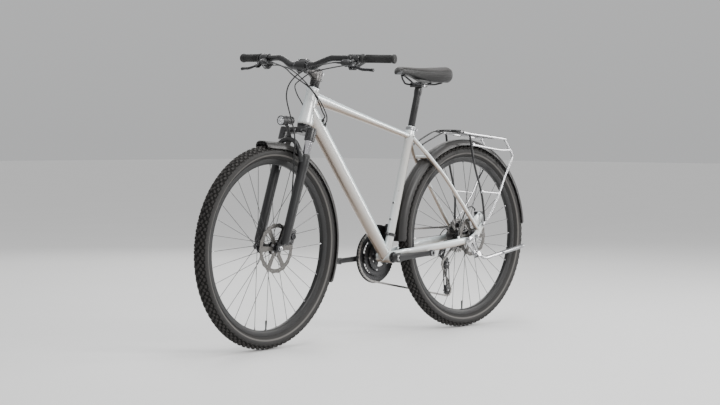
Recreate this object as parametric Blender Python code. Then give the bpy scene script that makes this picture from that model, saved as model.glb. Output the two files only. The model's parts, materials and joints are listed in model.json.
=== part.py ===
"""A hybrid bike with a suspension fork, disc brakes, mudguards, a rear rack and a kickstand.

Lengths are in metres and angles in degrees. In the comments, X runs forward from the rear
axle, Y runs to the rider's left and Z runs up from the ground. The whole bike hangs on one
empty that puts the middle of its footprint at the origin.
"""

import math

import bmesh
import bpy
from mathutils import Matrix, Quaternion, Vector

# Clearances
GAP = 0.0003
RUNNING_GAP = 0.0006

# Wheels and the frame's main points
WHEEL_RADIUS = 0.365
WHEELBASE = 1.071
ORIGIN_BACK = 0.527
HEAD_ANGLE = 71.7
STEER_OFFSET = 0.040
STEERED_AT_REST = 5.75
BRACKET_X = 0.448
BRACKET_DROP = 0.0645
SEAT_ANGLE = 74.3
SEAT_TUBE_LENGTH = 0.518

# Frame tubes
HEAD_TUBE_BASE = 0.4725
HEAD_TUBE_LENGTH = 0.1415
HEAD_TUBE_TOP_R = 0.0232
HEAD_TUBE_BASE_R = 0.0285
SEAT_TUBE_R = 0.0162
SEATPOST_R = 0.0136
SHELL_R = 0.0215
SHELL_WIDTH = 0.068
SHELL_BORE_R = 0.0172
SEATSTAY_R = 0.0085
STAY_BEND_HIGH = (0.2905, 0.0165, 0.7365)
STAY_BEND_LOW = (0.2590, 0.0330, 0.6990)
BRIDGE_ANGLE = 52.5
BRIDGE_SINK = 0.0006
BRIDGE_R = 0.0065
BRAKE_TAB_Y = 0.0602
RACK_EYE = (-0.038, 0.410)
PORT_OUT = 0.012
DROPOUT_THICK = 0.0065
REAR_SPACING = 0.135
FRONT_SPACING = 0.100
FRONT_DROPOUT_THICK = 0.0065

# Fork
STEERER_R = 0.0143
STANCHION_R = 0.0140
LEG_SPREAD = 0.062
LEG_OFFSET = 0.027
LOWER_TOP = 0.345
CROWN_BASE = 0.405
LOWER_TOP_R = 0.0192
LOWER_BASE_R = 0.0162
LOWER_CUP_HEIGHT = 0.008
FORK_TRAVEL = 0.050
STANCHION_OVERLAP = 0.115
LEG_STEPS = 12

# Cockpit
SPACER_STACK = 0.027
STEM_CLAMP_HEIGHT = 0.042
STEM_REACH = 0.085
STEM_RISE = 0.0075
BAR_CLAMP_R = 0.0159
BAR_R = 0.0111
BAR_HALF_WIDTH = 0.358
BAR_ROOT = (-0.018, 0.145, 0.0290)
BAR_TIP = (-0.076, BAR_HALF_WIDTH, 0.0290)
GRIP_LENGTH = 0.125
GRIP_R = 0.0145
GRIP_FLANGE_R = 0.0168
LEVER_TILT = 42.0
HOSE_R = 0.0025
CABLE_R = 0.0022

# Wheels in section
RIM_HALF_WIDTH = 0.0125
RIM_WALL = 0.0018
RIM_FLANGE_R = 0.317
RIM_INNER_R = 0.296
TYRE_HALF_WIDTH = 0.0268
SPOKES_PER_SIDE = 16
SPOKE_THICK = 0.0032
SPOKE_SWING = 45.0
SPOKE_LIFT = 0.0003
WHEEL_STEPS = 24
FLANGE_R = 0.0225
FLANGE_THICK = 0.0032
HUB_STEPS = 12
AXLE_R = 0.0045
FRONT_ROTOR_R = 0.090
REAR_ROTOR_R = 0.080
ROTOR_THICK = 0.0018
FRONT_ROTOR_Y = 0.0395
REAR_ROTOR_Y = 0.0525
ROTOR_SLOT = 0.0017
FRONT_BANJO = (-0.004, 0.100, 0.048)

# Drivetrain
CRANK_LENGTH = 0.170
CRANK_ANGLE = -3.9
RING_PITCH_R = 0.0971
RING_Y = -0.052
GUARD_RING_Y = -0.0595
SPIDER_R = 0.0520
BOLT_R = 0.0040
SPINDLE_R = 0.0118
COG_PITCH_R = 0.0346
COG_Y = -0.0485
PULLEY_PITCH_R = 0.0225
CHAIN_HALF_HEIGHT = 0.0042
CHAIN_HALF_WIDTH = 0.00325
CHAIN_STEP = 15.0
COG_RADII = (0.0698, 0.0607, 0.0526, 0.0465, 0.0407, 0.0298, 0.0283, 0.0222)
COG_SPACING = 0.0048
CASSETTE_START_Y = -0.0208
FREEHUB_R = 0.0160
ROTOR_SEAT_R = 0.0153

# Mudguards, seat and stand
FRONT_GUARD_R = 0.3765
REAR_GUARD_R = 0.382
REAR_GUARD_BACK = 0.010
REAR_GUARD_RISE = 0.005
GUARD_HALF_WIDTH = 0.0330
GUARD_THICK = 0.0020
GUARD_DEPTH = 0.0240
GUARD_FLARE_ARC = 10.0
ARCH_RISE = 0.052
ARCH_AHEAD = 0.064
ARCH_HALF = 0.0085
POST_EXPOSED = 0.158
POST_INSERTED = 0.150
POST_SIDES = 12
SADDLE_LENGTH = 0.272
SADDLE_TOP = 0.0665
SADDLE_NOSE_FLOOR = 0.0345
SADDLE_SKIRT_DROP = 0.0320
SADDLE_HOLLOW = 0.0215
SADDLE_WIDTH = 0.158
RACK_TUBE_R = 0.0050
RACK_STAY_OUT = Vector((-0.72, 0.0, 0.694))
STAND_LEG_R = 0.0080
STAND_PIN_R = 0.0040

UP = Vector((0, 0, 1))
LEFT = Vector((0, 1, 0))
FORWARD = Vector((1, 0, 0))
SIDES = (("left", 1), ("right", -1))

STEER_UP = Vector((-math.cos(math.radians(HEAD_ANGLE)), 0, math.sin(math.radians(HEAD_ANGLE))))
STEER_FRONT = Vector((math.sin(math.radians(HEAD_ANGLE)), 0, math.cos(math.radians(HEAD_ANGLE))))
SEAT_UP = Vector((-math.cos(math.radians(SEAT_ANGLE)), 0, math.sin(math.radians(SEAT_ANGLE))))
SEAT_FRONT = Vector((math.sin(math.radians(SEAT_ANGLE)), 0, math.cos(math.radians(SEAT_ANGLE))))

REAR_AXLE = Vector((0, 0, WHEEL_RADIUS))
FRONT_AXLE = Vector((WHEELBASE, 0, WHEEL_RADIUS))
STEER_BASE = FRONT_AXLE - STEER_FRONT * STEER_OFFSET
BRACKET = Vector((BRACKET_X, 0, WHEEL_RADIUS - BRACKET_DROP))
SEAT_TOP = BRACKET + SEAT_UP * SEAT_TUBE_LENGTH
GUIDE_PULLEY = Vector((0.043, COG_Y, 0.250))
TENSION_PULLEY = Vector((0.036, COG_Y, 0.145))

HOMES = {}
EMPTIES = {}


def steer_point(along, ahead=0.0, side=0.0):
    """A point by its distance up the steering axis, ahead of it and to the left of it."""
    return STEER_BASE + STEER_UP * along + STEER_FRONT * ahead + LEFT * side


def steered(point):
    """Where a point of the steered parts lies with the bars turned as they are at rest."""
    turn = Quaternion(STEER_UP, math.radians(STEERED_AT_REST))
    return STEER_BASE + turn @ (Vector(point) - STEER_BASE)


def seat_point(along, ahead=0.0, side=0.0):
    """A point by its distance above the seat tube's top along the seat tube."""
    return SEAT_TOP + SEAT_UP * along + SEAT_FRONT * ahead + LEFT * side


def mirrored(point, side):
    """The point itself for the left side, or its mirror image for the right."""
    return Vector((point[0], point[1] * side, point[2]))


# Materials
def material(name, colour, roughness, metallic):
    made = bpy.data.materials.new(name)
    made.use_nodes = True
    shader = made.node_tree.nodes["Principled BSDF"]
    shader.inputs["Base Color"].default_value = (*colour, 1.0)
    shader.inputs["Roughness"].default_value = roughness
    shader.inputs["Metallic"].default_value = metallic
    return made


def make_materials():
    return {
        "paint": material("pearl_paint", (0.78, 0.79, 0.80), 0.30, 0.25),
        "black": material("black_paint", (0.025, 0.025, 0.028), 0.35, 0.10),
        "alloy": material("silver_alloy", (0.62, 0.62, 0.63), 0.30, 1.0),
        "steel": material("brushed_steel", (0.45, 0.45, 0.47), 0.32, 1.0),
        "rubber": material("black_rubber", (0.030, 0.029, 0.028), 0.80, 0.0),
        "plastic": material("black_plastic", (0.030, 0.030, 0.032), 0.45, 0.0),
        "saddle": material("black_vinyl", (0.028, 0.028, 0.030), 0.48, 0.0),
    }


# Empties that carry the pieces
def carrier(name, home, parent=None, turn=None):
    """An empty at a joint; home is its place with the bars straight ahead."""
    empty = bpy.data.objects.new(name + "_joint", None)
    bpy.context.scene.collection.objects.link(empty)
    HOMES[name] = Vector(home)
    EMPTIES[name] = empty
    if parent is None:
        empty.location = Vector(home) - FORWARD * ORIGIN_BACK
    else:
        empty.parent = EMPTIES[parent]
        empty.location = Vector(home) - HOMES[parent]
    if turn is not None:
        empty.rotation_mode = "QUATERNION"
        empty.rotation_quaternion = turn
    return empty


def attach(obj, name):
    """Hangs a piece, modelled in bike coordinates, on the empty of its joint."""
    obj.parent = EMPTIES[name]
    obj.location = -HOMES[name]
    return obj


# Mesh helpers
def mesh_object(name, bm, finish, weld=True):
    if weld:
        bmesh.ops.remove_doubles(bm, verts=bm.verts, dist=1e-7)
    bmesh.ops.recalc_face_normals(bm, faces=bm.faces)
    mesh = bpy.data.meshes.new(name)
    bm.to_mesh(mesh)
    bm.free()
    mesh.shade_smooth()
    mesh.set_sharp_from_angle(angle=math.radians(32))
    if finish is not None:
        mesh.materials.append(finish)
    obj = bpy.data.objects.new(name, mesh)
    bpy.context.scene.collection.objects.link(obj)
    return obj


def skin(rings, looped=False):
    """A closed skin over rings of points; its ends are capped unless the rings form a loop."""
    bm = bmesh.new()
    loops = [[bm.verts.new(point) for point in ring] for ring in rings]
    pairs = list(zip(loops, loops[1:]))
    if looped:
        pairs.append((loops[-1], loops[0]))
    for first, second in pairs:
        count = len(first)
        for i in range(count):
            j = (i + 1) % count
            bm.faces.new((first[i], first[j], second[j], second[i]))
    if not looped:
        bm.faces.new(loops[0])
        bm.faces.new(list(reversed(loops[-1])))
    return bm


def as_list(value, count):
    return list(value) if isinstance(value, (list, tuple)) else [value] * count


def sweep(name, path, wide, tall, finish, sides=12, across=LEFT, looped=False, square=False):
    """A tube along a path. Its half sizes lie along and square to the across direction."""
    points = [Vector(p) for p in path]
    count = len(points)
    wides = as_list(wide, count)
    talls = as_list(tall, count)
    if square:
        sides, phase, stretch = 4, math.pi / 4, math.sqrt(2)
    else:
        phase, stretch = 0.0, 1.0
    rings = []
    for i, point in enumerate(points):
        before = points[i - 1] if (i > 0 or looped) else point
        after = points[(i + 1) % count] if (i < count - 1 or looped) else point
        tangent = (after - before).normalized()
        side = (across - tangent * tangent.dot(across)).normalized()
        top = tangent.cross(side)
        ring = []
        for k in range(sides):
            angle = 2 * math.pi * k / sides + phase
            ring.append(
                point
                + side * (wides[i] * stretch * math.cos(angle))
                + top * (talls[i] * stretch * math.sin(angle))
            )
        rings.append(ring)
    return mesh_object(name, skin(rings, looped), finish)


def turned(name, profile, centre, axis, finish, steps=20, looped=False, start=None):
    """A solid of revolution. A profile point is a radius and a distance along the axis."""
    axis = Vector(axis).normalized()
    ref = Vector(start) if start is not None else (-UP if abs(axis.z) < 0.9 else FORWARD)
    first = (ref - axis * axis.dot(ref)).normalized()
    second = axis.cross(first)
    bm = bmesh.new()
    loops = []
    for radius, along in profile:
        middle = Vector(centre) + axis * along
        if radius < 1e-9:
            loops.append([bm.verts.new(middle)])
            continue
        ring = []
        for k in range(steps):
            angle = 2 * math.pi * k / steps
            ring.append(
                bm.verts.new(
                    middle + first * (radius * math.cos(angle)) + second * (radius * math.sin(angle))
                )
            )
        loops.append(ring)
    pairs = list(zip(loops, loops[1:]))
    if looped:
        pairs.append((loops[-1], loops[0]))
    for a, b in pairs:
        for k in range(steps):
            n = (k + 1) % steps
            if len(a) == 1 and len(b) == 1:
                continue
            if len(a) == 1:
                bm.faces.new((a[0], b[n], b[k]))
            elif len(b) == 1:
                bm.faces.new((a[k], a[n], b[0]))
            else:
                bm.faces.new((a[k], a[n], b[n], b[k]))
    return mesh_object(name, bm, finish)


def rod(name, start, end, radius, finish, steps=12):
    """A plain round bar between two points."""
    start, end = Vector(start), Vector(end)
    length = (end - start).length
    profile = [(0, 0), (radius, 0), (radius, length), (0, length)]
    return turned(name, profile, start, end - start, finish, steps)


def tube_between(name, start, end, outer, bore, finish, steps=20):
    """A bush: a round bar with a through bore."""
    start, end = Vector(start), Vector(end)
    length = (end - start).length
    profile = [(outer, 0), (outer, length), (bore, length), (bore, 0)]
    return turned(name, profile, start, end - start, finish, steps, looped=True)


def plate(name, outline, near, far, finish, holes=(), frame=None):
    """A flat plate. Outline and holes are (u, v) points in the plane that frame maps."""
    if frame is None:
        frame = Matrix(((1, 0, 0, 0), (0, 0, 1, 0), (0, 1, 0, 0), (0, 0, 0, 1)))
    bm = bmesh.new()
    for loop in (outline, *holes):
        verts = [bm.verts.new((u, v, near)) for u, v in loop]
        for i, vert in enumerate(verts):
            bm.edges.new((vert, verts[(i + 1) % len(verts)]))
    bmesh.ops.triangle_fill(bm, use_beauty=True, use_dissolve=False, edges=list(bm.edges))
    grown = bmesh.ops.extrude_face_region(bm, geom=list(bm.faces))
    moved = [item for item in grown["geom"] if isinstance(item, bmesh.types.BMVert)]
    bmesh.ops.translate(bm, verts=moved, vec=(0, 0, far - near))
    bmesh.ops.transform(bm, matrix=frame, verts=bm.verts)
    return mesh_object(name, bm, finish)


def box(name, low, high, finish, frame=None):
    """A block between two corners, optionally turned by a frame matrix."""
    low, high = Vector(low), Vector(high)
    bm = bmesh.new()
    bmesh.ops.create_cube(bm, size=1.0)
    bmesh.ops.scale(bm, vec=high - low, verts=bm.verts)
    bmesh.ops.translate(bm, vec=(low + high) / 2, verts=bm.verts)
    if frame is not None:
        bmesh.ops.transform(bm, matrix=frame, verts=bm.verts)
    return mesh_object(name, bm, finish)


def arc(centre, radius, start, end, steps):
    """Points on an arc in a plane, as (u, v) pairs; angles in degrees."""
    points = []
    for i in range(steps + 1):
        angle = math.radians(start + (end - start) * i / steps)
        points.append((centre[0] + radius * math.cos(angle), centre[1] + radius * math.sin(angle)))
    return points


def polar(centre, radius, angle):
    turn = math.radians(angle)
    return (centre[0] + radius * math.cos(turn), centre[1] + radius * math.sin(turn))


def circle(centre, radius, steps):
    return [polar(centre, radius, 360 * k / steps) for k in range(steps)]


def capsule(start, end, start_r, end_r, steps=4):
    """The outline round two discs, as (u, v) points."""
    heading = math.degrees(math.atan2(end[1] - start[1], end[0] - start[0]))
    back = arc(start, start_r, heading + 90, heading + 270, steps)
    front = arc(end, end_r, heading - 90, heading + 90, steps)
    return back + front


def fuse(name, parts, cutters=(), finish=None):
    """One solid: the union of the parts with the cutters taken out of it."""
    body = parts[0]
    groups = []
    for operation, others in (("UNION", parts[1:]), ("DIFFERENCE", cutters)):
        if not others:
            continue
        group = bpy.data.collections.new(operation)
        groups.append(group)
        for other in others:
            group.objects.link(other)
        modifier = body.modifiers.new(operation.lower(), "BOOLEAN")
        modifier.operation = operation
        modifier.operand_type = "COLLECTION"
        modifier.collection = group
        modifier.solver = "EXACT"
    bpy.context.view_layer.update()
    graph = bpy.context.evaluated_depsgraph_get()
    mesh = bpy.data.meshes.new_from_object(body.evaluated_get(graph))
    for used in (*parts, *cutters):
        bpy.data.objects.remove(used, do_unlink=True)
    for group in groups:
        bpy.data.collections.remove(group)
    bm = bmesh.new()
    bm.from_mesh(mesh)
    for face in bm.faces:
        face.material_index = 0
    bm.to_mesh(mesh)
    bm.free()
    mesh.name = name
    mesh.materials.clear()
    mesh.materials.append(finish)
    mesh.shade_smooth()
    mesh.set_sharp_from_angle(angle=math.radians(32))
    obj = bpy.data.objects.new(name, mesh)
    bpy.context.scene.collection.objects.link(obj)
    return obj


def smooth_route(points, steps):
    """A smooth curve through a route's own points, as a list of close points."""
    route = [Vector(p) for p in points]
    padded = [route[0] * 2 - route[1], *route, route[-1] * 2 - route[-2]]
    result = []
    for i in range(1, len(padded) - 2):
        a, b, c, d = padded[i - 1 : i + 3]
        for k in range(steps):
            t = k / steps
            result.append(
                0.5 * (2 * b + (c - a) * t + (2 * a - 5 * b + 4 * c - d) * t**2
                       + (3 * b - 3 * c + d - a) * t**3)
            )
    result.append(route[-1])
    return result


def hose(name, points, radius, finish, steps=2):
    """A hose as a bevelled curve along a smooth route, held in bike coordinates."""
    curve = bpy.data.curves.new(name, "CURVE")
    curve.dimensions = "3D"
    curve.bevel_depth = radius
    curve.bevel_resolution = 2
    curve.use_fill_caps = True
    route = smooth_route(points, steps)
    spline = curve.splines.new("POLY")
    spline.points.add(len(route) - 1)
    for spot, point in zip(spline.points, route):
        spot.co = (*point, 1.0)
    curve.materials.append(finish)
    obj = bpy.data.objects.new(name, curve)
    bpy.context.scene.collection.objects.link(obj)
    return obj


# Frame
def frame_stays(finish):
    """Seatstays, chainstays, their bridges and the dropouts, as loose solids."""
    parts = []
    plate_in = REAR_SPACING / 2
    stay_y = plate_in + DROPOUT_THICK / 2
    for _, side in SIDES:
        seat = [(0.306, 0.008, 0.755), STAY_BEND_HIGH, STAY_BEND_LOW,
                (0.2120, 0.0470, 0.6480), (0.1510, 0.0550, 0.5850), (0.030, 0.0685, 0.440),
                (-0.014, stay_y, 0.390)]
        parts.append(sweep("seatstay", [mirrored(p, side) for p in seat],
                           SEATSTAY_R, SEATSTAY_R, finish, sides=6))
        chain = [(0.446, 0.016, 0.306), (0.415, 0.0185, 0.3115), (0.388, 0.0262, 0.3155),
                 (0.372, 0.0335, 0.3180), (0.348, 0.044, 0.3200), (0.250, 0.058, 0.331),
                 (0.100, 0.069, 0.346), (0.014, stay_y, 0.356)]
        wide = (0.010, 0.0095, 0.0080, 0.0075, 0.0085, 0.0085, 0.0085, 0.006)
        tall = (0.013, 0.013, 0.013, 0.0135, 0.014, 0.015, 0.0145, 0.011)
        parts.append(sweep("chainstay", [mirrored(p, side) for p in chain], wide, tall, finish,
                           sides=6))
        outline = capsule((0.0, WHEEL_RADIUS), (0.022, 0.357), 0.0165, 0.013, 3)
        hook = capsule((0.0, WHEEL_RADIUS), RACK_EYE, 0.0155, 0.0090, 3)
        near, far = sorted((side * plate_in, side * (plate_in + DROPOUT_THICK)))
        parts.append(plate("dropout", outline, near, far, finish))
        parts.append(plate("dropout_hook", hook, near, far, finish))
    hanger = capsule((0.0, WHEEL_RADIUS), (0.0, WHEEL_RADIUS - 0.027), 0.0150, 0.0095, 3)
    parts.append(plate("hanger", hanger, -plate_in - DROPOUT_THICK, -plate_in, finish))
    tab = [(0.004, 0.398), (0.020, 0.428), (-0.030, 0.462), (-0.052, 0.446), (-0.030, 0.404)]
    parts.append(plate("brake_tab", tab, BRAKE_TAB_Y, BRAKE_TAB_Y + 0.0058, finish))
    reach = math.radians(BRIDGE_ANGLE)
    reach_r = rear_guard_radius(reach) - BRIDGE_SINK + GAP + BRIDGE_R
    bridge = REAR_AXLE + Vector((math.cos(reach), 0, math.sin(reach))) * reach_r
    parts.append(rod("seat_bridge", bridge - LEFT * 0.039, bridge + LEFT * 0.039, BRIDGE_R, finish,
                     10))
    parts.append(rod("chain_bridge", (0.404, -0.021, 0.3130), (0.404, 0.021, 0.3130), 0.0070,
                     finish, 10))
    base, out = hose_port()
    parts.append(rod("hose_port", base - out * 0.012, base, 0.0048, finish, 5))
    return parts


def rear_guard_radius(angle):
    """The rear mudguard's crown radius at an angle round the rear axle."""
    return REAR_GUARD_R + REAR_GUARD_BACK * math.cos(angle) + REAR_GUARD_RISE * math.sin(angle)


def hose_port():
    """Where the rear brake's hose leaves the left chainstay: a point and the way out."""
    return Vector((0.100, 0.0665, 0.3680)), Vector((-0.18, -0.28, 0.94)).normalized()


def frame_main(finish):
    """The main triangle's tubes as loose solids."""
    head_low = steer_point(HEAD_TUBE_BASE)
    length = HEAD_TUBE_LENGTH
    low_r, top_r = HEAD_TUBE_BASE_R, HEAD_TUBE_TOP_R
    head = [(0, 0), (low_r, 0), (low_r, 0.012), (top_r + 0.001, 0.07), (top_r, length), (0, length)]
    parts = [turned("head_tube", head, head_low, STEER_UP, finish, 14)]
    parts.append(rod("seat_tube", BRACKET, SEAT_TOP, SEAT_TUBE_R, finish, POST_SIDES))
    parts.append(rod("seat_sleeve", SEAT_TOP - SEAT_UP * 0.060, SEAT_TOP - SEAT_UP * 0.0165,
                     SEAT_TUBE_R + 0.0022, finish, POST_SIDES))
    half = SHELL_WIDTH / 2
    parts.append(rod("shell", BRACKET - LEFT * half, BRACKET + LEFT * half, SHELL_R, finish, 14))
    top_front = steer_point(HEAD_TUBE_BASE + 0.108)
    top_back = SEAT_TOP - SEAT_UP * 0.040
    spots = (0.0, 0.18, 0.35, 0.7, 1.0)
    path = [top_front.lerp(top_back, t) for t in spots]
    parts.append(sweep("top_tube", path, (0.0215, 0.0205, 0.0180, 0.0150, 0.0135),
                       (0.0240, 0.0190, 0.0165, 0.0125, 0.0110), finish, sides=10))
    down_front, down_back = down_tube_ends()
    path = [down_front.lerp(down_back, t) for t in (0.0, 0.10, 0.22, 0.6, 0.9, 1.0)]
    parts.append(sweep("down_tube", path, (0.0245, 0.0255, 0.0265, 0.0265, 0.0250, 0.0245),
                       (0.0300, 0.0320, 0.0290, 0.0275, 0.0225, 0.0195), finish, sides=10))
    for along in (0.145, 0.210):
        root = BRACKET + SEAT_UP * along + SEAT_FRONT * (SEAT_TUBE_R - 0.002)
        parts.append(rod("seat_boss", root, root + SEAT_FRONT * 0.0035, 0.0050, finish, 5))
    tube_dir = (down_front - down_back).normalized()
    tube_up = Vector((-tube_dir.z, 0, tube_dir.x))
    for along in (0.250, 0.314):
        root = down_back + tube_dir * along + tube_up * 0.0255
        parts.append(rod("tube_boss", root, root + tube_up * 0.0035, 0.0050, finish, 5))
    return parts


def port_end(side, row):
    """Where a cable enters the down tube: the point and the direction pointing out of it."""
    front, back = down_tube_ends()
    along = (back - front).normalized()
    above = Vector((along.z, 0, -along.x))
    base = front + along * (0.062 + 0.018 * row) + above * 0.014 + LEFT * (0.0195 * side)
    out = Vector((0.30, 0.72 * side, 0.62)).normalized()
    return base, out


def down_tube_ends():
    """The ends of the down tube's middle line, inside the head tube and the shell."""
    return steer_point(HEAD_TUBE_BASE + 0.058, -0.004), BRACKET + Vector((0.004, 0, 0.002))


def make_frame(looks):
    finish = looks["paint"]
    parts = frame_main(finish) + frame_stays(finish)
    for side, row in ((1, 0), (1, 1), (-1, 0)):
        base, out = port_end(side, row)
        parts.append(rod("port", base - out * 0.010, base + out * PORT_OUT, 0.0052, finish, 5))
    cutters = []
    head_low = steer_point(HEAD_TUBE_BASE)
    cutters.append(rod("steerer_bore", head_low - STEER_UP * 0.01,
                       head_low + STEER_UP * (HEAD_TUBE_LENGTH + 0.01), STEERER_R + 0.0035, None,
                       14))
    depth = POST_INSERTED + 0.150
    cutters.append(rod("post_bore", SEAT_TOP + SEAT_UP * 0.01, SEAT_TOP - SEAT_UP * depth,
                       (SEATPOST_R + GAP) / math.cos(math.pi / POST_SIDES), None, POST_SIDES))
    cutters.append(rod("shell_bore", BRACKET - LEFT * 0.06, BRACKET + LEFT * 0.06,
                       SHELL_BORE_R / math.cos(math.pi / 14), None, 14))
    for _, side in SIDES:
        low = -0.001 + REAR_SPACING / 2
        high = low + DROPOUT_THICK + 0.003
        slot_r = (AXLE_R + GAP) / math.cos(math.pi / 6)
        slot = capsule((0.0, WHEEL_RADIUS), (0.016, WHEEL_RADIUS - 0.040), slot_r, slot_r, 3)
        near, far = sorted((side * low, side * high))
        cutters.append(plate("slot", slot, near, far, None))
    return attach(fuse("frame", parts, cutters, finish), "bike")


def make_seat_clamp(looks):
    finish = looks["alloy"]
    low, high = SEAT_TOP - SEAT_UP * 0.0155, SEAT_TOP - SEAT_UP * 0.0025
    ring = tube_between("ring", low, high, SEAT_TUBE_R + 0.0042, SEAT_TUBE_R + GAP, finish, 12)
    middle = SEAT_TOP - SEAT_UP * 0.009 - SEAT_FRONT * (SEAT_TUBE_R + 0.0065)
    ear = rod("ear", middle - LEFT * 0.011, middle + LEFT * 0.013, 0.0048, finish, 8)
    return attach(fuse("seat_clamp", [ring, ear], (), finish), "bike")


def make_bottom_bracket(looks):
    half = SHELL_WIDTH / 2
    cup_r, bore = SHELL_R - 0.0005, SPINDLE_R + RUNNING_GAP
    outer = SHELL_BORE_R - GAP
    profile = [(bore, -half - 0.0055), (cup_r, -half - 0.0055), (cup_r, -half - GAP),
               (outer, -half - GAP), (outer, half + GAP), (cup_r, half + GAP),
               (cup_r, half + 0.0055), (bore, half + 0.0055)]
    body = turned("bottom_bracket", profile, BRACKET, LEFT, looks["steel"], 12, looped=True)
    return attach(body, "bike")


def make_headset(looks):
    low = steer_point(HEAD_TUBE_BASE - GAP - LOWER_CUP_HEIGHT)
    cup = tube_between("headset_lower", low, low + STEER_UP * LOWER_CUP_HEIGHT, 0.0272,
                       STEERER_R + RUNNING_GAP, looks["black"], 16)
    attach(cup, "bike")
    low = steer_point(HEAD_TUBE_BASE + HEAD_TUBE_LENGTH + GAP)
    top = SPACER_STACK
    r, bore = STEERER_R + 0.0035, STEERER_R + GAP
    profile = [(HEAD_TUBE_TOP_R, 0), (HEAD_TUBE_TOP_R, 0.004), (r + 0.001, 0.009), (r, 0.010),
               (r, top), (bore, top), (bore, 0)]
    cover = turned("headset_spacers", profile, low, STEER_UP, looks["black"], 16, looped=True)
    attach(cover, "steering")


# Fork
def make_fork_upper(looks):
    finish = looks["black"]
    crown_top = HEAD_TUBE_BASE - GAP * 2 - LOWER_CUP_HEIGHT
    stem_top = HEAD_TUBE_BASE + HEAD_TUBE_LENGTH + GAP * 2 + SPACER_STACK + STEM_CLAMP_HEIGHT
    parts = [rod("steerer", steer_point(crown_top - 0.015), steer_point(stem_top - 0.003),
                 STEERER_R, finish, 16)]
    parts.append(rod("race", steer_point(crown_top - 0.026), steer_point(crown_top), 0.0262,
                     finish, 16))
    bridge = []
    for t, drop, ahead in ((-1, 0.014, LEG_OFFSET), (-0.55, 0.004, 0.016), (0, 0.0, 0.008),
                           (0.55, 0.004, 0.016), (1, 0.014, LEG_OFFSET)):
        bridge.append(steer_point(crown_top - 0.0135 - drop, ahead, LEG_SPREAD * t))
    parts.append(sweep("bridge", bridge, 0.0185, 0.0120, finish, sides=8, across=STEER_FRONT))
    for _, side in SIDES:
        low = steer_point(CROWN_BASE, LEG_OFFSET, LEG_SPREAD * side)
        high = steer_point(crown_top - 0.010, LEG_OFFSET, LEG_SPREAD * side)
        parts.append(rod("clamp", low, high, 0.0190, finish, LEG_STEPS))
        foot = steer_point(LOWER_TOP - STANCHION_OVERLAP, LEG_OFFSET, LEG_SPREAD * side)
        parts.append(rod("stanchion", foot, low + STEER_UP * 0.02, STANCHION_R, finish, LEG_STEPS))
    return attach(fuse("fork_upper", parts, (), finish), "steering")


def leg_profile():
    """A lower leg's outline, from its open top down; distances from that top."""
    length = LOWER_TOP - 0.018
    return [(0, 0), (LOWER_TOP_R, 0), (LOWER_TOP_R, -0.030), (LOWER_TOP_R - 0.0015, -0.045),
            (LOWER_BASE_R, -length + 0.006), (LOWER_BASE_R - 0.004, -length), (0, -length)]


def make_fork_lowers(looks):
    finish = looks["black"]
    parts = []
    cutters = []
    turn = steer_frame()
    for _, side in SIDES:
        top = steer_point(LOWER_TOP, LEG_OFFSET, LEG_SPREAD * side)
        parts.append(turned("leg", leg_profile(), top, STEER_UP, finish, LEG_STEPS))
        floor = top - STEER_UP * (STANCHION_OVERLAP + FORK_TRAVEL + 0.008)
        cutters.append(rod("bore", floor, top + STEER_UP * 0.01,
                           (STANCHION_R + GAP) / math.cos(math.pi / LEG_STEPS), None, LEG_STEPS))
        near = FRONT_SPACING / 2
        low, high = sorted((side * near, side * (near + FRONT_DROPOUT_THICK)))
        outline = capsule((STEER_OFFSET, 0.0), (LEG_OFFSET + 0.003, 0.034), 0.0135, 0.0125)
        parts.append(plate("dropout", outline, low, high, finish, frame=turn))
        slot_r = (AXLE_R + GAP) / math.cos(math.pi / 8)
        slot = capsule((STEER_OFFSET, 0.0), (STEER_OFFSET, -0.03), slot_r, slot_r)
        low, high = sorted((side * (near - 0.002), side * (near + 0.010)))
        cutters.append(plate("slot", slot, low, high, None, frame=turn))
    arch = []
    for t, rise, ahead in ((-1, -0.018, 0.038), (-0.88, 0.016, 0.060), (-0.5, 0.044, 0.0635),
                           (-0.15, ARCH_RISE, ARCH_AHEAD), (0.15, ARCH_RISE, ARCH_AHEAD),
                           (0.5, 0.044, 0.0635), (0.88, 0.016, 0.060), (1, -0.018, 0.038)):
        arch.append(steer_point(LOWER_TOP + rise, ahead, LEG_SPREAD * t))
    parts.append(sweep("arch", arch, (0.012, 0.009, 0.008, 0.008, 0.008, 0.008, 0.009, 0.012),
                       ARCH_HALF, finish, sides=6, across=STEER_FRONT))
    for along in (0.036, 0.072):
        low = (-0.0002 + 0.0045, along, 0.0465)
        high = (LEG_OFFSET - 0.008, along + 0.011, 0.0565)
        parts.append(box("brake_post", low, high, finish, frame=turn))
    return attach(fuse("fork_lowers", parts, cutters, finish), "fork_lowers")


def steer_frame():
    """Maps (ahead of the steering axis, up along it, to the left) into bike coordinates."""
    matrix = Matrix((STEER_FRONT, STEER_UP, LEFT)).transposed().to_4x4()
    matrix.translation = STEER_BASE
    return matrix


# Cockpit
def bar_point(distance, side):
    """A point on the bar's straight outer stretch, by its distance from the bar's end."""
    root, heading = bar_line(side)
    return root + heading * (bar_straight() - distance)


def bar_line(side):
    """The start of the bar's straight outer stretch and its direction outwards."""
    clamp = bar_centre()
    root = clamp + Vector(BAR_ROOT)
    end = clamp + Vector(BAR_TIP)
    heading = (end - root).normalized()
    return mirrored(root, side), mirrored(heading, side)


def bar_straight():
    return (Vector(BAR_TIP) - Vector(BAR_ROOT)).length


def stem_middle():
    return HEAD_TUBE_BASE + HEAD_TUBE_LENGTH + GAP * 2 + SPACER_STACK + STEM_CLAMP_HEIGHT / 2


def bar_centre():
    return steer_point(stem_middle() + STEM_RISE, STEM_REACH)


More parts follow.
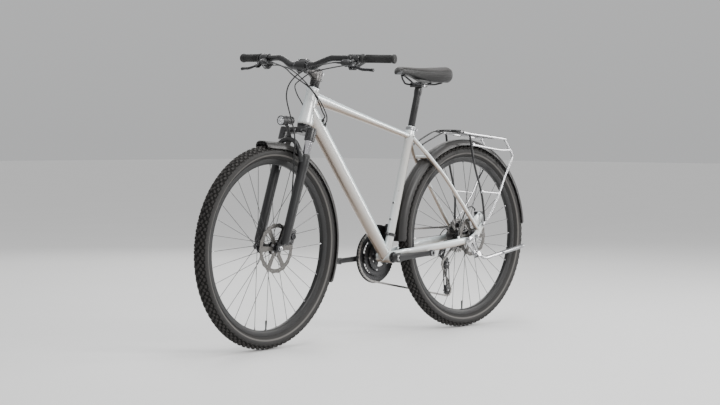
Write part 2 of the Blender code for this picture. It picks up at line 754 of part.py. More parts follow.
def make_stem(looks):
    finish = looks["black"]
    low = steer_point(stem_middle() - STEM_CLAMP_HEIGHT / 2)
    top = STEM_CLAMP_HEIGHT
    bore = (STEERER_R + GAP) / math.cos(math.pi / 16)
    profile = [(0, top + 0.004), (0.0170, top + 0.004), (0.0190, top + 0.001), (0.0190, 0), (bore, 0),
               (bore, top - 0.0025), (0, top - 0.0025)]
    clamp = turned("clamp", profile, low, STEER_UP, finish, 16)
    centre = bar_centre()
    bar_bore = (BAR_CLAMP_R + GAP) / math.cos(math.pi / 16)
    start = steer_point(stem_middle(), 0.0175)
    reach = centre - STEER_FRONT * (BAR_CLAMP_R + 0.002)
    arm = sweep("arm", [start, start.lerp(reach, 0.5), reach], (0.0150, 0.0155, 0.0210),
                (0.0170, 0.0150, 0.0175), finish, sides=12)
    cradle = rod("cradle", centre - LEFT * 0.023, centre + LEFT * 0.023, BAR_CLAMP_R + 0.0045,
                 finish, 16)
    frame = steer_frame()
    middle = frame.inverted() @ centre
    front_half = box("front_half", (middle.x, middle.y - 0.04, -0.04),
                     (middle.x + 0.05, middle.y + 0.04, 0.04), None, frame=frame)
    hole = rod("bar_hole", centre - LEFT * 0.05, centre + LEFT * 0.05, bar_bore, None, 16)
    stem = fuse("stem", [clamp, arm, cradle], [front_half, hole], finish)
    attach(stem, "steering")
    plate_ring = rod("plate_ring", centre - LEFT * 0.023, centre + LEFT * 0.023,
                     BAR_CLAMP_R + 0.0045, finish, 16)
    ears = []
    for rise in (-1, 1):
        low = (middle.x + GAP, middle.y + rise * (BAR_CLAMP_R + 0.004) - 0.0045, -0.021)
        high = (middle.x + 0.009, middle.y + rise * (BAR_CLAMP_R + 0.004) + 0.0045, 0.021)
        ears.append(box("ear", low, high, finish, frame=frame))
    back_half = box("back_half", (middle.x - 0.05, middle.y - 0.04, -0.04),
                    (middle.x + GAP, middle.y + 0.04, 0.04), None, frame=frame)
    hole = rod("bar_hole", centre - LEFT * 0.05, centre + LEFT * 0.05, bar_bore, None, 16)
    face = fuse("stem_faceplate", [plate_ring, *ears], [back_half, hole], finish)
    attach(face, "steering")


def make_handlebar(looks):
    clamp = bar_centre()
    half = [(0.0, 0.0, 0.0), (0.0, 0.034, 0.0), (-0.002, 0.058, 0.003), (-0.010, 0.096, 0.0205),
            (-0.014, 0.120, 0.0275), BAR_ROOT, BAR_TIP]
    radii = [BAR_CLAMP_R, BAR_CLAMP_R, BAR_R + 0.0025, BAR_R, BAR_R, BAR_R, BAR_R]
    path = [clamp + mirrored(p, -1) for p in reversed(half[1:])] + [clamp + Vector(p) for p in half]
    sizes = list(reversed(radii[1:])) + radii
    bar = sweep("handlebar", path, sizes, sizes, looks["black"], sides=10, across=FORWARD)
    return attach(bar, "steering")


def make_grip(word, side, looks):
    _, heading = bar_line(side)
    end = bar_point(0, side)
    bore = BAR_R + RUNNING_GAP
    length = GRIP_LENGTH
    profile = [(0, 0.0045), (GRIP_FLANGE_R - 0.003, 0.0045), (GRIP_FLANGE_R, 0.0015), (GRIP_FLANGE_R, -0.004),
               (GRIP_R, -0.010), (GRIP_R + 0.001, -length * 0.5), (GRIP_R - 0.0005, -length + 0.012),
               (GRIP_R + 0.0025, -length + 0.006), (GRIP_R + 0.0025, -length), (bore, -length),
               (bore, GAP), (0, GAP)]
    grip = turned("grip_" + word, profile, end, heading, looks["rubber"], 10)
    return attach(grip, "steering")


def lever_axes(side):
    """Directions at the bar's end: outwards, ahead of the bar and above it."""
    _, heading = bar_line(side)
    ahead = Vector((math.cos(math.radians(LEVER_TILT)), 0, -math.sin(math.radians(LEVER_TILT))))
    ahead = (ahead - heading * heading.dot(ahead)).normalized()
    above = heading.cross(ahead) * side * -1
    return heading, ahead, above


def cylinder_end(side):
    """The inner end of the brake's cylinder, where its hose leaves."""
    heading, ahead, above = lever_axes(side)
    return bar_point(GRIP_LENGTH, side) - heading * 0.072 + ahead * 0.029 + above * 0.004


def lever_pivot(side):
    _, ahead, _ = lever_axes(side)
    return bar_point(GRIP_LENGTH + 0.017, side) + ahead * 0.043


def make_control(word, side, looks):
    """The brake's master cylinder and the shifter, on one clamp."""
    finish = looks["black"]
    heading, ahead, above = lever_axes(side)
    inner = bar_point(GRIP_LENGTH + 0.052, side)
    outer = bar_point(GRIP_LENGTH + 0.004, side)
    ring = rod("ring", inner, outer, BAR_R + 0.0050, finish, 12)
    level = bar_point(GRIP_LENGTH, side)
    cylinder = rod("cylinder", cylinder_end(side), cylinder_end(side) + heading * 0.044, 0.0100,
                   finish, 10)
    neck = sweep("neck", [level - heading * 0.030 + ahead * 0.006,
                          level - heading * 0.036 + ahead * 0.030],
                 0.010, 0.009, finish, sides=6, across=heading)
    box_frame = Matrix((heading, ahead, above)).transposed().to_4x4()
    box_frame.translation = level
    shifter = box("shifter", (-0.050, -0.004, -0.0320), (-0.018, 0.030, -0.0080), finish,
                  frame=box_frame)
    post = box("post", (-0.040, -0.006, -0.012), (-0.026, 0.010, 0.0), finish, frame=box_frame)
    jaw_high = box("jaw_high", (-0.034, 0.027, 0.0034), (-0.010, 0.050, 0.0066), finish,
                   frame=box_frame)
    jaw_low = box("jaw_low", (-0.034, 0.027, -0.0062), (-0.010, 0.050, -0.0031), finish,
                  frame=box_frame)
    hole = rod("bar_hole", bar_point(GRIP_LENGTH + 0.07, side), bar_point(GRIP_LENGTH - 0.01, side),
               BAR_R + RUNNING_GAP, None, 12)
    parts = [ring, cylinder, neck, shifter, post, jaw_high, jaw_low]
    return attach(fuse("control_" + word, parts, [hole], finish), "steering")


def make_levers(word, side, looks):
    heading, ahead, above = lever_axes(side)
    pivot = lever_pivot(side)
    path = [pivot - heading * 0.006, pivot + heading * 0.010 + ahead * 0.003,
            pivot + heading * 0.035 + ahead * 0.014, pivot + heading * 0.062 + ahead * 0.016,
            pivot + heading * 0.082 + ahead * 0.018]
    blade = sweep("brake_lever_" + word, path, (0.0062, 0.0060, 0.0052, 0.0052, 0.0062),
                  (0.0028, 0.0030, 0.0045, 0.0045, 0.0058), looks["alloy"], sides=8, across=ahead)
    attach(blade, "brake_lever_" + word)
    level = bar_point(GRIP_LENGTH, side)
    root = level - heading * 0.034 + ahead * 0.014 - above * (0.0320 + GAP)
    tip = root + heading * 0.030 - ahead * 0.034
    outline = capsule((0, 0), ((tip - root).dot(heading), (tip - root).dot(ahead)), 0.009, 0.006)
    frame = Matrix((heading, ahead, above)).transposed().to_4x4()
    frame.translation = root
    paddle = plate("shift_lever_" + word, outline, -0.0030, 0.0, looks["plastic"], frame=frame)
    attach(paddle, "shift_lever_" + word)


def shift_pivot(side):
    heading, ahead, above = lever_axes(side)
    return bar_point(GRIP_LENGTH, side) - heading * 0.034 + ahead * 0.014 - above * 0.034


# Wheels
def tyre_profile():
    """The tyre's open section, outside and then inside, as (radius, side) points."""
    half = TYRE_HALF_WIDTH
    bead = RIM_HALF_WIDTH - RIM_WALL - GAP
    seat = RIM_FLANGE_R - 0.0045
    top = WHEEL_RADIUS
    outer = [(seat, bead), (RIM_FLANGE_R + 0.0010, bead), (top - 0.030, half * 0.97),
             (top - 0.012, half * 0.92), (top, half * 0.34)]
    inner = [(seat, bead - 0.0026), (top - 0.0130, half * 0.60)]
    ring = outer + [(r, -y) for r, y in reversed(outer)]
    return ring + [(r, -y) for r, y in inner] + list(reversed(inner))


def rim_profile():
    half = RIM_HALF_WIDTH
    inside = half - RIM_WALL
    bed = RIM_FLANGE_R - 0.0048
    side = [(RIM_INNER_R, half * 0.6), (RIM_FLANGE_R, half), (RIM_FLANGE_R, inside), (bed, inside)]
    return side + [(r, -y) for r, y in reversed(side)]


def facet_radius(radius, steps, angle):
    """How far a many-sided ring reaches at an angle; one of its corners points straight down."""
    facet = 360.0 / steps
    off = (angle + 90.0) % facet - facet / 2
    return radius * math.cos(math.pi / steps) / math.cos(math.radians(off))


def make_spokes(name, centre, flange_y, body, looks):
    """One side's spokes, laced three-cross, fused where they cross."""
    parts = []
    half = SPOKE_THICK / 2
    corner = half * math.sin(math.radians(60))
    for i in range(SPOKES_PER_SIDE):
        lead = 1 if i % 2 else -1
        angle = 360.0 / SPOKES_PER_SIDE * i
        hub_r = facet_radius(FLANGE_R, HUB_STEPS, angle) + GAP
        hub_r += corner * math.sin(math.radians(SPOKE_SWING))
        start = polar((centre.x, centre.z), hub_r, angle)
        rim_r = facet_radius(RIM_INNER_R, WHEEL_STEPS, angle + SPOKE_SWING * lead) - GAP * 1.5
        end = polar((centre.x, centre.z), rim_r, angle + SPOKE_SWING * lead)
        lift = SPOKE_LIFT * lead
        path = [(start[0], flange_y + lift, start[1]), (end[0], flange_y * 0.06 + lift, end[1])]
        parts.append(sweep("spoke", path, half, half, looks["steel"], sides=3))
    return attach(fuse(name, parts, (), looks["steel"]), body)


def make_rotor(name, centre, y, outer, body, looks):
    """A disc rotor with a waved rim, cut windows and a bolted middle."""
    waves = 9
    rim = []
    for k in range(waves * 2):
        radius = outer if k % 2 else outer - 0.0035
        rim.append(polar((centre.x, centre.z), radius, 180.0 * k / waves))
    holes = [circle((centre.x, centre.z), (ROTOR_SEAT_R + GAP) / math.cos(math.pi / HUB_STEPS),
                    HUB_STEPS)]
    for k in range(6):
        start = 60 * k + 8
        outside = arc((centre.x, centre.z), outer - 0.0165, start, start + 44, 3)
        inside = arc((centre.x, centre.z), 0.030, start + 38, start + 6, 1)
        holes.append(outside + inside)
    disc = plate(name, rim, y - ROTOR_THICK / 2, y + ROTOR_THICK / 2, looks["steel"], holes)
    return attach(disc, body)


def make_hub(name, centre, spacing, left_flange, right_flange, rotor_y, body, looks, freehub):
    """A hub shell with two flanges, a rotor seat on the left and a bore for its axle."""
    bore = AXLE_R + RUNNING_GAP
    end = spacing / 2 - GAP
    seat = rotor_y - ROTOR_THICK / 2 - GAP
    half = FLANGE_THICK / 2
    profile = [(bore, end), (0.0085, end), (0.0085, rotor_y + 0.004), (ROTOR_SEAT_R, rotor_y + 0.003),
               (ROTOR_SEAT_R, seat), (0.0200, seat), (0.0170, left_flange + half),
               (FLANGE_R, left_flange + half), (FLANGE_R, left_flange - half),
               (0.0145, left_flange - 0.007), (0.0145, right_flange + 0.007),
               (FLANGE_R, right_flange + half), (FLANGE_R, right_flange - half)]
    if freehub:
        body_end = CASSETTE_START_Y - COG_SPACING * len(COG_RADII) - 0.0010
        profile += [(FREEHUB_R, right_flange - half - 0.0012), (FREEHUB_R, body_end),
                    (0.0100, body_end), (0.0100, -end), (bore, -end)]
    else:
        profile += [(0.0085, right_flange - 0.008), (0.0085, -end), (bore, -end)]
    hub = turned(name, profile, centre, LEFT, looks["black"], HUB_STEPS, looped=True)
    return attach(hub, body)


def make_wheel(word, centre, spacing, flanges, rotor, body, looks):
    start = -UP
    tyre = turned(word + "_tyre", tyre_profile(), centre, LEFT, looks["rubber"], WHEEL_STEPS,
                  True, start)
    attach(tyre, body)
    rim = turned(word + "_rim", rim_profile(), centre, LEFT, looks["black"], WHEEL_STEPS, True,
                 start)
    attach(rim, body)
    make_spokes(word + "_spokes_left", centre, flanges[0], body, looks)
    make_spokes(word + "_spokes_right", centre, flanges[1], body, looks)
    make_hub(word + "_hub", centre, spacing, flanges[0], flanges[1], rotor[1], body, looks,
             word == "rear")
    make_rotor(word + "_brake_rotor", centre, rotor[1], rotor[0], body, looks)


def make_axle(name, centre, spacing, plate_thick, body, looks):
    """A bolted axle: a rod with a round-headed nut outside each dropout."""
    face = spacing / 2 + plate_thick + GAP
    profile = [(0, -face - 0.011), (0.0060, -face - 0.011), (0.0085, -face - 0.007),
               (0.0090, -face), (AXLE_R, -face), (AXLE_R, face), (0.0090, face),
               (0.0085, face + 0.007), (0.0060, face + 0.011), (0, face + 0.011)]
    axle = turned(name, profile, centre, LEFT, looks["steel"], 10)
    return attach(axle, body)


# Brakes
def make_front_caliper(looks):
    """A two-piece caliper round the rotor, behind the left leg."""
    frame = steer_frame()
    black = looks["black"]
    y = FRONT_ROTOR_Y
    body = box("body", (-0.030, 0.032, y - 0.0120), (0.004, 0.088, y + 0.0160), black, frame=frame)
    piston = rod("piston", frame @ Vector((-0.016, 0.060, y + 0.010)),
                 frame @ Vector((-0.016, 0.060, y + 0.0210)), 0.0115, black, 12)
    banjo = rod("banjo", frame @ Vector(FRONT_BANJO) - STEER_UP * 0.013, frame @ Vector(FRONT_BANJO),
                0.0048, black, 8)
    slot = rod("slot", FRONT_AXLE + LEFT * (y - ROTOR_SLOT), FRONT_AXLE + LEFT * (y + ROTOR_SLOT),
               FRONT_ROTOR_R + 0.0025, None, 48)
    caliper = fuse("front_brake_caliper", [body, piston, banjo], [slot], black)
    return attach(caliper, "fork_lowers")


def make_rear_caliper(looks):
    """The rear caliper sits over the seatstay and carries the end of its hose."""
    alloy = looks["alloy"]
    y = REAR_ROTOR_Y
    body = box("body", (-0.058, y - 0.0120, 0.414), (-0.023, BRAKE_TAB_Y - GAP, 0.462), alloy)
    piston = rod("piston", (-0.040, y - 0.010, 0.438), (-0.040, y - 0.0190, 0.438), 0.0115, alloy, 12)
    slot = rod("slot", REAR_AXLE + LEFT * (y - ROTOR_SLOT), REAR_AXLE + LEFT * (y + ROTOR_SLOT),
               REAR_ROTOR_R + 0.0025, None, 48)
    base, out = hose_port()
    lead = [(-0.030, 0.0450, 0.458), (-0.020, 0.0455, 0.474), (0.004, 0.0475, 0.483),
            (0.034, 0.0510, 0.470), (0.062, 0.0550, 0.440), (0.082, 0.0590, 0.406),
            base + out * 0.014, base + out * GAP]
    tail = sweep("tail", smooth_route(lead, 2), HOSE_R, HOSE_R, alloy, sides=6)
    caliper = fuse("rear_brake_caliper", [body, piston, tail], [slot], alloy)
    return attach(caliper, "bike")


# Drivetrain
def belt_path(stations):
    """The chain's closed path round its wheels, each (centre, radius, sense of turn)."""
    count = len(stations)
    leaves = []
    for i in range(count):
        here, there = stations[i], stations[(i + 1) % count]
        dx = there[0].x - here[0].x
        dz = there[0].z - here[0].z
        span = math.hypot(dx, dz)
        turn = math.asin((here[2] * here[1] - there[2] * there[1]) / span)
        leaves.append(math.atan2(dz, dx) - turn)
    path = []
    for i, (centre, radius, sense) in enumerate(stations):
        arrive = leaves[i - 1] + math.pi / 2 * sense
        depart = leaves[i] + math.pi / 2 * sense
        sweep_angle = (depart - arrive) % (2 * math.pi)
        if sense > 0:
            sweep_angle -= 2 * math.pi
        steps = math.ceil(abs(math.degrees(sweep_angle)) / CHAIN_STEP)
        for k in range(steps + 1):
            angle = arrive + sweep_angle * k / steps
            path.append(centre + Vector((radius * math.cos(angle), 0, radius * math.sin(angle))))
    return path


def make_chain(looks):
    ring = Vector((BRACKET.x, RING_Y, BRACKET.z))
    cog = Vector((0, COG_Y, WHEEL_RADIUS))
    stations = [(ring, RING_PITCH_R, 1), (TENSION_PULLEY, PULLEY_PITCH_R, 1),
                (GUIDE_PULLEY, PULLEY_PITCH_R, -1), (cog, COG_PITCH_R, 1)]
    band = sweep("chain", belt_path(stations), CHAIN_HALF_WIDTH, CHAIN_HALF_HEIGHT,
                 looks["steel"], looped=True, square=True)
    return attach(band, "bike")


def toothed(centre, outer, inner, teeth):
    return [polar(centre, outer if k % 2 else inner, 180.0 * k / teeth) for k in range(teeth * 2)]


def seat_radius(pitch):
    """The largest radius that fits under the chain where it bends round a wheel."""
    return (pitch - CHAIN_HALF_HEIGHT) * math.cos(math.radians(CHAIN_STEP / 2)) - GAP


def make_chainrings(looks):
    """Three rings and a guard ring, held together by the chainring bolts."""
    middle = (BRACKET.x, BRACKET.z)
    steel = looks["steel"]
    seat = seat_radius(RING_PITCH_R)
    tabs = []
    for k in range(5):
        angle = 72 * k + CRANK_ANGLE
        tabs += arc(middle, 0.0470, angle - 9, angle + 9, 1)
        tabs += arc(middle, 0.0720, angle + 16, angle + 56, 1)
    large = plate("large", toothed(middle, seat, seat - 0.0030, 14), RING_Y - 0.0013,
                  RING_Y + 0.0012, steel, [tabs])
    mid_y, small_y = RING_Y + 0.0080, RING_Y + 0.0150
    middle_ring = plate("middle", circle(middle, 0.0770, 14), mid_y - 0.0010, mid_y + 0.0010, steel,
                        [circle(middle, 0.0465, 8)])
    small = plate("small", circle(middle, 0.0590, 12), small_y - 0.0010, small_y + 0.0010, steel,
                  [circle(middle, 0.0380, 8)])
    guard = plate("guard", circle(middle, 0.1035, 18), GUARD_RING_Y - 0.0010,
                  GUARD_RING_Y + 0.0010, steel, [circle(middle, 0.0860, 18)])
    bolts = []
    for k in range(5):
        angle = 72 * k + CRANK_ANGLE
        spot = polar(middle, SPIDER_R, angle)
        bolts.append(rod("bolt", (spot[0], RING_Y, spot[1]),
                         (spot[0], small_y, spot[1]), BOLT_R, steel, 5))
        spot = polar(middle, 0.0880, angle + 36)
        bolts.append(rod("post", (spot[0], GUARD_RING_Y, spot[1]), (spot[0], RING_Y, spot[1]),
                         0.0026, steel, 4))
    rings = fuse("chainring_set", [large, middle_ring, small, guard, *bolts], (), steel)
    return attach(rings, "crankset")


def crank_frame():
    """Maps (along the right crank, square to it, to the left) into bike coordinates."""
    angle = math.radians(CRANK_ANGLE)
    along = Vector((math.cos(angle), 0, math.sin(angle)))
    square = Vector((-math.sin(angle), 0, math.cos(angle)))
    matrix = Matrix((along, square, LEFT)).transposed().to_4x4()
    matrix.translation = BRACKET
    return matrix


def make_crank_right(looks):
    """The right arm with its five-armed spider and the spindle."""
    finish = looks["black"]
    frame = crank_frame()
    length = CRANK_LENGTH
    parts = [rod("spindle", BRACKET - LEFT * 0.062, BRACKET + LEFT * 0.0660, SPINDLE_R, finish, 10)]
    parts.append(rod("boss", BRACKET - LEFT * 0.0440, BRACKET - LEFT * 0.0760, 0.0185, finish, 12))
    path = [(0.0, 0, -0.0690), (0.045, 0, -0.0700), (0.110, 0, -0.0760), (length, 0, -0.0840)]
    arm = sweep("arm", [frame @ Vector(p) for p in path], (0.0150, 0.0130, 0.0105, 0.0100),
                (0.0075, 0.0070, 0.0062, 0.0060), finish, sides=8,
                across=frame.to_3x3() @ Vector((0, 1, 0)))
    parts.append(arm)
    eye = frame @ Vector((length, 0, -0.0780))
    parts.append(rod("eye", eye, eye - LEFT * 0.0130, 0.0130, finish, 8))
    low, high = RING_Y + 0.0015, RING_Y + 0.0067
    middle = (BRACKET.x, BRACKET.z)
    for k in range(5):
        angle = 72 * k + CRANK_ANGLE
        outline = capsule(middle, polar(middle, SPIDER_R, angle), 0.0110, 0.0085, 3)
        parts.append(plate("spider", outline, low, high, finish))
    cutters = []
    for k in range(5):
        angle = 72 * k + CRANK_ANGLE
        spot = polar(middle, SPIDER_R, angle)
        cutters.append(rod("hole", (spot[0], low - 0.002, spot[1]), (spot[0], high + 0.002, spot[1]),
                           BOLT_R + GAP * 2, None, 5))
    cutters.append(rod("thread", eye + LEFT * 0.01, eye - LEFT * 0.03, 0.0071, None, 8))
    return attach(fuse("crank_right", parts, cutters, finish), "crankset")


def make_crank_left(looks):
    finish = looks["black"]
    frame = crank_frame()
    length = CRANK_LENGTH
    boss = rod("boss", BRACKET + LEFT * 0.0500, BRACKET + LEFT * 0.0720, 0.0185, finish, 12)
    path = [(0.0, 0, 0.0650), (-0.045, 0, 0.0680), (-0.110, 0, 0.0750), (-length, 0, 0.0840)]
    arm = sweep("arm", [frame @ Vector(p) for p in path], (0.0150, 0.0130, 0.0105, 0.0100),
                (0.0072, 0.0070, 0.0062, 0.0060), finish, sides=8,
                across=frame.to_3x3() @ Vector((0, 1, 0)))
    eye = frame @ Vector((-length, 0, 0.0780))
    end = rod("eye", eye, eye + LEFT * 0.0130, 0.0130, finish, 8)
    bore = rod("bore", BRACKET + LEFT * 0.04, BRACKET + LEFT * 0.0665,
               (SPINDLE_R + GAP) / math.cos(math.pi / 10), None, 10)
    thread = rod("thread", eye - LEFT * 0.01, eye + LEFT * 0.03, 0.0071, None, 8)
    return attach(fuse("crank_left", [boss, arm, end], [bore, thread], finish), "crankset")


def make_cassette(looks):
    bore = (FREEHUB_R + GAP) / math.cos(math.pi / HUB_STEPS)
    profile = [(bore, CASSETTE_START_Y)]
    y = CASSETTE_START_Y
    for radius in COG_RADII:
        profile.append((radius, y))
        y -= COG_SPACING
        profile.append((radius, y))
    profile.append((bore, y))
    cogs = turned("cassette", profile, REAR_AXLE, LEFT, looks["steel"], HUB_STEPS,
                  looped=True)
    return attach(cogs, "cassette")


def make_front_derailleur(looks):
    steel = looks["steel"]
    along = 0.087
    low = BRACKET + SEAT_UP * (along - 0.006)
    high = BRACKET + SEAT_UP * (along + 0.006)
    ring = tube_between("ring", low, high, SEAT_TUBE_R + 0.0038, SEAT_TUBE_R + GAP, steel, 12)
    side_y = -SEAT_TUBE_R - 0.0004
    post = box("post", (0.4010, -0.0280, 0.376), (0.4240, side_y, 0.4255), steel)
    arm = box("arm", (0.3982, -0.0440, 0.4157), (0.4060, side_y - 0.003, 0.4255), steel)
    clamp = fuse("front_derailleur_clamp", [ring, post, arm], (), steel)
    attach(clamp, "bike")
    middle = (BRACKET.x, BRACKET.z)
    inner_r, outer_r = RING_PITCH_R - 0.0010, RING_PITCH_R + 0.0250
    shape = arc(middle, outer_r, 78, 122, 4) + arc(middle, inner_r, 128, 72, 5)
    outer = plate("outer", shape, RING_Y - 0.0054, RING_Y - 0.0041, steel)
    inner = plate("inner", shape, RING_Y + 0.0041, RING_Y + 0.0054, steel)
    bridge = box("bridge", (0.3900, RING_Y - 0.0050, 0.4075), (0.3979, -0.0280, 0.4185), steel)
    cage = fuse("front_derailleur_cage", [outer, inner, bridge], (), steel)
    return attach(cage, "front_derailleur")


KNUCKLE_TOP = Vector((0.003, -0.0930, 0.3235))
KNUCKLE_LOW = Vector((0.0300, -0.0870, 0.2780))


def swing_axis():
    """The axis that the derailleur's link swings about, square to the link and to Y."""
    run = KNUCKLE_LOW - KNUCKLE_TOP
    flat = Vector((run.x, 0, run.z)).normalized()
    return flat.cross(LEFT).normalized()


def make_rear_derailleur(looks):
    black = looks["black"]
    bolt_z = WHEEL_RADIUS - 0.027
    face = -REAR_SPACING / 2 - DROPOUT_THICK - GAP
    axis = swing_axis()
    bolt = Vector((0, face, bolt_z))
    base = rod("base", bolt, bolt - LEFT * 0.0180, 0.0090, black, 12)
    root = rod("root", bolt - LEFT * 0.0140 - UP * 0.004, KNUCKLE_TOP, 0.0048, black, 8)
    lug = rod("lug", KNUCKLE_TOP - axis * 0.0085, KNUCKLE_TOP + axis * 0.0085, 0.0055, black, 10)
    lead = [bolt - LEFT * 0.0100 - FORWARD * 0.006, (-0.028, -0.0840, 0.326), (-0.046, -0.0820, 0.340),
            (-0.044, -0.0840, 0.366), (-0.022, -0.0845, 0.386), (0.008, -0.0845, 0.388),
            (0.034, -0.0825, 0.372), (0.052, -0.0802, 0.352)]
    loop = sweep("loop", smooth_route(lead, 2), CABLE_R, CABLE_R, black, sides=5)
    attach(fuse("rear_derailleur_hanger", [base, root, lug, loop], (), black), "bike")
    drop = (KNUCKLE_LOW - KNUCKLE_TOP).normalized()
    plates = []
    for side in (1, -1):
        offset = axis * (side * 0.0108)
        plates.append(sweep("link", [KNUCKLE_TOP + offset - drop * 0.0020,
                                     KNUCKLE_LOW + offset + drop * 0.0020],
                            0.0018, 0.0060, black, across=axis, square=True))
    middle = KNUCKLE_TOP.lerp(KNUCKLE_LOW, 0.5)
    pin = rod("pin", middle - axis * 0.0108, middle + axis * 0.0108, 0.0050, black, 8)
    attach(fuse("rear_derailleur_link", [*plates, pin], (), black), "rear_derailleur_link")
    knuckle = rod("knuckle", KNUCKLE_LOW - axis * 0.0085, KNUCKLE_LOW + axis * 0.0085, 0.0055,
                  black, 10)
    pivot = cage_pivot()
    barrel = rod("barrel", pivot, pivot - LEFT * 0.0170, 0.0105, black, 12)
    neck = rod("neck", KNUCKLE_LOW, pivot - LEFT * 0.0130, 0.0045, black, 8)
    attach(fuse("rear_derailleur_knuckle", [barrel, knuckle, neck], (), black),
           "rear_derailleur_knuckle")
    hub_r = 0.0032
    shape = capsule((TENSION_PULLEY.x, TENSION_PULLEY.z), (GUIDE_PULLEY.x, GUIDE_PULLEY.z),
                    0.0120, 0.0120, 4)
    inner = plate("inner", shape, COG_Y + 0.0056, COG_Y + 0.0070, black)
    outer = plate("outer", shape, COG_Y - 0.0070, COG_Y - 0.0056, black)
    ear_shape = capsule((pivot.x, pivot.z), (GUIDE_PULLEY.x, GUIDE_PULLEY.z), 0.0100, 0.0105, 4)
    ear = plate("ear", ear_shape, pivot.y + GAP, COG_Y - 0.0060, black)
    parts = [outer, inner, ear]
    for spot in (GUIDE_PULLEY, TENSION_PULLEY):
        parts.append(rod("axle", spot - LEFT * 0.0064, spot + LEFT * 0.0064, hub_r, black, 8))
    attach(fuse("rear_derailleur_cage", parts, (), black), "rear_derailleur_cage")
    for name, spot in (("guide_pulley", GUIDE_PULLEY), ("tension_pulley", TENSION_PULLEY)):
        wheel = tube_between(name, spot - LEFT * 0.0050, spot + LEFT * 0.0050,
                             seat_radius(PULLEY_PITCH_R), (hub_r + GAP) / math.cos(math.pi / 12),
                             looks["plastic"], 12)
        attach(wheel, name)


def cage_pivot():
    """Where the pulley cage turns on the lower knuckle, on the knuckle's inner face."""
    return Vector((0.0300, COG_Y - 0.0083, 0.2680))


# Mudguards, rack and stand
def make_guard(name, centre, radius, start, end, steps, lean, finish, flare=0.0):
    """A mudguard: an arched strip along an arc round the wheel, flared at its start."""
    half = GUARD_HALF_WIDTH
    depth = GUARD_DEPTH
    thick = GUARD_THICK
    outer = [(-half, -depth), (-half * 0.82, -depth * 0.30), (0.0, 0.0),
             (half * 0.82, -depth * 0.30), (half, -depth)]
    inner = [(y * (half - thick) / half, r - thick * (0.0 if r == -depth else 1.0))
             for y, r in reversed(outer)]
    section = outer + inner
    rings = []
    for i in range(steps + 1):
        angle = math.radians(start + (end - start) * i / steps)
        grown = radius + lean[0] * math.cos(angle) + lean[1] * math.sin(angle)
        grown += flare * max(0.0, 1 - (math.degrees(angle) - start) / GUARD_FLARE_ARC) ** 2
        out = Vector((math.cos(angle), 0, math.sin(angle)))
        rings.append([centre + out * (grown + r) + LEFT * y for y, r in section])
    return mesh_object(name, skin(rings), finish)


def make_mudguards(looks):
    front = make_guard("strip", FRONT_AXLE, FRONT_GUARD_R, 83, 203, 14, (0, 0), looks["plastic"],
                       0.0070)
    foot = steer_point(LOWER_TOP + ARCH_RISE - ARCH_HALF - GAP, ARCH_AHEAD)
    crown = FRONT_AXLE + (foot - FRONT_AXLE).normalized() * (FRONT_GUARD_R - GUARD_THICK * 0.7)
    tab = sweep("tab", [crown, foot], 0.0100, 0.0060, None, square=True)
    attach(fuse("front_fender", [front, tab], (), looks["plastic"]), "fork_lowers")
    lean = (REAR_GUARD_BACK, REAR_GUARD_RISE)
    attach(make_guard("rear_fender", REAR_AXLE, REAR_GUARD_R, -1, 174, 16, lean,
                      looks["plastic"]), "bike")


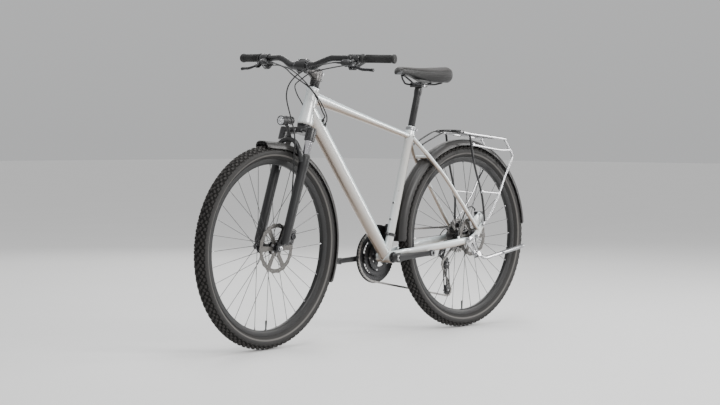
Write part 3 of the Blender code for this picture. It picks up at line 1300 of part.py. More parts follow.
def make_rack(looks):
    """Bent tubes: a platform hoop with legs, side rails, struts and front stays."""
    finish = looks["alloy"]
    r = RACK_TUBE_R
    parts = []
    foot_y = REAR_SPACING / 2 + DROPOUT_THICK + GAP + RACK_TUBE_R
    top_y = 0.0620
    hoop = [(RACK_EYE[0], foot_y, RACK_EYE[1]), (-0.052, foot_y, 0.426), (-0.083, 0.077, 0.452),
            (-0.144, 0.070, 0.527), (-0.178, 0.067, 0.587), (-0.208, 0.064, 0.630),
            (-0.236, top_y, 0.672), (-0.239, top_y, 0.686), (-0.232, top_y, 0.700),
            (-0.208, top_y, 0.728), (-0.190, top_y, 0.749), (-0.176, top_y, 0.7545),
            (0.020, top_y, 0.7725), (0.082, top_y, 0.7815), (0.098, 0.0520, 0.7835),
            (0.103, 0.0, 0.7845)]
    path = [Vector(p) for p in hoop] + [mirrored(p, -1) for p in reversed(hoop[:-1])]
    parts.append(sweep("hoop", path, r, r, finish, sides=5, across=Vector((0.15, 0.2, 1))))
    for _, side in SIDES:
        near, far = sorted((side * (foot_y - r), side * (foot_y - r + 0.0040)))
        parts.append(plate("foot", capsule(RACK_EYE, (-0.052, 0.428), 0.0085, 0.0060, 2), near, far,
                           finish))
        leg = [(-0.046, foot_y, 0.420), (-0.036, 0.071, 0.530), (0.004, 0.0655, 0.650),
               (0.030, top_y, 0.773)]
        parts.append(sweep("leg", [mirrored(p, side) for p in leg], r * 0.9, r * 0.9, finish,
                           sides=5, across=FORWARD))
        rail = [(0.013, top_y + 0.001, 0.7300), (-0.150, top_y + 0.001, 0.7095),
                (-0.222, top_y, 0.7080)]
        parts.append(sweep("rail", [mirrored(p, side) for p in rail], r * 0.9, r * 0.9, finish,
                           sides=5, across=UP))
        strut = [(-0.034, 0.0705, 0.5420), (-0.148, 0.0698, 0.5330)]
        parts.append(sweep("strut", [mirrored(p, side) for p in strut], r * 0.8, r * 0.8, finish,
                           sides=5, across=UP))
        end = Vector(STAY_BEND_HIGH).lerp(Vector(STAY_BEND_LOW), 0.45) + RACK_STAY_OUT * (
            SEATSTAY_R + GAP)
        stay = [(0.100, 0.0300, 0.7830), (0.150, 0.0300, 0.7790), end + RACK_STAY_OUT * 0.012, end]
        parts.append(sweep("stay", [mirrored(p, side) for p in stay], 0.0050, 0.0022, finish,
                           sides=4, across=LEFT))
    for x, z in ((0.030, 0.7735), (-0.060, 0.7652), (-0.150, 0.7569)):
        parts.append(rod("bar", (x, -top_y, z), (x, top_y, z), r * 0.8, finish, 5))
    parts.append(sweep("spine", [(0.103, 0, 0.7845), (-0.150, 0, 0.7569)], 0.0125, 0.0014, finish,
                       across=LEFT, square=True))
    return attach(fuse("rear_rack", parts, (), finish), "bike")


STAND_PIVOT = Vector((0.012, 0.0945, 0.2960))
STAND_AXIS = Vector((-0.02, -0.954, -0.299)).normalized()


def make_kickstand(looks):
    alloy = looks["alloy"]
    stay_face = 0.0772 + GAP
    plate_shape = [(0.070, 0.362), (0.028, 0.364), (-0.002, 0.312), (-0.004, 0.288),
                   (0.014, 0.280), (0.030, 0.300), (0.060, 0.330)]
    web = plate("web", plate_shape, stay_face, stay_face + 0.0060, alloy)
    lug = rod("lug", STAND_PIVOT + STAND_AXIS * 0.0160, STAND_PIVOT + STAND_AXIS * 0.0065, 0.0135,
              alloy, 12)
    pin = rod("pin", STAND_PIVOT + STAND_AXIS * 0.0110, STAND_PIVOT - STAND_AXIS * 0.0090,
              STAND_PIN_R, alloy, 8)
    attach(fuse("kickstand_bracket", [web, lug, pin], (), alloy), "bike")
    eye = rod("eye", STAND_PIVOT + STAND_AXIS * 0.0060, STAND_PIVOT - STAND_AXIS * 0.0080, 0.0125,
              alloy, 12)
    path = [STAND_PIVOT + Vector((-0.008, 0.006, -0.006)), (-0.018, 0.0985, 0.2810),
            (-0.045, 0.0970, 0.2805), (-0.140, 0.0980, 0.2955), (-0.270, 0.1000, 0.3180)]
    radii = (0.0050, 0.0070, STAND_LEG_R, STAND_LEG_R, STAND_LEG_R)
    leg = sweep("leg", path, radii, radii, alloy, sides=8)
    hole = rod("hole", STAND_PIVOT + STAND_AXIS * 0.03, STAND_PIVOT - STAND_AXIS * 0.03,
               (STAND_PIN_R + GAP) / math.cos(math.pi / 8), None, 8)
    attach(fuse("kickstand_leg", [eye, leg], [hole], alloy), "kickstand")


# Seat
RAIL_R = 0.0035
RAIL_HALF_SPREAD = 0.0220


def rail_height():
    return seat_point(POST_EXPOSED).z + 0.0130


def make_seatpost(looks):
    finish = looks["black"]
    top = seat_point(POST_EXPOSED)
    foot = seat_point(-POST_INSERTED)
    post = turned("post", [(0, 0), (SEATPOST_R, 0), (SEATPOST_R, POST_EXPOSED + POST_INSERTED - 0.03),
                           (SEATPOST_R + 0.002, POST_EXPOSED + POST_INSERTED - 0.014),
                           (SEATPOST_R + 0.001, POST_EXPOSED + POST_INSERTED),
                           (0, POST_EXPOSED + POST_INSERTED)], foot, SEAT_UP, finish, POST_SIDES)
    z = rail_height()
    half = RAIL_HALF_SPREAD + 0.0075
    low = box("cradle_low", (top.x - 0.020, -half, z - 0.0115), (top.x + 0.020, half, z), finish)
    high = box("cradle_high", (top.x - 0.018, -half, z - 0.001), (top.x + 0.018, half, z + 0.0075),
               finish)
    grooves = []
    for _, side in SIDES:
        y = side * RAIL_HALF_SPREAD
        grooves.append(rod("groove", (top.x - 0.06, y, z), (top.x + 0.06, y, z), RAIL_R + GAP, None,
                           12))
    return attach(fuse("seatpost", [post, low, high], grooves, finish), "seatpost")


def saddle_base_x():
    """The saddle's middle, a little behind the middle of its clamp."""
    return seat_point(POST_EXPOSED).x - 0.004


def make_saddle(looks):
    x0 = saddle_base_x()
    z0 = rail_height()
    nose = x0 + SADDLE_LENGTH / 2
    half = [(x0 - 0.100, 0.0290, z0 + 0.0078), (x0 - 0.078, 0.0250, z0 + 0.0030),
            (x0 - 0.052, RAIL_HALF_SPREAD, z0), (x0 + 0.045, RAIL_HALF_SPREAD, z0),
            (x0 + 0.072, 0.0180, z0 + 0.0120), (nose - 0.0420, 0.0080, z0 + 0.0300),
            (nose - 0.0380, 0.0, z0 + 0.0304)]
    path = [Vector(p) for p in half] + [mirrored(p, -1) for p in reversed(half[:-1])]
    rails = sweep("saddle_rails", path, RAIL_R, RAIL_R, looks["steel"], sides=6, across=UP)
    attach(rails, "saddle")
    attach(saddle_shell(looks["saddle"], x0, z0), "saddle")


def saddle_half_width(t):
    """Half width at a share t of the way from the nose to the tail."""
    flare = 1.0 / (1.0 + math.exp(-(t - 0.60) * 13.0))
    body = 0.0205 + 0.010 * t + (SADDLE_WIDTH / 2 - 0.0305) * flare
    front = math.sqrt(max(0.0, 1.0 - (1.0 - min(1.0, t / 0.09)) ** 2))
    rear = math.sqrt(max(0.0, 1.0 - max(0.0, (t - 0.86) / 0.14) ** 2.4))
    return max(0.004, body * front * rear)


def saddle_shell(finish, x0, z0):
    """The padded top and its base as one crowned form with drawn-in sides."""
    rows, columns = 20, 16
    nose = x0 + SADDLE_LENGTH / 2
    rings = []
    for i in range(rows + 1):
        t = i / rows
        x = nose - SADDLE_LENGTH * t
        half = saddle_half_width(t)
        top = z0 + SADDLE_TOP - 0.0030 * math.sin(math.pi * min(1.0, t * 1.25)) + 0.0080 * t**2.2
        top -= 0.0200 * max(0.0, 1 - t / 0.10) ** 2
        top -= 0.0160 * max(0.0, (t - 0.90) / 0.10) ** 2
        sag = min(1.0, max(0.0, (t - 0.12) / 0.62))
        low = z0 + SADDLE_NOSE_FLOOR - SADDLE_SKIRT_DROP * sag * sag * (3 - 2 * sag)
        low += 0.0200 * max(0.0, (t - 0.92) / 0.08) ** 2
        middle = (top + low) / 2
        tall = (top - low) / 2
        ring = []
        for k in range(columns):
            angle = 2 * math.pi * k / columns
            c, s = math.cos(angle), math.sin(angle)
            across = math.copysign(abs(c) ** 0.75, c)
            up = math.copysign(abs(s) ** (0.80 if s > 0 else 0.55), s)
            pull = 1.0 if s >= 0 else 1.0 - 0.16 * abs(s)
            dip = 0.0030 * max(0.0, 1.0 - (abs(c) / 0.45) ** 2) if s > 0 and 0.35 < t < 0.97 else 0.0
            z = middle + tall * up - dip
            if s < 0 and abs(c) < 0.6:
                z = max(z, z0 + SADDLE_HOLLOW - 0.0130 * t**2)
            ring.append((x, half * across * pull, z))
        rings.append(ring)
    return mesh_object("saddle", skin(rings), finish)


# Light and lines
def make_headlight(looks):
    finish = looks["plastic"]
    lamp = steer_point(0.4570, 0.1000)
    back = lamp - FORWARD * 0.032
    profile = [(0, 0.0), (0.0110, 0.0), (0.0150, 0.006), (0.0165, 0.030), (0.0175, 0.060),
               (0.0175, 0.066), (0.0145, 0.066), (0, 0.060)]
    body = turned("body", profile, back, FORWARD, finish, 12)
    root = steer_point(LOWER_TOP + ARCH_RISE + ARCH_HALF + GAP, ARCH_AHEAD)
    stalk = sweep("stalk", [root, root + STEER_UP * 0.010 + STEER_FRONT * 0.008,
                            back + FORWARD * 0.030 - UP * 0.012], (0.0090, 0.0080, 0.0060),
                  (0.0025, 0.0025, 0.0040), finish, sides=8)
    return attach(fuse("headlight", [body, stalk], (), finish), "fork_lowers")


def straight_out(start, heading, reach=0.026):
    """A line's first points, straight out of its socket."""
    return [start + heading * GAP, start + heading * 0.008, start + heading * reach]


def make_lines(looks):
    """The hose to the front brake and the three lines into the down tube."""
    rubber = looks["rubber"]
    outwards = {side: bar_line(side)[1] for _, side in SIDES}
    inside = LEG_SPREAD - LOWER_TOP_R - HOSE_R - 0.0012
    front = straight_out(cylinder_end(1), -outwards[1], 0.030)
    front += [steer_point(0.660, 0.125, 0.120), steer_point(0.648, 0.140, 0.085),
              steer_point(0.622, 0.152, 0.060), steer_point(0.604, 0.160, 0.046),
              steer_point(0.574, 0.168, 0.034), steer_point(0.545, 0.164, 0.026),
              steer_point(0.510, 0.150, 0.026), steer_point(0.440, 0.106, 0.038),
              steer_point(0.390, 0.0835, 0.0455),
              steer_point(0.350, 0.0750, 0.0460), steer_point(0.318, 0.0600, 0.0430),
              steer_point(0.280, 0.044, inside), steer_point(0.170, 0.014, inside + 0.001)]
    front += reversed(straight_out(steer_frame() @ Vector(FRONT_BANJO), STEER_UP))
    attach(hose("front_brake_hose", front, HOSE_R, rubber), "fork_lowers")
    port, out = port_end(1, 0)
    rear = [steered(p) for p in straight_out(cylinder_end(-1), -outwards[-1], 0.030)]
    rear += [steered(steer_point(0.655, 0.138, -0.070)), steered(steer_point(0.638, 0.146, -0.022)),
             steered(steer_point(0.612, 0.138, 0.018)), steer_point(0.594, 0.056, 0.043),
             steer_point(0.565, 0.004, 0.043), steer_point(0.535, -0.030, 0.043)]
    rear += reversed(straight_out(port + out * PORT_OUT, out, 0.020))
    attach(hose("rear_brake_hose", rear, HOSE_R, rubber), "bike")
    port, out = port_end(1, 1)
    shift = [steered(p) for p in straight_out(shifter_outlet(-1), -outwards[-1])]
    shift += [steered(steer_point(0.655, 0.128, -0.070)), steered(steer_point(0.640, 0.130, -0.012)),
              steered(steer_point(0.612, 0.098, 0.030)), steer_point(0.584, 0.040, 0.0500),
              steer_point(0.560, -0.006, 0.0510), steer_point(0.530, -0.046, 0.0490)]
    shift += reversed(straight_out(port + out * PORT_OUT, out, 0.020))
    attach(hose("rear_shift_cable", shift, CABLE_R, rubber), "bike")
    port, out = port_end(-1, 0)
    shift = [steered(p) for p in straight_out(shifter_outlet(1), -outwards[1])]
    shift += [steered(steer_point(0.642, 0.100, 0.070)), steered(steer_point(0.616, 0.092, 0.014)),
              steered(steer_point(0.600, 0.072, -0.026)), steer_point(0.582, 0.034, -0.043),
              steer_point(0.560, 0.000, -0.044), steer_point(0.532, -0.034, -0.043)]
    shift += reversed(straight_out(port + out * PORT_OUT, out, 0.020))
    attach(hose("front_shift_cable", shift, CABLE_R, rubber), "bike")


def shifter_outlet(side):
    """Where the shift cable leaves the shifter's inner end."""
    heading, ahead, above = lever_axes(side)
    return bar_point(GRIP_LENGTH, side) - heading * 0.050 + ahead * 0.018 - above * 0.020


# The whole bike
def make_carriers():
    carrier("bike", (0, 0, 0))
    carrier("rear_wheel", REAR_AXLE, "bike")
    carrier("cassette", REAR_AXLE, "bike")
    carrier("crankset", BRACKET, "bike")
    carrier("kickstand", STAND_PIVOT, "bike")
    carrier("front_derailleur", (0.394, -0.040, 0.413), "bike")
    carrier("rear_derailleur_link", KNUCKLE_TOP, "bike")
    carrier("rear_derailleur_knuckle", KNUCKLE_LOW, "rear_derailleur_link")
    carrier("rear_derailleur_cage", cage_pivot(), "rear_derailleur_knuckle")
    carrier("guide_pulley", GUIDE_PULLEY, "rear_derailleur_cage")
    carrier("tension_pulley", TENSION_PULLEY, "rear_derailleur_cage")
    carrier("seatpost", SEAT_TOP, "bike")
    carrier("saddle", (seat_point(POST_EXPOSED).x, 0, rail_height()), "seatpost")
    turn = Quaternion(STEER_UP, math.radians(STEERED_AT_REST))
    carrier("steering", STEER_BASE, "bike", turn)
    carrier("fork_lowers", STEER_BASE, "steering")
    carrier("front_wheel", FRONT_AXLE, "fork_lowers")
    for word, side in SIDES:
        carrier("brake_lever_" + word, lever_pivot(side), "steering")
        carrier("shift_lever_" + word, shift_pivot(side), "steering")


def main():
    for obj in list(bpy.data.objects):
        bpy.data.objects.remove(obj, do_unlink=True)
    looks = make_materials()
    make_carriers()
    make_frame(looks)
    make_seat_clamp(looks)
    make_bottom_bracket(looks)
    make_headset(looks)
    make_fork_upper(looks)
    make_fork_lowers(looks)
    make_stem(looks)
    make_handlebar(looks)
    for word, side in SIDES:
        make_grip(word, side, looks)
        make_control(word, side, looks)
        make_levers(word, side, looks)
    make_wheel("rear", REAR_AXLE, REAR_SPACING, (0.033, -0.0165), (REAR_ROTOR_R, REAR_ROTOR_Y),
               "rear_wheel", looks)
    make_wheel("front", FRONT_AXLE, FRONT_SPACING, (0.022, -0.033), (FRONT_ROTOR_R, FRONT_ROTOR_Y),
               "front_wheel", looks)
    make_axle("rear_axle", REAR_AXLE, REAR_SPACING, DROPOUT_THICK, "bike", looks)
    make_axle("front_axle", FRONT_AXLE, FRONT_SPACING, FRONT_DROPOUT_THICK, "fork_lowers", looks)
    make_front_caliper(looks)
    make_rear_caliper(looks)
    make_chain(looks)
    make_chainrings(looks)
    make_crank_right(looks)
    make_crank_left(looks)
    make_cassette(looks)
    make_front_derailleur(looks)
    make_rear_derailleur(looks)
    make_mudguards(looks)
    make_rack(looks)
    make_kickstand(looks)
    make_seatpost(looks)
    make_saddle(looks)
    make_headlight(looks)
    make_lines(looks)


main()
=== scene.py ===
# %% [markdown]
# # A hybrid bike, dressed for the studio
#
# This lesson dresses a bicycle whose solids are already packed. The solids fix every place
# and every size. Each cell below makes one group of pieces with the finish of the real thing:
# round tubes with weld beads, knobby tyres, laced spokes, a chain of real links, and so on.

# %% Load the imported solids
import json
import math

import bmesh
import bpy
from mathutils import Matrix, Quaternion, Vector
from mathutils.bvhtree import BVHTree

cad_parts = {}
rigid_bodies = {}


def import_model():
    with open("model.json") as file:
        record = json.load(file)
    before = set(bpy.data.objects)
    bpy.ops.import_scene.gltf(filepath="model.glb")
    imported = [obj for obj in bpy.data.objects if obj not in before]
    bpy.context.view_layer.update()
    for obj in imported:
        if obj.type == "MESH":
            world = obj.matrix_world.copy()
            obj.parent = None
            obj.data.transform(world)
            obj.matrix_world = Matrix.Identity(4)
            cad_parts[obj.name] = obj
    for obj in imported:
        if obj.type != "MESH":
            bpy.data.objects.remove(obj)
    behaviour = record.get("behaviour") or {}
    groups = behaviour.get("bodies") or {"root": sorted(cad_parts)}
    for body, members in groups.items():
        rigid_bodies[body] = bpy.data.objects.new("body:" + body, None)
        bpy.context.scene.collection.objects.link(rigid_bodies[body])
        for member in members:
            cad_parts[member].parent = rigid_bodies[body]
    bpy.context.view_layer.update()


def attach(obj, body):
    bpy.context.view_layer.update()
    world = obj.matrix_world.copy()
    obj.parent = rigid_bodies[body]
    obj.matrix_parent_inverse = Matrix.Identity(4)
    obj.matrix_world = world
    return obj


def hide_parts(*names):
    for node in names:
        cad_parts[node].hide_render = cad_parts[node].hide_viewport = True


for old in list(bpy.data.objects):
    bpy.data.objects.remove(old, do_unlink=True)
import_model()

# %% [markdown]
# ## Where things are
#
# A bicycle is measured from its rear axle, so this lesson does the same: X runs forward from
# the rear axle, Y runs to the rider's left and Z runs up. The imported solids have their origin
# under the middle of the bike, so each finished mesh is shifted back by one fixed length.
# The bar stands a little turned to the left. Steered pieces are drawn straight ahead, because
# that is how their sizes are known, and are turned about the steering axis when they are done.

# %% Main points and axes
ORIGIN_BACK = 0.527
WHEEL_R = 0.365
WHEELBASE = 1.071
GAP = 0.0003
LEFT = Vector((0, 1, 0))
UP = Vector((0, 0, 1))
FORWARD = Vector((1, 0, 0))
SIDES = (("left", 1), ("right", -1))

head_angle = math.radians(71.7)
seat_angle = math.radians(74.3)
STEER_UP = Vector((-math.cos(head_angle), 0, math.sin(head_angle)))
STEER_FRONT = Vector((math.sin(head_angle), 0, math.cos(head_angle)))
SEAT_UP = Vector((-math.cos(seat_angle), 0, math.sin(seat_angle)))
SEAT_FRONT = Vector((math.sin(seat_angle), 0, math.cos(seat_angle)))
REAR_AXLE = Vector((0, 0, WHEEL_R))
FRONT_AXLE = Vector((WHEELBASE, 0, WHEEL_R))
STEER_BASE = FRONT_AXLE - STEER_FRONT * 0.040
BRACKET = Vector((0.448, 0, 0.3005))
SEAT_TOP = BRACKET + SEAT_UP * 0.518
BAR_TURN = Quaternion(STEER_UP, math.radians(5.75))


def steer_point(along, ahead=0.0, side=0.0):
    """A point by its distance up the steering axis, ahead of it and to its left."""
    return STEER_BASE + STEER_UP * along + STEER_FRONT * ahead + LEFT * side


def steered(point):
    """Where a point of the steered parts lies with the bar turned."""
    return STEER_BASE + BAR_TURN @ (Vector(point) - STEER_BASE)


def seat_point(along, ahead=0.0, side=0.0):
    """A point by its distance above the seat tube's top, ahead of the tube and to its left."""
    return SEAT_TOP + SEAT_UP * along + SEAT_FRONT * ahead + LEFT * side


def mirrored(point, side):
    return Vector((point[0], point[1] * side, point[2]))


print("steering axis leans", round(90 - math.degrees(head_angle), 1), "degrees back")

# %% [markdown]
# ## A workbench for meshes
#
# Most of a bicycle is swept, turned or cut from plate. One small class holds a piece while it
# is made: it collects those shapes in one mesh, remembers which finish each face has, and in
# the end moves the mesh to its place and hands it to the body that carries it.

# %% Curves and outlines
def smooth_route(points, steps):
    """Close points on a smooth curve through the given ones."""
    route = [Vector(p) for p in points]
    padded = [route[0] * 2 - route[1], *route, route[-1] * 2 - route[-2]]
    result = []
    for i in range(1, len(padded) - 2):
        a, b, c, d = padded[i - 1 : i + 3]
        for k in range(steps):
            t = k / steps
            result.append(
                0.5 * (2 * b + (c - a) * t + (2 * a - 5 * b + 4 * c - d) * t**2
                       + (3 * b - 3 * c + d - a) * t**3)
            )
    result.append(route[-1])
    return result


def smooth_values(values, steps):
    """The same for a list of sizes along the route."""
    spots = smooth_route([Vector((v, 0, 0)) for v in values], steps)
    return [spot.x for spot in spots]


def arc(centre, radius, start, end, steps):
    """Points on an arc as (u, v) pairs, with angles in degrees."""
    points = []
    for i in range(steps + 1):
        angle = math.radians(start + (end - start) * i / steps)
        points.append((centre[0] + radius * math.cos(angle), centre[1] + radius * math.sin(angle)))
    return points


def ring_of_points(centre, radius, count, start=0.0):
    return arc(centre, radius, start, start + 360 - 360 / count, count - 1)


def capsule(start, end, start_r, end_r, steps=10):
    """The outline round two discs."""
    heading = math.degrees(math.atan2(end[1] - start[1], end[0] - start[0]))
    back = arc(start, start_r, heading + 90, heading + 270, steps)
    return back + arc(end, end_r, heading - 90, heading + 90, steps)


def polar(centre, radius, angle):
    turn = math.radians(angle)
    return (centre[0] + radius * math.cos(turn), centre[1] + radius * math.sin(turn))


SIDE_VIEW = Matrix(((1, 0, 0, 0), (0, 0, 1, 0), (0, 1, 0, 0), (0, 0, 0, 1)))
STEER_VIEW = Matrix((STEER_FRONT, STEER_UP, LEFT)).transposed().to_4x4()
STEER_VIEW.translation = STEER_BASE
print("helpers for routes and outlines are ready")


# %% The piece in the making
class Piece:
    """One piece in the making: its mesh so far and the finishes on it."""

    def __init__(self, name):
        self.name = name
        self.mesh = bmesh.new()
        self.finishes = []

    def use(self, finish, faces):
        if finish not in self.finishes:
            self.finishes.append(finish)
        index = self.finishes.index(finish)
        for face in faces:
            face.material_index = index
            face.smooth = True

    def skin(self, rings, finish, looped=False, caps=True):
        """A skin over rings of points."""
        bm = self.mesh
        loops = [[bm.verts.new(point) for point in ring] for ring in rings]
        pairs = list(zip(loops, loops[1:]))
        if looped:
            pairs.append((loops[-1], loops[0]))
        faces = []
        for first, second in pairs:
            count = len(first)
            for i in range(count):
                j = (i + 1) % count
                faces.append(bm.faces.new((first[i], first[j], second[j], second[i])))
        if not looped and caps:
            faces.append(bm.faces.new(loops[0]))
            faces.append(bm.faces.new(list(reversed(loops[-1]))))
        bmesh.ops.recalc_face_normals(bm, faces=faces)
        self.use(finish, faces)
        return faces

    def tube(self, path, wide, finish, tall=None, sides=20, across=LEFT, looped=False, power=1.0):
        """A tube along a path; a power below 1 squares its section."""
        points = [Vector(p) for p in path]
        count = len(points)
        wides = list(wide) if isinstance(wide, (list, tuple)) else [wide] * count
        talls = wides if tall is None else tall
        talls = list(talls) if isinstance(talls, (list, tuple)) else [talls] * count
        rings = []
        for i, point in enumerate(points):
            before = points[i - 1] if (i > 0 or looped) else point
            after = points[(i + 1) % count] if (i < count - 1 or looped) else point
            tangent = (after - before).normalized()
            side = (across - tangent * tangent.dot(across)).normalized()
            top = tangent.cross(side)
            ring = []
            for k in range(sides):
                angle = 2 * math.pi * k / sides
                c, s = math.cos(angle), math.sin(angle)
                u = math.copysign(abs(c) ** power, c)
                v = math.copysign(abs(s) ** power, s)
                ring.append(point + side * (wides[i] * u) + top * (talls[i] * v))
            rings.append(ring)
        return self.skin(rings, finish, looped)

    def turned(self, profile, centre, axis, finish, steps=48, looped=False):
        """A turned shape. A profile point is a radius and a distance along the axis."""
        bm = self.mesh
        axis = Vector(axis).normalized()
        ref = -UP if abs(axis.z) < 0.9 else FORWARD
        first = (ref - axis * axis.dot(ref)).normalized()
        second = axis.cross(first)
        loops = []
        for radius, along in profile:
            middle = Vector(centre) + axis * along
            if radius < 1e-9:
                loops.append([bm.verts.new(middle)])
                continue
            loops.append([
                bm.verts.new(middle + first * (radius * math.cos(2 * math.pi * k / steps))
                             + second * (radius * math.sin(2 * math.pi * k / steps)))
                for k in range(steps)
            ])
        pairs = list(zip(loops, loops[1:]))
        if looped:
            pairs.append((loops[-1], loops[0]))
        faces = []
        for a, b in pairs:
            for k in range(steps):
                n = (k + 1) % steps
                if len(a) == 1 and len(b) == 1:
                    continue
                if len(a) == 1:
                    faces.append(bm.faces.new((a[0], b[n], b[k])))
                elif len(b) == 1:
                    faces.append(bm.faces.new((a[k], a[n], b[0])))
                else:
                    faces.append(bm.faces.new((a[k], a[n], b[n], b[k])))
        bmesh.ops.recalc_face_normals(bm, faces=faces)
        self.use(finish, faces)
        return faces

    def rod(self, start, end, radius, finish, steps=24, chamfer=0.0):
        """A round bar with chamfered ends."""
        start, end = Vector(start), Vector(end)
        length = (end - start).length
        c = chamfer
        if c > 0:
            profile = [(0, 0), (radius - c, 0), (radius, c), (radius, length - c),
                       (radius - c, length), (0, length)]
        else:
            profile = [(0, 0), (radius, 0), (radius, length), (0, length)]
        return self.turned(profile, start, end - start, finish, steps)

    def bush(self, start, end, outer, bore, finish, steps=40, chamfer=0.0006):
        """A round bar with a through bore and softened outer edges."""
        start, end = Vector(start), Vector(end)
        length = (end - start).length
        c = chamfer
        profile = [(outer - c, 0), (outer, c), (outer, length - c), (outer - c, length),
                   (bore, length), (bore, 0)]
        return self.turned(profile, start, end - start, finish, steps, looped=True)

    def plate(self, outline, near, far, finish, holes=(), view=SIDE_VIEW, chamfer=0.0):
        """A flat plate. Outline and holes are (u, v) points in the plane of the view."""
        work = bmesh.new()
        for loop in (outline, *holes):
            verts = [work.verts.new((u, v, near)) for u, v in loop]
            for i, vert in enumerate(verts):
                work.edges.new((vert, verts[(i + 1) % len(verts)]))
        bmesh.ops.triangle_fill(work, use_beauty=True, use_dissolve=False, edges=list(work.edges))
        grown = bmesh.ops.extrude_face_region(work, geom=list(work.faces))
        moved = [item for item in grown["geom"] if isinstance(item, bmesh.types.BMVert)]
        bmesh.ops.translate(work, verts=moved, vec=(0, 0, far - near))
        bmesh.ops.recalc_face_normals(work, faces=work.faces)
        return self.absorb(work, finish, view, chamfer)

    def block(self, low, high, finish, view=None, chamfer=0.001, segments=2):
        """A block between two corners, with rounded edges."""
        low, high = Vector(low), Vector(high)
        work = bmesh.new()
        bmesh.ops.create_cube(work, size=1.0)
        bmesh.ops.scale(work, vec=high - low, verts=work.verts)
        bmesh.ops.translate(work, vec=(low + high) / 2, verts=work.verts)
        return self.absorb(work, finish, view, chamfer, segments)

    def absorb(self, work, finish, view=None, chamfer=0.0, segments=2):
        """Takes a loose shape into the piece, chamfered and moved into view."""
        if chamfer > 0:
            sharp = [edge for edge in work.edges
                     if len(edge.link_faces) == 2 and edge.calc_face_angle(0) > math.radians(40)]
            bmesh.ops.bevel(work, geom=sharp, offset=chamfer, segments=segments, profile=0.5,
                            affect="EDGES", clamp_overlap=True)
        if view is not None:
            bmesh.ops.transform(work, matrix=view, verts=work.verts)
            if view.determinant() < 0:
                bmesh.ops.reverse_faces(work, faces=work.faces)
        bm = self.mesh
        copies = {vert: bm.verts.new(vert.co) for vert in work.verts}
        faces = [bm.faces.new([copies[v] for v in face.verts]) for face in work.faces]
        work.free()
        self.use(finish, faces)
        return faces

    def bolt(self, spot, axis, radius, finish, height=None, socket=True, steps=18):
        """A round bolt head with a hexagonal socket, standing on a face."""
        height = radius * 0.9 if height is None else height
        c = radius * 0.16
        profile = [(0, 0), (radius, 0), (radius, height - c), (radius - c, height)]
        if socket:
            profile += [(radius * 0.55, height), (radius * 0.50, height * 0.35),
                        (0, height * 0.35)]
        else:
            profile += [(0, height)]
        return self.turned(profile, spot, axis, finish, steps)

    def take(self, mesh, finish, matrix=None):
        """Adds a plain mesh, such as the result of a node tree."""
        work = bmesh.new()
        work.from_mesh(mesh)
        faces = self.absorb(work, finish, matrix)
        bpy.data.meshes.remove(mesh)
        return faces

    def done(self, body, slot, nodes=(), turned=False, angle=35):
        """Moves the piece to its place and puts it on its body."""
        bm = self.mesh
        if turned:
            bmesh.ops.transform(bm, matrix=TURNED, verts=bm.verts)
        bmesh.ops.translate(bm, vec=(-ORIGIN_BACK, 0, 0), verts=bm.verts)
        mesh = bpy.data.meshes.new(self.name)
        bm.to_mesh(mesh)
        bm.free()
        mesh.shade_smooth()
        mesh.set_sharp_from_angle(angle=math.radians(angle))
        for finish in self.finishes:
            mesh.materials.append(finish)
        obj = bpy.data.objects.new(self.name, mesh)
        bpy.context.scene.collection.objects.link(obj)
        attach(obj, body)
        if nodes:
            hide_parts(*nodes)
        print(self.name, len(mesh.polygons), "faces")
        return obj


TURNED = (Matrix.Translation(STEER_BASE) @ BAR_TURN.to_matrix().to_4x4()
          @ Matrix.Translation(-STEER_BASE))
print("a piece is drawn straight ahead and turned by", round(math.degrees(BAR_TURN.angle), 2),
      "degrees")

# %% [markdown]
# ## Finishes
#
# No real surface is one flat colour. Paint has flakes under its lacquer, rubber is chalky,
# machined steel keeps the lines of the tool, and everything is a little duller where dust
# settles. Effects that many finishes share are node groups, built once: each puts out a mask
# or a height, and the finish decides what to do with it.

# %% Node helpers
class Wiring:
    """Adds nodes to a tree and joins their sockets."""

    def __init__(self, tree):
        self.tree = tree

    def node(self, kind, inputs=None, **settings):
        made = self.tree.nodes.new(kind)
        for key, value in settings.items():
            setattr(made, key, value)
        for key, value in (inputs or {}).items():
            if isinstance(value, bpy.types.NodeSocket):
                self.tree.links.new(value, made.inputs[key])
            else:
                made.inputs[key].default_value = value
        return made

    def math(self, operation, first, second=0.0, clamp=False):
        return self.node("ShaderNodeMath", {0: first, 1: second}, operation=operation,
                         use_clamp=clamp).outputs[0]

    def mix(self, share, first, second):
        made = self.node("ShaderNodeMix", {0: share, 6: first, 7: second}, data_type="RGBA")
        return made.outputs[2]


def new_group(name, inputs, outputs, kind="ShaderNodeTree"):
    """A node group with named sockets; returns its wiring, inputs and output node."""
    tree = bpy.data.node_groups.new(name, kind)
    for label, socket_type, value in inputs:
        made = tree.interface.new_socket(label, in_out="INPUT", socket_type=socket_type)
        if value is not None:
            made.default_value = value
    for label, socket_type in outputs:
        tree.interface.new_socket(label, in_out="OUTPUT", socket_type=socket_type)
    wiring = Wiring(tree)
    return wiring, wiring.node("NodeGroupInput"), wiring.node("NodeGroupOutput")


NUMBER = "NodeSocketFloat"
print("node helpers are ready")


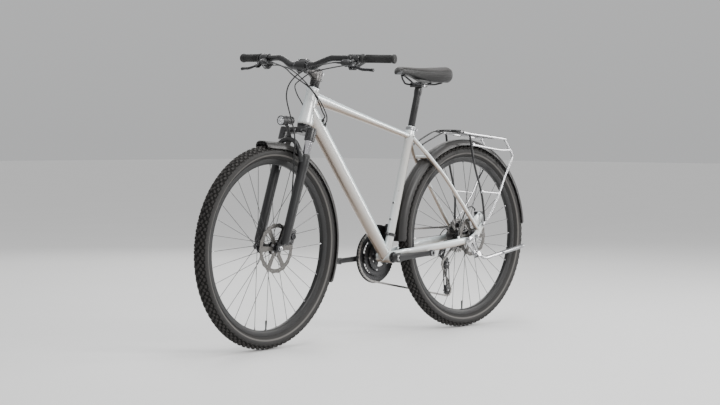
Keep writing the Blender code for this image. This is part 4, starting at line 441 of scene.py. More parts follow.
# %% Shared effects: grain, wear, dust and tool lines
def make_grain():
    """Fine grain as a height, and slow mottling as a value round a half."""
    w, given, out = new_group("fine grain", [("Scale", NUMBER, 400.0)],
                              [("Height", NUMBER), ("Mottle", NUMBER)])
    place = w.node("ShaderNodeTexCoord").outputs["Object"]
    fine = w.node("ShaderNodeTexNoise", {"Vector": place, "Scale": given.outputs["Scale"],
                                         "Detail": 4.0, "Roughness": 0.6})
    slow_scale = w.math("MULTIPLY", given.outputs["Scale"], 0.07)
    slow = w.node("ShaderNodeTexNoise", {"Vector": place, "Scale": slow_scale, "Detail": 2.0})
    w.tree.links.new(fine.outputs[0], out.inputs["Height"])
    w.tree.links.new(slow.outputs[0], out.inputs["Mottle"])
    return w.tree


def make_wear():
    """Where edges are rubbed: the surface's sharp corners, broken up by noise."""
    w, given, out = new_group("edge wear", [("Amount", NUMBER, 0.3)], [("Mask", NUMBER)])
    point = w.node("ShaderNodeNewGeometry").outputs["Pointiness"]
    edge = w.node("ShaderNodeMapRange", {"Value": point, "From Min": 0.54, "From Max": 0.62})
    place = w.node("ShaderNodeTexCoord").outputs["Object"]
    noise = w.node("ShaderNodeTexNoise", {"Vector": place, "Scale": 160.0, "Detail": 5.0})
    chips = w.node("ShaderNodeMapRange", {"Value": noise.outputs[0], "From Min": 0.42,
                                          "From Max": 0.58})
    both = w.math("MULTIPLY", edge.outputs[0], chips.outputs[0])
    w.tree.links.new(w.math("MULTIPLY", both, given.outputs["Amount"], True), out.inputs["Mask"])
    return w.tree


def make_dust():
    """Where dust lies: faces that look up, in drifting patches."""
    w, given, out = new_group("dust", [("Amount", NUMBER, 0.2)], [("Mask", NUMBER)])
    normal = w.node("ShaderNodeNewGeometry").outputs["Normal"]
    upward = w.node("ShaderNodeSeparateXYZ", {0: normal}).outputs["Z"]
    lying = w.node("ShaderNodeMapRange", {"Value": upward, "From Min": 0.1, "From Max": 1.0})
    place = w.node("ShaderNodeTexCoord").outputs["Object"]
    noise = w.node("ShaderNodeTexNoise", {"Vector": place, "Scale": 34.0, "Detail": 6.0,
                                          "Roughness": 0.7})
    patches = w.math("MULTIPLY", lying.outputs[0], noise.outputs[0])
    w.tree.links.new(w.math("MULTIPLY", patches, given.outputs["Amount"], True),
                     out.inputs["Mask"])
    return w.tree


def make_tool_lines():
    """Lines of a lathe or a polishing belt, by the distance from an axle along Y."""
    w, given, out = new_group("tool lines", [("Centre", "NodeSocketVector", (0, 0, 0)),
                                             ("Scale", NUMBER, 900.0)], [("Height", NUMBER)])
    place = w.node("ShaderNodeTexCoord").outputs["Object"]
    off = w.node("ShaderNodeVectorMath", {0: place, 1: given.outputs["Centre"]},
                 operation="SUBTRACT").outputs[0]
    flat = w.node("ShaderNodeVectorMath", {0: off, 1: (1, 0, 1)}, operation="MULTIPLY").outputs[0]
    radius = w.node("ShaderNodeVectorMath", {0: flat}, operation="LENGTH").outputs["Value"]
    spot = w.node("ShaderNodeCombineXYZ", {0: radius})
    noise = w.node("ShaderNodeTexNoise", {"Vector": spot.outputs[0],
                                          "Scale": given.outputs["Scale"], "Detail": 3.0})
    w.tree.links.new(noise.outputs[0], out.inputs["Height"])
    return w.tree


GRAIN, WEAR, DUST, TOOL_LINES = make_grain(), make_wear(), make_dust(), make_tool_lines()
print("shared effects:", [group.name for group in (GRAIN, WEAR, DUST, TOOL_LINES)])

# %% [markdown]
# One function makes most finishes from the same recipe: a colour that drifts a little, a
# roughness that drifts with it, rubbed edges, dust and a fine bump. What differs from paint to
# rubber to steel is only how much of each there is.

# %% A finish from its recipe
BARE = (0.50, 0.50, 0.51)
DUSTY = (0.30, 0.29, 0.27)


def finish(name, colour, rough, metal=0.0, coat=0.0, grain=400.0, bump=0.15, drift=0.10,
           wear=0.0, dust=0.06, lines=None, flakes=0.0, cells=0.0, shine=0.5):
    """A finish: lines gives an axle that tool lines run round, cells a leather grain's scale."""
    made = bpy.data.materials.new(name)
    made.use_nodes = True
    w = Wiring(made.node_tree)
    shader = made.node_tree.nodes["Principled BSDF"]
    texture = w.node("ShaderNodeGroup", node_tree=GRAIN)
    texture.inputs["Scale"].default_value = grain
    height, mottle = texture.outputs["Height"], texture.outputs["Mottle"]
    light = (*[min(1.0, c * (1 + drift) + drift * 0.02) for c in colour], 1)
    dark = (*[c * (1 - drift) for c in colour], 1)
    shade = w.mix(mottle, dark, light)
    if flakes > 0:
        place = w.node("ShaderNodeTexCoord").outputs["Object"]
        flake = w.node("ShaderNodeTexVoronoi", {"Vector": place, "Scale": 2600.0})
        spark = w.node("ShaderNodeSeparateColor", {0: flake.outputs["Color"]}).outputs[0]
        spark = w.math("MULTIPLY", spark, flakes)
        shade = w.mix(spark, shade, (1, 1, 1, 1))
    gloss = w.math("MULTIPLY_ADD", mottle, 0.35 * rough)
    gloss.node.inputs[2].default_value = rough * 0.82
    if lines is not None:
        tool = w.node("ShaderNodeGroup", {"Centre": lines}, node_tree=TOOL_LINES)
        height = w.math("ADD", tool.outputs["Height"], w.math("MULTIPLY", height, 0.3))
    if cells > 0:
        place = w.node("ShaderNodeTexCoord").outputs["Object"]
        skin = w.node("ShaderNodeTexVoronoi", {"Vector": place, "Scale": cells},
                      feature="DISTANCE_TO_EDGE")
        pores = w.node("ShaderNodeMapRange", {"Value": skin.outputs["Distance"], "From Max": 0.22})
        height = w.math("ADD", pores.outputs[0], w.math("MULTIPLY", height, 0.4))
    if wear > 0:
        rubbed = w.node("ShaderNodeGroup", node_tree=WEAR)
        rubbed.inputs["Amount"].default_value = wear
        shade = w.mix(rubbed.outputs["Mask"], shade, (*BARE, 1))
    if dust > 0:
        lying = w.node("ShaderNodeGroup", node_tree=DUST)
        lying.inputs["Amount"].default_value = dust
        shade = w.mix(lying.outputs["Mask"], shade, (*DUSTY, 1))
        gloss = w.math("ADD", gloss, w.math("MULTIPLY", lying.outputs["Mask"], 0.5), True)
    relief = w.node("ShaderNodeBump", {"Height": height, "Strength": bump, "Distance": 0.0003})
    made.node_tree.links.new(shade, shader.inputs["Base Color"])
    made.node_tree.links.new(gloss, shader.inputs["Roughness"])
    made.node_tree.links.new(relief.outputs[0], shader.inputs["Normal"])
    shader.inputs["Metallic"].default_value = metal
    shader.inputs["Specular IOR Level"].default_value = shine
    shader.inputs["Coat Weight"].default_value = coat
    shader.inputs["Coat Roughness"].default_value = 0.06
    return made


FRONT_CENTRE = steered(FRONT_AXLE) - FORWARD * ORIGIN_BACK
REAR_CENTRE = REAR_AXLE - FORWARD * ORIGIN_BACK
CRANK_CENTRE = BRACKET - FORWARD * ORIGIN_BACK



def pearl_paint():
    """Pearl paint: white in front, a blue tint at the rim that is partly the paint's flop and
    partly painted reflection, and painted shade, a darker warm brown on faces that look down.
    """
    made = finish("pearl_paint", (0.76, 0.79, 0.79), 0.30, 0.35, 0.9, 300, 0.03, 0.03, dust=0.03,
                  flakes=0.25)
    w = Wiring(made.node_tree)
    base = w.tree.nodes["Principled BSDF"].inputs["Base Color"]
    white = base.links[0].from_socket
    # A blue tint where the view grazes the surface: partly pearl flop, partly painted reflection.
    rim = w.node("ShaderNodeLayerWeight", {"Blend": 0.30}).outputs["Facing"]
    pearl_with_rim_reflection = w.mix(w.math("MULTIPLY", rim, 0.85, True), white, (0.56, 0.76, 0.82, 1))
    # Faces that look down turn a darker warm brown: painted shade.
    normal = w.node("ShaderNodeNewGeometry").outputs["Normal"]
    height = w.node("ShaderNodeSeparateXYZ", {0: normal}).outputs["Z"]
    painted_shade_below = w.node("ShaderNodeMapRange", {"Value": height, "From Min": 0.34, "From Max": -0.62})
    w.tree.links.new(w.mix(painted_shade_below.outputs[0], pearl_with_rim_reflection, (0.27, 0.205, 0.155, 1)), base)
    return made


pearl = pearl_paint()
satin_black = finish("satin_black_paint", (0.010, 0.010, 0.011), 0.36, 0.0, 0.16, 500, 0.05, 0.2,
                     wear=0.20, dust=0.02, shine=0.4)
rim_black = finish("rim_anodising", (0.008, 0.008, 0.0085), 0.40, 0.0, 0.0, 600, 0.05, 0.2,
                   wear=0.1,
                   dust=0.02, shine=0.35)
matt_black = finish("matt_black_paint", (0.014, 0.014, 0.015), 0.50, 0.0, 0.0, 700, 0.10, 0.2,
                    wear=0.15, dust=0.04, shine=0.35)
anodised = finish("black_anodising", (0.024, 0.024, 0.026), 0.30, 0.75, 0.0, 900, 0.06, 0.2,
                  wear=0.4, dust=0.03)
stem_black = finish("stem_anodising", (0.085, 0.080, 0.078), 0.36, 0.80, 0.0, 900, 0.06, 0.12,
                    wear=0.4, dust=0.03)
polished = finish("polished_alloy", (0.46, 0.46, 0.47), 0.15, 1.0, 0.0, 500, 0.03, 0.05, dust=0.03)
caliper_alloy = finish("caliper_alloy", (0.055, 0.055, 0.058), 0.42, 1.0, 0.0, 700, 0.12, 0.10,
                       dust=0.03)
satin_alloy = finish("satin_alloy", (0.34, 0.345, 0.355), 0.34, 1.0, 0.0, 700, 0.10, 0.08,
                     dust=0.04)
chrome = finish("hard_chrome", (0.60, 0.59, 0.62), 0.07, 1.0, 0.0, 300, 0.01, 0.02, dust=0.0)
zinc = finish("zinc_bolts", (0.42, 0.42, 0.43), 0.24, 1.0, 0.0, 900, 0.06, 0.08, dust=0.03)
dark_bolt = finish("black_oxide_bolts", (0.050, 0.050, 0.052), 0.30, 0.9, 0.0, 900, 0.08, 0.2,
                   wear=0.3)
front_disc = finish("front_disc_steel", (0.115, 0.110, 0.105), 0.38, 0.9, bump=0.12, drift=0.06,
                    dust=0.0, lines=FRONT_CENTRE)
rear_disc = finish("rear_disc_steel", (0.115, 0.110, 0.105), 0.38, 0.9, bump=0.12, drift=0.06,
                   dust=0.0, lines=REAR_CENTRE)
ring_steel = finish("chainring_steel", (0.060, 0.060, 0.062), 0.34, 0.9, bump=0.12, drift=0.08,
                    lines=CRANK_CENTRE)
cog_steel = finish("cog_steel", (0.20, 0.195, 0.19), 0.32, 1.0, bump=0.12, drift=0.08,
                   lines=REAR_CENTRE)
chain_steel = finish("chain_steel", (0.30, 0.29, 0.28), 0.30, 1.0, 0.0, 800, 0.12, 0.15, dust=0.0)
dark_spoke = finish("dark_spoke_steel", (0.055, 0.055, 0.058), 0.26, 0.9, 0.0, 900, 0.04, 0.15,
                    dust=0.0)
tread = finish("tread_rubber", (0.021, 0.019, 0.018), 0.72, 0.0, 0.0, 260, 0.45, 0.25, dust=0.08,
               shine=0.35)
# The rubber between the knobs is painted darker and duller than the knobs: painted shade in the
# recesses.
shaded_tread_floor = finish("tread_floor_rubber", (0.008, 0.0075, 0.007), 0.80, 0.0, 0.0, 260, 0.45, 0.25,
                     dust=0.05, shine=0.15)
sidewall = finish("sidewall_rubber", (0.015, 0.014, 0.0135), 0.60, 0.0, 0.0, 420, 0.22, 0.2,
                  dust=0.05, shine=0.35)
side_band = finish("sidewall_band", (0.085, 0.080, 0.075), 0.66, 0.0, 0.0, 420, 0.25, 0.15,
                   dust=0.05)
grip_rubber = finish("grip_rubber", (0.012, 0.012, 0.012), 0.62, 0.0, 0.0, 900, 0.35, 0.2,
                     dust=0.03, shine=0.4)
hose_rubber = finish("hose_jacket", (0.010, 0.010, 0.011), 0.42, 0.0, 0.0, 900, 0.10, 0.15,
                     dust=0.02)
seal_rubber = finish("seal_rubber", (0.014, 0.014, 0.014), 0.60, 0.0, 0.0, 800, 0.15, 0.1)
guard_plastic = finish("mudguard_plastic", (0.018, 0.017, 0.0165), 0.42, 0.0, 0.0, 520, 0.14, 0.15,
                       dust=0.04)
plastic = finish("moulded_plastic", (0.014, 0.014, 0.015), 0.44, 0.0, 0.0, 700, 0.22, 0.15,
                 wear=0.12, dust=0.03)
vinyl = finish("saddle_vinyl", (0.012, 0.0115, 0.0115), 0.46, 0.0, 0.0, 900, 0.45, 0.2, dust=0.02,
               cells=620.0)
# A lighter vinyl with a coarser grain for the top between the seams and the upper tail; its
# lightness is painted light where the lamps fall.
lit_panel_vinyl = finish("saddle_top_vinyl", (0.030, 0.027, 0.026), 0.52, 0.0, 0.0, 900, 0.55, 0.2,
                     dust=0.03, cells=420.0)
bumper = finish("saddle_bumper", (0.075, 0.077, 0.082), 0.48, 0.0, 0.0, 700, 0.22, 0.12, dust=0.04)
thread = finish("saddle_thread", (0.070, 0.070, 0.072), 0.80, 0.0, 0.0, 2400, 0.6, 0.2)
mirror_bowl = finish("lamp_reflector", (0.86, 0.86, 0.87), 0.05, 1.0, 0.0, 60, 0.05, 0.02,
                     dust=0.0)


def clear_lens():
    """Clear moulded plastic: light passes, with a trace of the mould on its face."""
    made = finish("lamp_lens", (0.96, 0.97, 0.98), 0.03, 0.0, 0.0, 90, 0.12, 0.01, dust=0.02)
    shader = made.node_tree.nodes["Principled BSDF"]
    shader.inputs["Transmission Weight"].default_value = 0.95
    shader.inputs["IOR"].default_value = 1.49
    return made


lens = clear_lens()
print("finishes:", len(bpy.data.materials))

# %% [markdown]
# ## Rings and rows of parts
#
# Knobs, spokes, teeth, bolts, ribs, links, stitches and the ripples of a weld are all one
# small part set down many times. Two node trees do this work. The first sets parts round a
# circle, in as many rows as wanted, like holes drilled on an indexing table. The second sets
# them along a path. Each ends by making the copies real, so the result is a plain mesh.

# %% The node trees
OBJECT, WHOLE, STUFF = "NodeSocketObject", "NodeSocketInt", "NodeSocketMaterial"


def tree_end(w, out, points, part, rotation, selection, material):
    """Sets the part on the points, makes the copies real and gives them their finish."""
    info = w.node("GeometryNodeObjectInfo", {"Object": part, "As Instance": True})
    inputs = {"Points": points, "Instance": info.outputs["Geometry"], "Rotation": rotation}
    if selection is not None:
        inputs["Selection"] = selection
    copies = w.node("GeometryNodeInstanceOnPoints", inputs)
    real = w.node("GeometryNodeRealizeInstances", {"Geometry": copies.outputs[0]})
    painted = w.node("GeometryNodeSetMaterial", {"Geometry": real.outputs[0],
                                                 "Material": material})
    w.tree.links.new(painted.outputs[0], out.inputs[0])
    return w.tree


def make_ring_tree():
    w, given, out = new_group(
        "ring of parts",
        [("Part", OBJECT, None), ("Count", WHOLE, 8), ("Radius", NUMBER, 0.1),
         ("Phase", NUMBER, 0.0), ("Rows", WHOLE, 1), ("Row Step", NUMBER, 0.0),
         ("Row Turn", NUMBER, 0.0), ("Finish", STUFF, None)],
        [("Geometry", "NodeSocketGeometry")], "GeometryNodeTree")
    sockets = given.outputs
    total = w.math("MULTIPLY", sockets["Count"], sockets["Rows"])
    index = w.node("GeometryNodeInputIndex").outputs[0]
    row = w.math("FLOOR", w.math("DIVIDE", index, sockets["Count"]))
    share = w.math("DIVIDE", index, sockets["Count"])
    turn = w.math("MULTIPLY", share, 2 * math.pi)
    turn = w.math("ADD", turn, w.math("MULTIPLY", row, sockets["Row Turn"]))
    turn = w.math("ADD", turn, sockets["Phase"])
    x = w.math("MULTIPLY", w.math("COSINE", turn), sockets["Radius"])
    y = w.math("MULTIPLY", w.math("SINE", turn), sockets["Radius"])
    z = w.math("MULTIPLY", row, sockets["Row Step"])
    place = w.node("ShaderNodeCombineXYZ", {0: x, 1: y, 2: z})
    points = w.node("GeometryNodePoints", {"Count": total, "Position": place.outputs[0]})
    spin = w.node("ShaderNodeCombineXYZ", {2: turn})
    rotation = w.node("FunctionNodeEulerToRotation", {0: spin.outputs[0]})
    return tree_end(w, out, points.outputs[0], sockets["Part"], rotation.outputs[0], None,
                    sockets["Finish"])


def make_path_tree(name, pivot):
    w, given, out = new_group(
        name,
        [("Part", OBJECT, None), ("Path", OBJECT, None), ("Count", WHOLE, 8), ("Every", WHOLE, 1),
         ("First", WHOLE, 0), ("Finish", STUFF, None)],
        [("Geometry", "NodeSocketGeometry")], "GeometryNodeTree")
    sockets = given.outputs
    line = w.node("GeometryNodeObjectInfo", {"Object": sockets["Path"]}).outputs["Geometry"]
    even = w.node("GeometryNodeResampleCurve", {"Curve": line, "Count": sockets["Count"]})
    index = w.node("GeometryNodeInputIndex").outputs[0]
    place = w.math("MODULO", index, sockets["Every"])
    chosen = w.math("COMPARE", place, sockets["First"])
    chosen.node.inputs[2].default_value = 0.1
    tangent = w.node("GeometryNodeInputTangent").outputs[0]
    rotation = w.node("FunctionNodeAlignRotationToVector", {"Vector": tangent}, axis="X",
                      pivot_axis=pivot)
    return tree_end(w, out, even.outputs[0], sockets["Part"], rotation.outputs[0], chosen,
                    sockets["Finish"])


RING_TREE = make_ring_tree()
FLAT_PATH_TREE = make_path_tree("parts along a flat path", "Z")
PATH_TREE = make_path_tree("parts along a path", "AUTO")
print("node trees:", RING_TREE.name, "|", FLAT_PATH_TREE.name, "|", PATH_TREE.name)


# %% Growing parts with the trees
def loose(piece):
    """The piece as a plain object, to serve as a part in a tree."""
    mesh = bpy.data.meshes.new(piece.name)
    piece.mesh.to_mesh(mesh)
    piece.mesh.free()
    obj = bpy.data.objects.new(piece.name, mesh)
    bpy.context.scene.collection.objects.link(obj)
    return obj


def wire(points, closed=False):
    """A path as a curve object."""
    curve = bpy.data.curves.new("path", "CURVE")
    curve.dimensions = "3D"
    line = curve.splines.new("POLY")
    line.points.add(len(points) - 1)
    for spot, point in zip(line.points, points):
        spot.co = (*point, 1.0)
    line.use_cyclic_u = closed
    obj = bpy.data.objects.new("path", curve)
    bpy.context.scene.collection.objects.link(obj)
    return obj


def grown(tree, material, **values):
    """The tree's result as a plain mesh; the loose part and path are used up."""
    holder = bpy.data.objects.new("holder", bpy.data.meshes.new("holder"))
    bpy.context.scene.collection.objects.link(holder)
    modifier = holder.modifiers.new("grow", "NODES")
    modifier.node_group = tree
    values["Finish"] = material
    for item in tree.interface.items_tree:
        if item.in_out == "INPUT" and item.name in values:
            modifier[item.identifier] = values[item.name]
    bpy.context.view_layer.update()
    graph = bpy.context.evaluated_depsgraph_get()
    mesh = bpy.data.meshes.new_from_object(holder.evaluated_get(graph))
    bpy.data.objects.remove(holder, do_unlink=True)
    for value in values.values():
        if isinstance(value, bpy.types.Object):
            bpy.data.objects.remove(value, do_unlink=True)
    return mesh


def wheel_view(centre, along=0.0):
    """Maps a ring drawn flat (its axis up) onto an axle that points left."""
    matrix = Matrix(((1, 0, 0, 0), (0, 0, 1, 0), (0, 1, 0, 0), (0, 0, 0, 1)))
    matrix.translation = Vector(centre) + LEFT * along
    return matrix


def axis_view(centre, axis, first=None):
    """Maps a flat ring onto any axis; first says where the ring starts."""
    axis = Vector(axis).normalized()
    start = Vector(first) if first is not None else (UP if abs(axis.z) < 0.9 else FORWARD)
    start = (start - axis * axis.dot(start)).normalized()
    matrix = Matrix((start, axis.cross(start), axis)).transposed().to_4x4()
    matrix.translation = Vector(centre)
    return matrix


def ring(piece, part, material, count, radius, view, phase=0.0, rows=1, step=0.0, twist=0.0):
    """Sets a loose part round a circle on the piece."""
    mesh = grown(RING_TREE, material, Part=loose(part), Count=count, Radius=radius,
                 Phase=math.radians(phase), Rows=rows, **{"Row Step": step,
                                                          "Row Turn": math.radians(twist)})
    return piece.take(mesh, material, view)


def string(piece, part, material, points, count, closed=False, every=1, first=0, flat=None):
    """Sets a loose part along a path on the piece."""
    tree = PATH_TREE if flat is None else FLAT_PATH_TREE
    mesh = grown(tree, material, Part=loose(part), Path=wire(points, closed), Count=count,
                 Every=every, First=first)
    return piece.take(mesh, material, flat)


def bead(piece, loop, material, size=0.0022):
    """A weld bead: overlapping ripples along a closed loop."""
    ripple = Piece("ripple")
    profile = [(0, -size * 0.55), (size * 0.62, -size * 0.38), (size, 0), (size * 0.62,
                                                                           size * 0.38),
               (0, size * 0.55)]
    ripple.turned(profile, (0, 0, 0), FORWARD, material, 8)
    length = sum((b - a).length for a, b in zip(loop, [*loop[1:], loop[0]]))
    string(piece, ripple, material, loop, max(12, round(length / (size * 0.75))), closed=True)
    return length


print("rings and strings of parts are ready")

# %% [markdown]
# ## The frame
#
# The frame is welded from round tubes. A frame builder copes the end of each tube, which means
# that its end is cut to lie snugly on the next tube, and then welds round the joint. The same
# is done here: the end ring of a tube is pushed along the tube until it meets the other one,
# and the line where it lands is the path of a rippled weld bead under the paint.

# %% Coped tubes
def target_of(piece):
    """What rays can hit: the piece's mesh so far."""
    return BVHTree.FromBMesh(piece.mesh)


def section(middle, tangent, wide, tall, sides=32, across=LEFT, power=1.0):
    side = (across - tangent * tangent.dot(across)).normalized()
    top = tangent.cross(side)
    ring_points = []
    for k in range(sides):
        angle = 2 * math.pi * k / sides
        c, s = math.cos(angle), math.sin(angle)
        ring_points.append(middle + side * (wide * math.copysign(abs(c) ** power, c))
                           + top * (tall * math.copysign(abs(s) ** power, s)))
    return ring_points


def coped(piece, path, wides, talls, material, front=None, back=None, steps=6, sides=32,
          deeper=0.0012, weld=0.0022):
    """A tube through the path's points whose ends are cut to lie on what they meet."""
    points = smooth_route(path, steps)
    wide, tall = smooth_values(wides, steps), smooth_values(talls, steps)
    rings = []
    for i, point in enumerate(points):
        before, after = points[max(0, i - 1)], points[min(len(points) - 1, i + 1)]
        rings.append(section(point, (after - before).normalized(), wide[i], tall[i], sides))
    loops = []
    for target, end, far in ((front, 0, 1), (back, -1, -2)):
        if target is None:
            continue
        start = min(steps + 2, len(rings) - 2)
        origin = rings[start] if end == 0 else rings[-1 - start]
        landing = []
        for spot, aim in zip(origin, rings[end]):
            way = (aim - spot).normalized()
            hit = target.ray_cast(spot, way, 0.4)
            landing.append((hit[0] if hit[0] is not None else aim, way))
        rings[end] = [spot + way * deeper for spot, way in landing]
        inner = range(1, start) if end == 0 else range(2, start + 1)
        for j in inner:
            share = j / start if end == 0 else (j - 1) / start
            row = j if end == 0 else len(rings) - j
            rings[row] = [edge.lerp(spot, share) for edge, spot in zip(rings[end], origin)]
        loops.append([spot for spot, _ in landing])
    piece.skin(rings, material)
    for loop in loops:
        if weld > 0:
            bead(piece, loop, material, weld)
    return points


# %% [markdown]
# The head tube, the seat tube and the bottom bracket shell come first, because the others are
# coped onto them. They are hollow, turned shapes: the head tube swells at its lower end for
# the larger bearing, and the seat tube has a thicker sleeve under its clamp.

# %% Head tube, seat tube and shell
HEAD_BASE, HEAD_LENGTH = 0.4725, 0.1415
head_low = steer_point(HEAD_BASE)
frame_piece = Piece("frame_welded")
r0, r1, bore = 0.0285, 0.0232, 0.0178
frame_piece.turned(
    [(r0 - 0.0008, 0), (r0, 0.0012), (r0, 0.009), (r0 - 0.0006, 0.013), (0.0262, 0.030),
     (0.0247, 0.050), (0.0240, 0.070), (0.0234, 0.100), (r1, 0.126), (r1 + 0.0004, 0.128),
     (r1 + 0.0004, 0.1400), (r1 - 0.0004, HEAD_LENGTH), (bore, HEAD_LENGTH), (bore, 0)],
    head_low, STEER_UP, pearl, 64, looped=True)
seat_low = BRACKET + SEAT_UP * 0.012
frame_piece.turned(
    [(0.0162, 0), (0.0162, 0.4430), (0.0184, 0.4465), (0.0184, 0.4880), (0.0178, 0.4895),
     (0.0162, 0.4900), (0.0162, 0.5052), (0.0158, 0.506), (0.01395, 0.506), (0.01395, 0)],
    seat_low, SEAT_UP, pearl, 56, looped=True)
frame_piece.turned(
    [(0.0209, -0.034), (0.0215, -0.0334), (0.0215, 0.0334), (0.0209, 0.034), (0.0173, 0.034),
     (0.0173, -0.034)], BRACKET, LEFT, pearl, 64, looped=True)
mains = target_of(frame_piece)
print("head tube, seat tube and shell:", len(frame_piece.mesh.faces), "faces")

# %% Top tube and down tube
top_front, top_back = steer_point(HEAD_BASE + 0.108), SEAT_TOP - SEAT_UP * 0.040
spots = (0.0, 0.18, 0.35, 0.7, 1.0)
coped(frame_piece, [top_front.lerp(top_back, t) for t in spots],
      (0.0215, 0.0205, 0.0180, 0.0150, 0.0135), (0.0240, 0.0190, 0.0165, 0.0125, 0.0110), pearl,
      mains, mains)
down_front = steer_point(HEAD_BASE + 0.058, -0.004)
down_back = BRACKET + Vector((0.004, 0, 0.002))
spots = (0.0, 0.10, 0.22, 0.6, 0.9, 1.0)
coped(frame_piece, [down_front.lerp(down_back, t) for t in spots],
      (0.0245, 0.0255, 0.0265, 0.0265, 0.0250, 0.0245),
      (0.0300, 0.0320, 0.0290, 0.0275, 0.0225, 0.0195), pearl, mains, mains, sides=40)
print("top tube", round((top_front - top_back).length, 3), "m, down tube",
      round((down_front - down_back).length, 3), "m")

# %% [markdown]
# The stays are thinner and bent. Each starts on the seat tube or the shell and ends on a flat
# plate, the dropout, that holds the axle. Bridges tie each pair together.

# %% Stays, bridges and sockets
REAR_SPACING, FRONT_SPACING = 0.135, 0.100
PLATE_IN, PLATE_THICK = 0.0675, 0.0065
stay_y = PLATE_IN + PLATE_THICK / 2
bridge_turn = math.radians(52.5)


def rear_guard_radius(angle):
    return 0.382 + 0.010 * math.cos(angle) + 0.005 * math.sin(angle)


for _, side in SIDES:
    seat = [(0.306, 0.008, 0.755), (0.2905, 0.0165, 0.7365), (0.2590, 0.0330, 0.6990),
            (0.2120, 0.0470, 0.6480), (0.1510, 0.0550, 0.5850), (0.030, 0.0685, 0.440),
            (-0.014, stay_y, 0.390)]
    sizes = [0.0085] * 5 + [0.0080, 0.0062]
    path = smooth_route([mirrored(p, side) for p in seat], 6)
    frame_piece.tube(path, smooth_values(sizes, 6), pearl, sides=20)
    chain_side = [(0.446, 0.016, 0.306), (0.415, 0.0185, 0.3115), (0.388, 0.0262, 0.3155),
                  (0.372, 0.0335, 0.3180), (0.348, 0.044, 0.3200), (0.250, 0.058, 0.331),
                  (0.100, 0.069, 0.346), (0.014, stay_y, 0.356)]
    wide = (0.010, 0.0095, 0.0080, 0.0075, 0.0085, 0.0085, 0.0085, 0.0050)
    tall = (0.013, 0.013, 0.013, 0.0135, 0.014, 0.0145, 0.0140, 0.0100)
    path = smooth_route([mirrored(p, side) for p in chain_side], 6)
    frame_piece.tube(path, smooth_values(wide, 6), pearl, smooth_values(tall, 6), sides=24,
                     power=0.85)
    for spot, way, size in (((0.3105, 0.0125, 0.7585), (-0.70, 0.50, -0.50), 0.0092),
                            ((0.4215, 0.0178, 0.3105), (-1, 0.12, 0.12), 0.0115)):
        loop = section(mirrored(spot, side), mirrored(way, side).normalized(), size, size, 24)
        bead(frame_piece, loop, pearl, 0.0019)
reach = rear_guard_radius(bridge_turn) + GAP + 0.0065
seat_bridge = REAR_AXLE + Vector((math.cos(bridge_turn), 0, math.sin(bridge_turn))) * reach
frame_piece.rod(seat_bridge - LEFT * 0.040, seat_bridge + LEFT * 0.040, 0.0065, pearl, 24)
frame_piece.rod((0.404, -0.021, 0.3130), (0.404, 0.021, 0.3130), 0.0070, pearl, 24)
frame_piece.bolt(seat_bridge - Vector((0.004, 0, 0.0046)), (-0.7, 0, -0.7), 0.0042, zinc, 0.002)
print("stays are", round(2 * stay_y * 1000), "mm apart at the axle")

# %% Dropouts, hanger and brake mount
def joined(solids, cutters, material):
    """One solid from overlapping ones, with the cutters taken out."""
    body = loose(solids[0])
    others = [loose(p) for p in solids[1:]]
    tools = [loose(p) for p in cutters]
    for operation, operands in (("UNION", others), ("DIFFERENCE", tools)):
        for operand in operands:
            modifier = body.modifiers.new(operation, "BOOLEAN")
            modifier.operation = operation
            modifier.object = operand
            modifier.solver = "EXACT"
    bpy.context.view_layer.update()
    graph = bpy.context.evaluated_depsgraph_get()
    mesh = bpy.data.meshes.new_from_object(body.evaluated_get(graph))
    for used in (body, *others, *tools):
        bpy.data.objects.remove(used, do_unlink=True)
    return mesh


def solid(name, method, *args, **kwargs):
    piece = Piece(name)
    getattr(piece, method)(*args, **kwargs)
    return piece


AXLE = (0.0, WHEEL_R)
for _, side in SIDES:
    near, far = sorted((side * PLATE_IN, side * (PLATE_IN + PLATE_THICK)))
    shapes = [capsule(AXLE, (0.022, 0.357), 0.0165, 0.013), capsule(AXLE, (-0.038, 0.410), 0.0155,
                                                                    0.0090)]
    if side < 0:
        shapes.append(capsule(AXLE, (0.0, WHEEL_R - 0.027), 0.0150, 0.0095))
    plates = [solid("dropout", "plate", shape, near, far, pearl, chamfer=0.0008)
              for shape in shapes]
    slot = capsule(AXLE, (0.016, WHEEL_R - 0.040), 0.0049, 0.0049)
    slot_cut = solid("slot", "plate", slot, near - 0.002, far + 0.002, pearl)
    eye_cut = solid("eye", "plate", ring_of_points((-0.038, 0.410), 0.0026, 16), near - 0.002,
                    far + 0.002, pearl)
    frame_piece.take(joined(plates, [slot_cut, eye_cut], pearl), pearl)
tab = [(0.004, 0.398), (0.020, 0.428), (-0.030, 0.462), (-0.052, 0.446), (-0.030, 0.404)]
frame_piece.plate(tab, 0.0602, 0.0660, pearl, chamfer=0.0008)
port_base, port_out = Vector((0.100, 0.0665, 0.3680)), Vector((-0.18, -0.28, 0.94)).normalized()
frame_piece.rod(port_base - port_out * 0.012, port_base, 0.0048, pearl, 20, 0.0006)
for along in (0.145, 0.210):
    root = BRACKET + SEAT_UP * along + SEAT_FRONT * 0.0142
    frame_piece.rod(root, root + SEAT_FRONT * 0.0030, 0.0056, pearl, 24, 0.0006)
    frame_piece.bolt(root + SEAT_FRONT * 0.0028, SEAT_FRONT, 0.0042, dark_bolt, 0.0026)
tube_dir = (down_front - down_back).normalized()
tube_up = Vector((-tube_dir.z, 0, tube_dir.x))
for along in (0.250, 0.314):
    root = down_back + tube_dir * along + tube_up * 0.0258
    frame_piece.rod(root, root + tube_up * 0.0030, 0.0056, pearl, 24, 0.0006)
    frame_piece.bolt(root + tube_up * 0.0028, tube_up, 0.0042, dark_bolt, 0.0026)
print("dropouts are", round(PLATE_THICK * 1000, 1), "mm thick")

# %% Cable ports in the down tube
PORT_REACH = 0.012


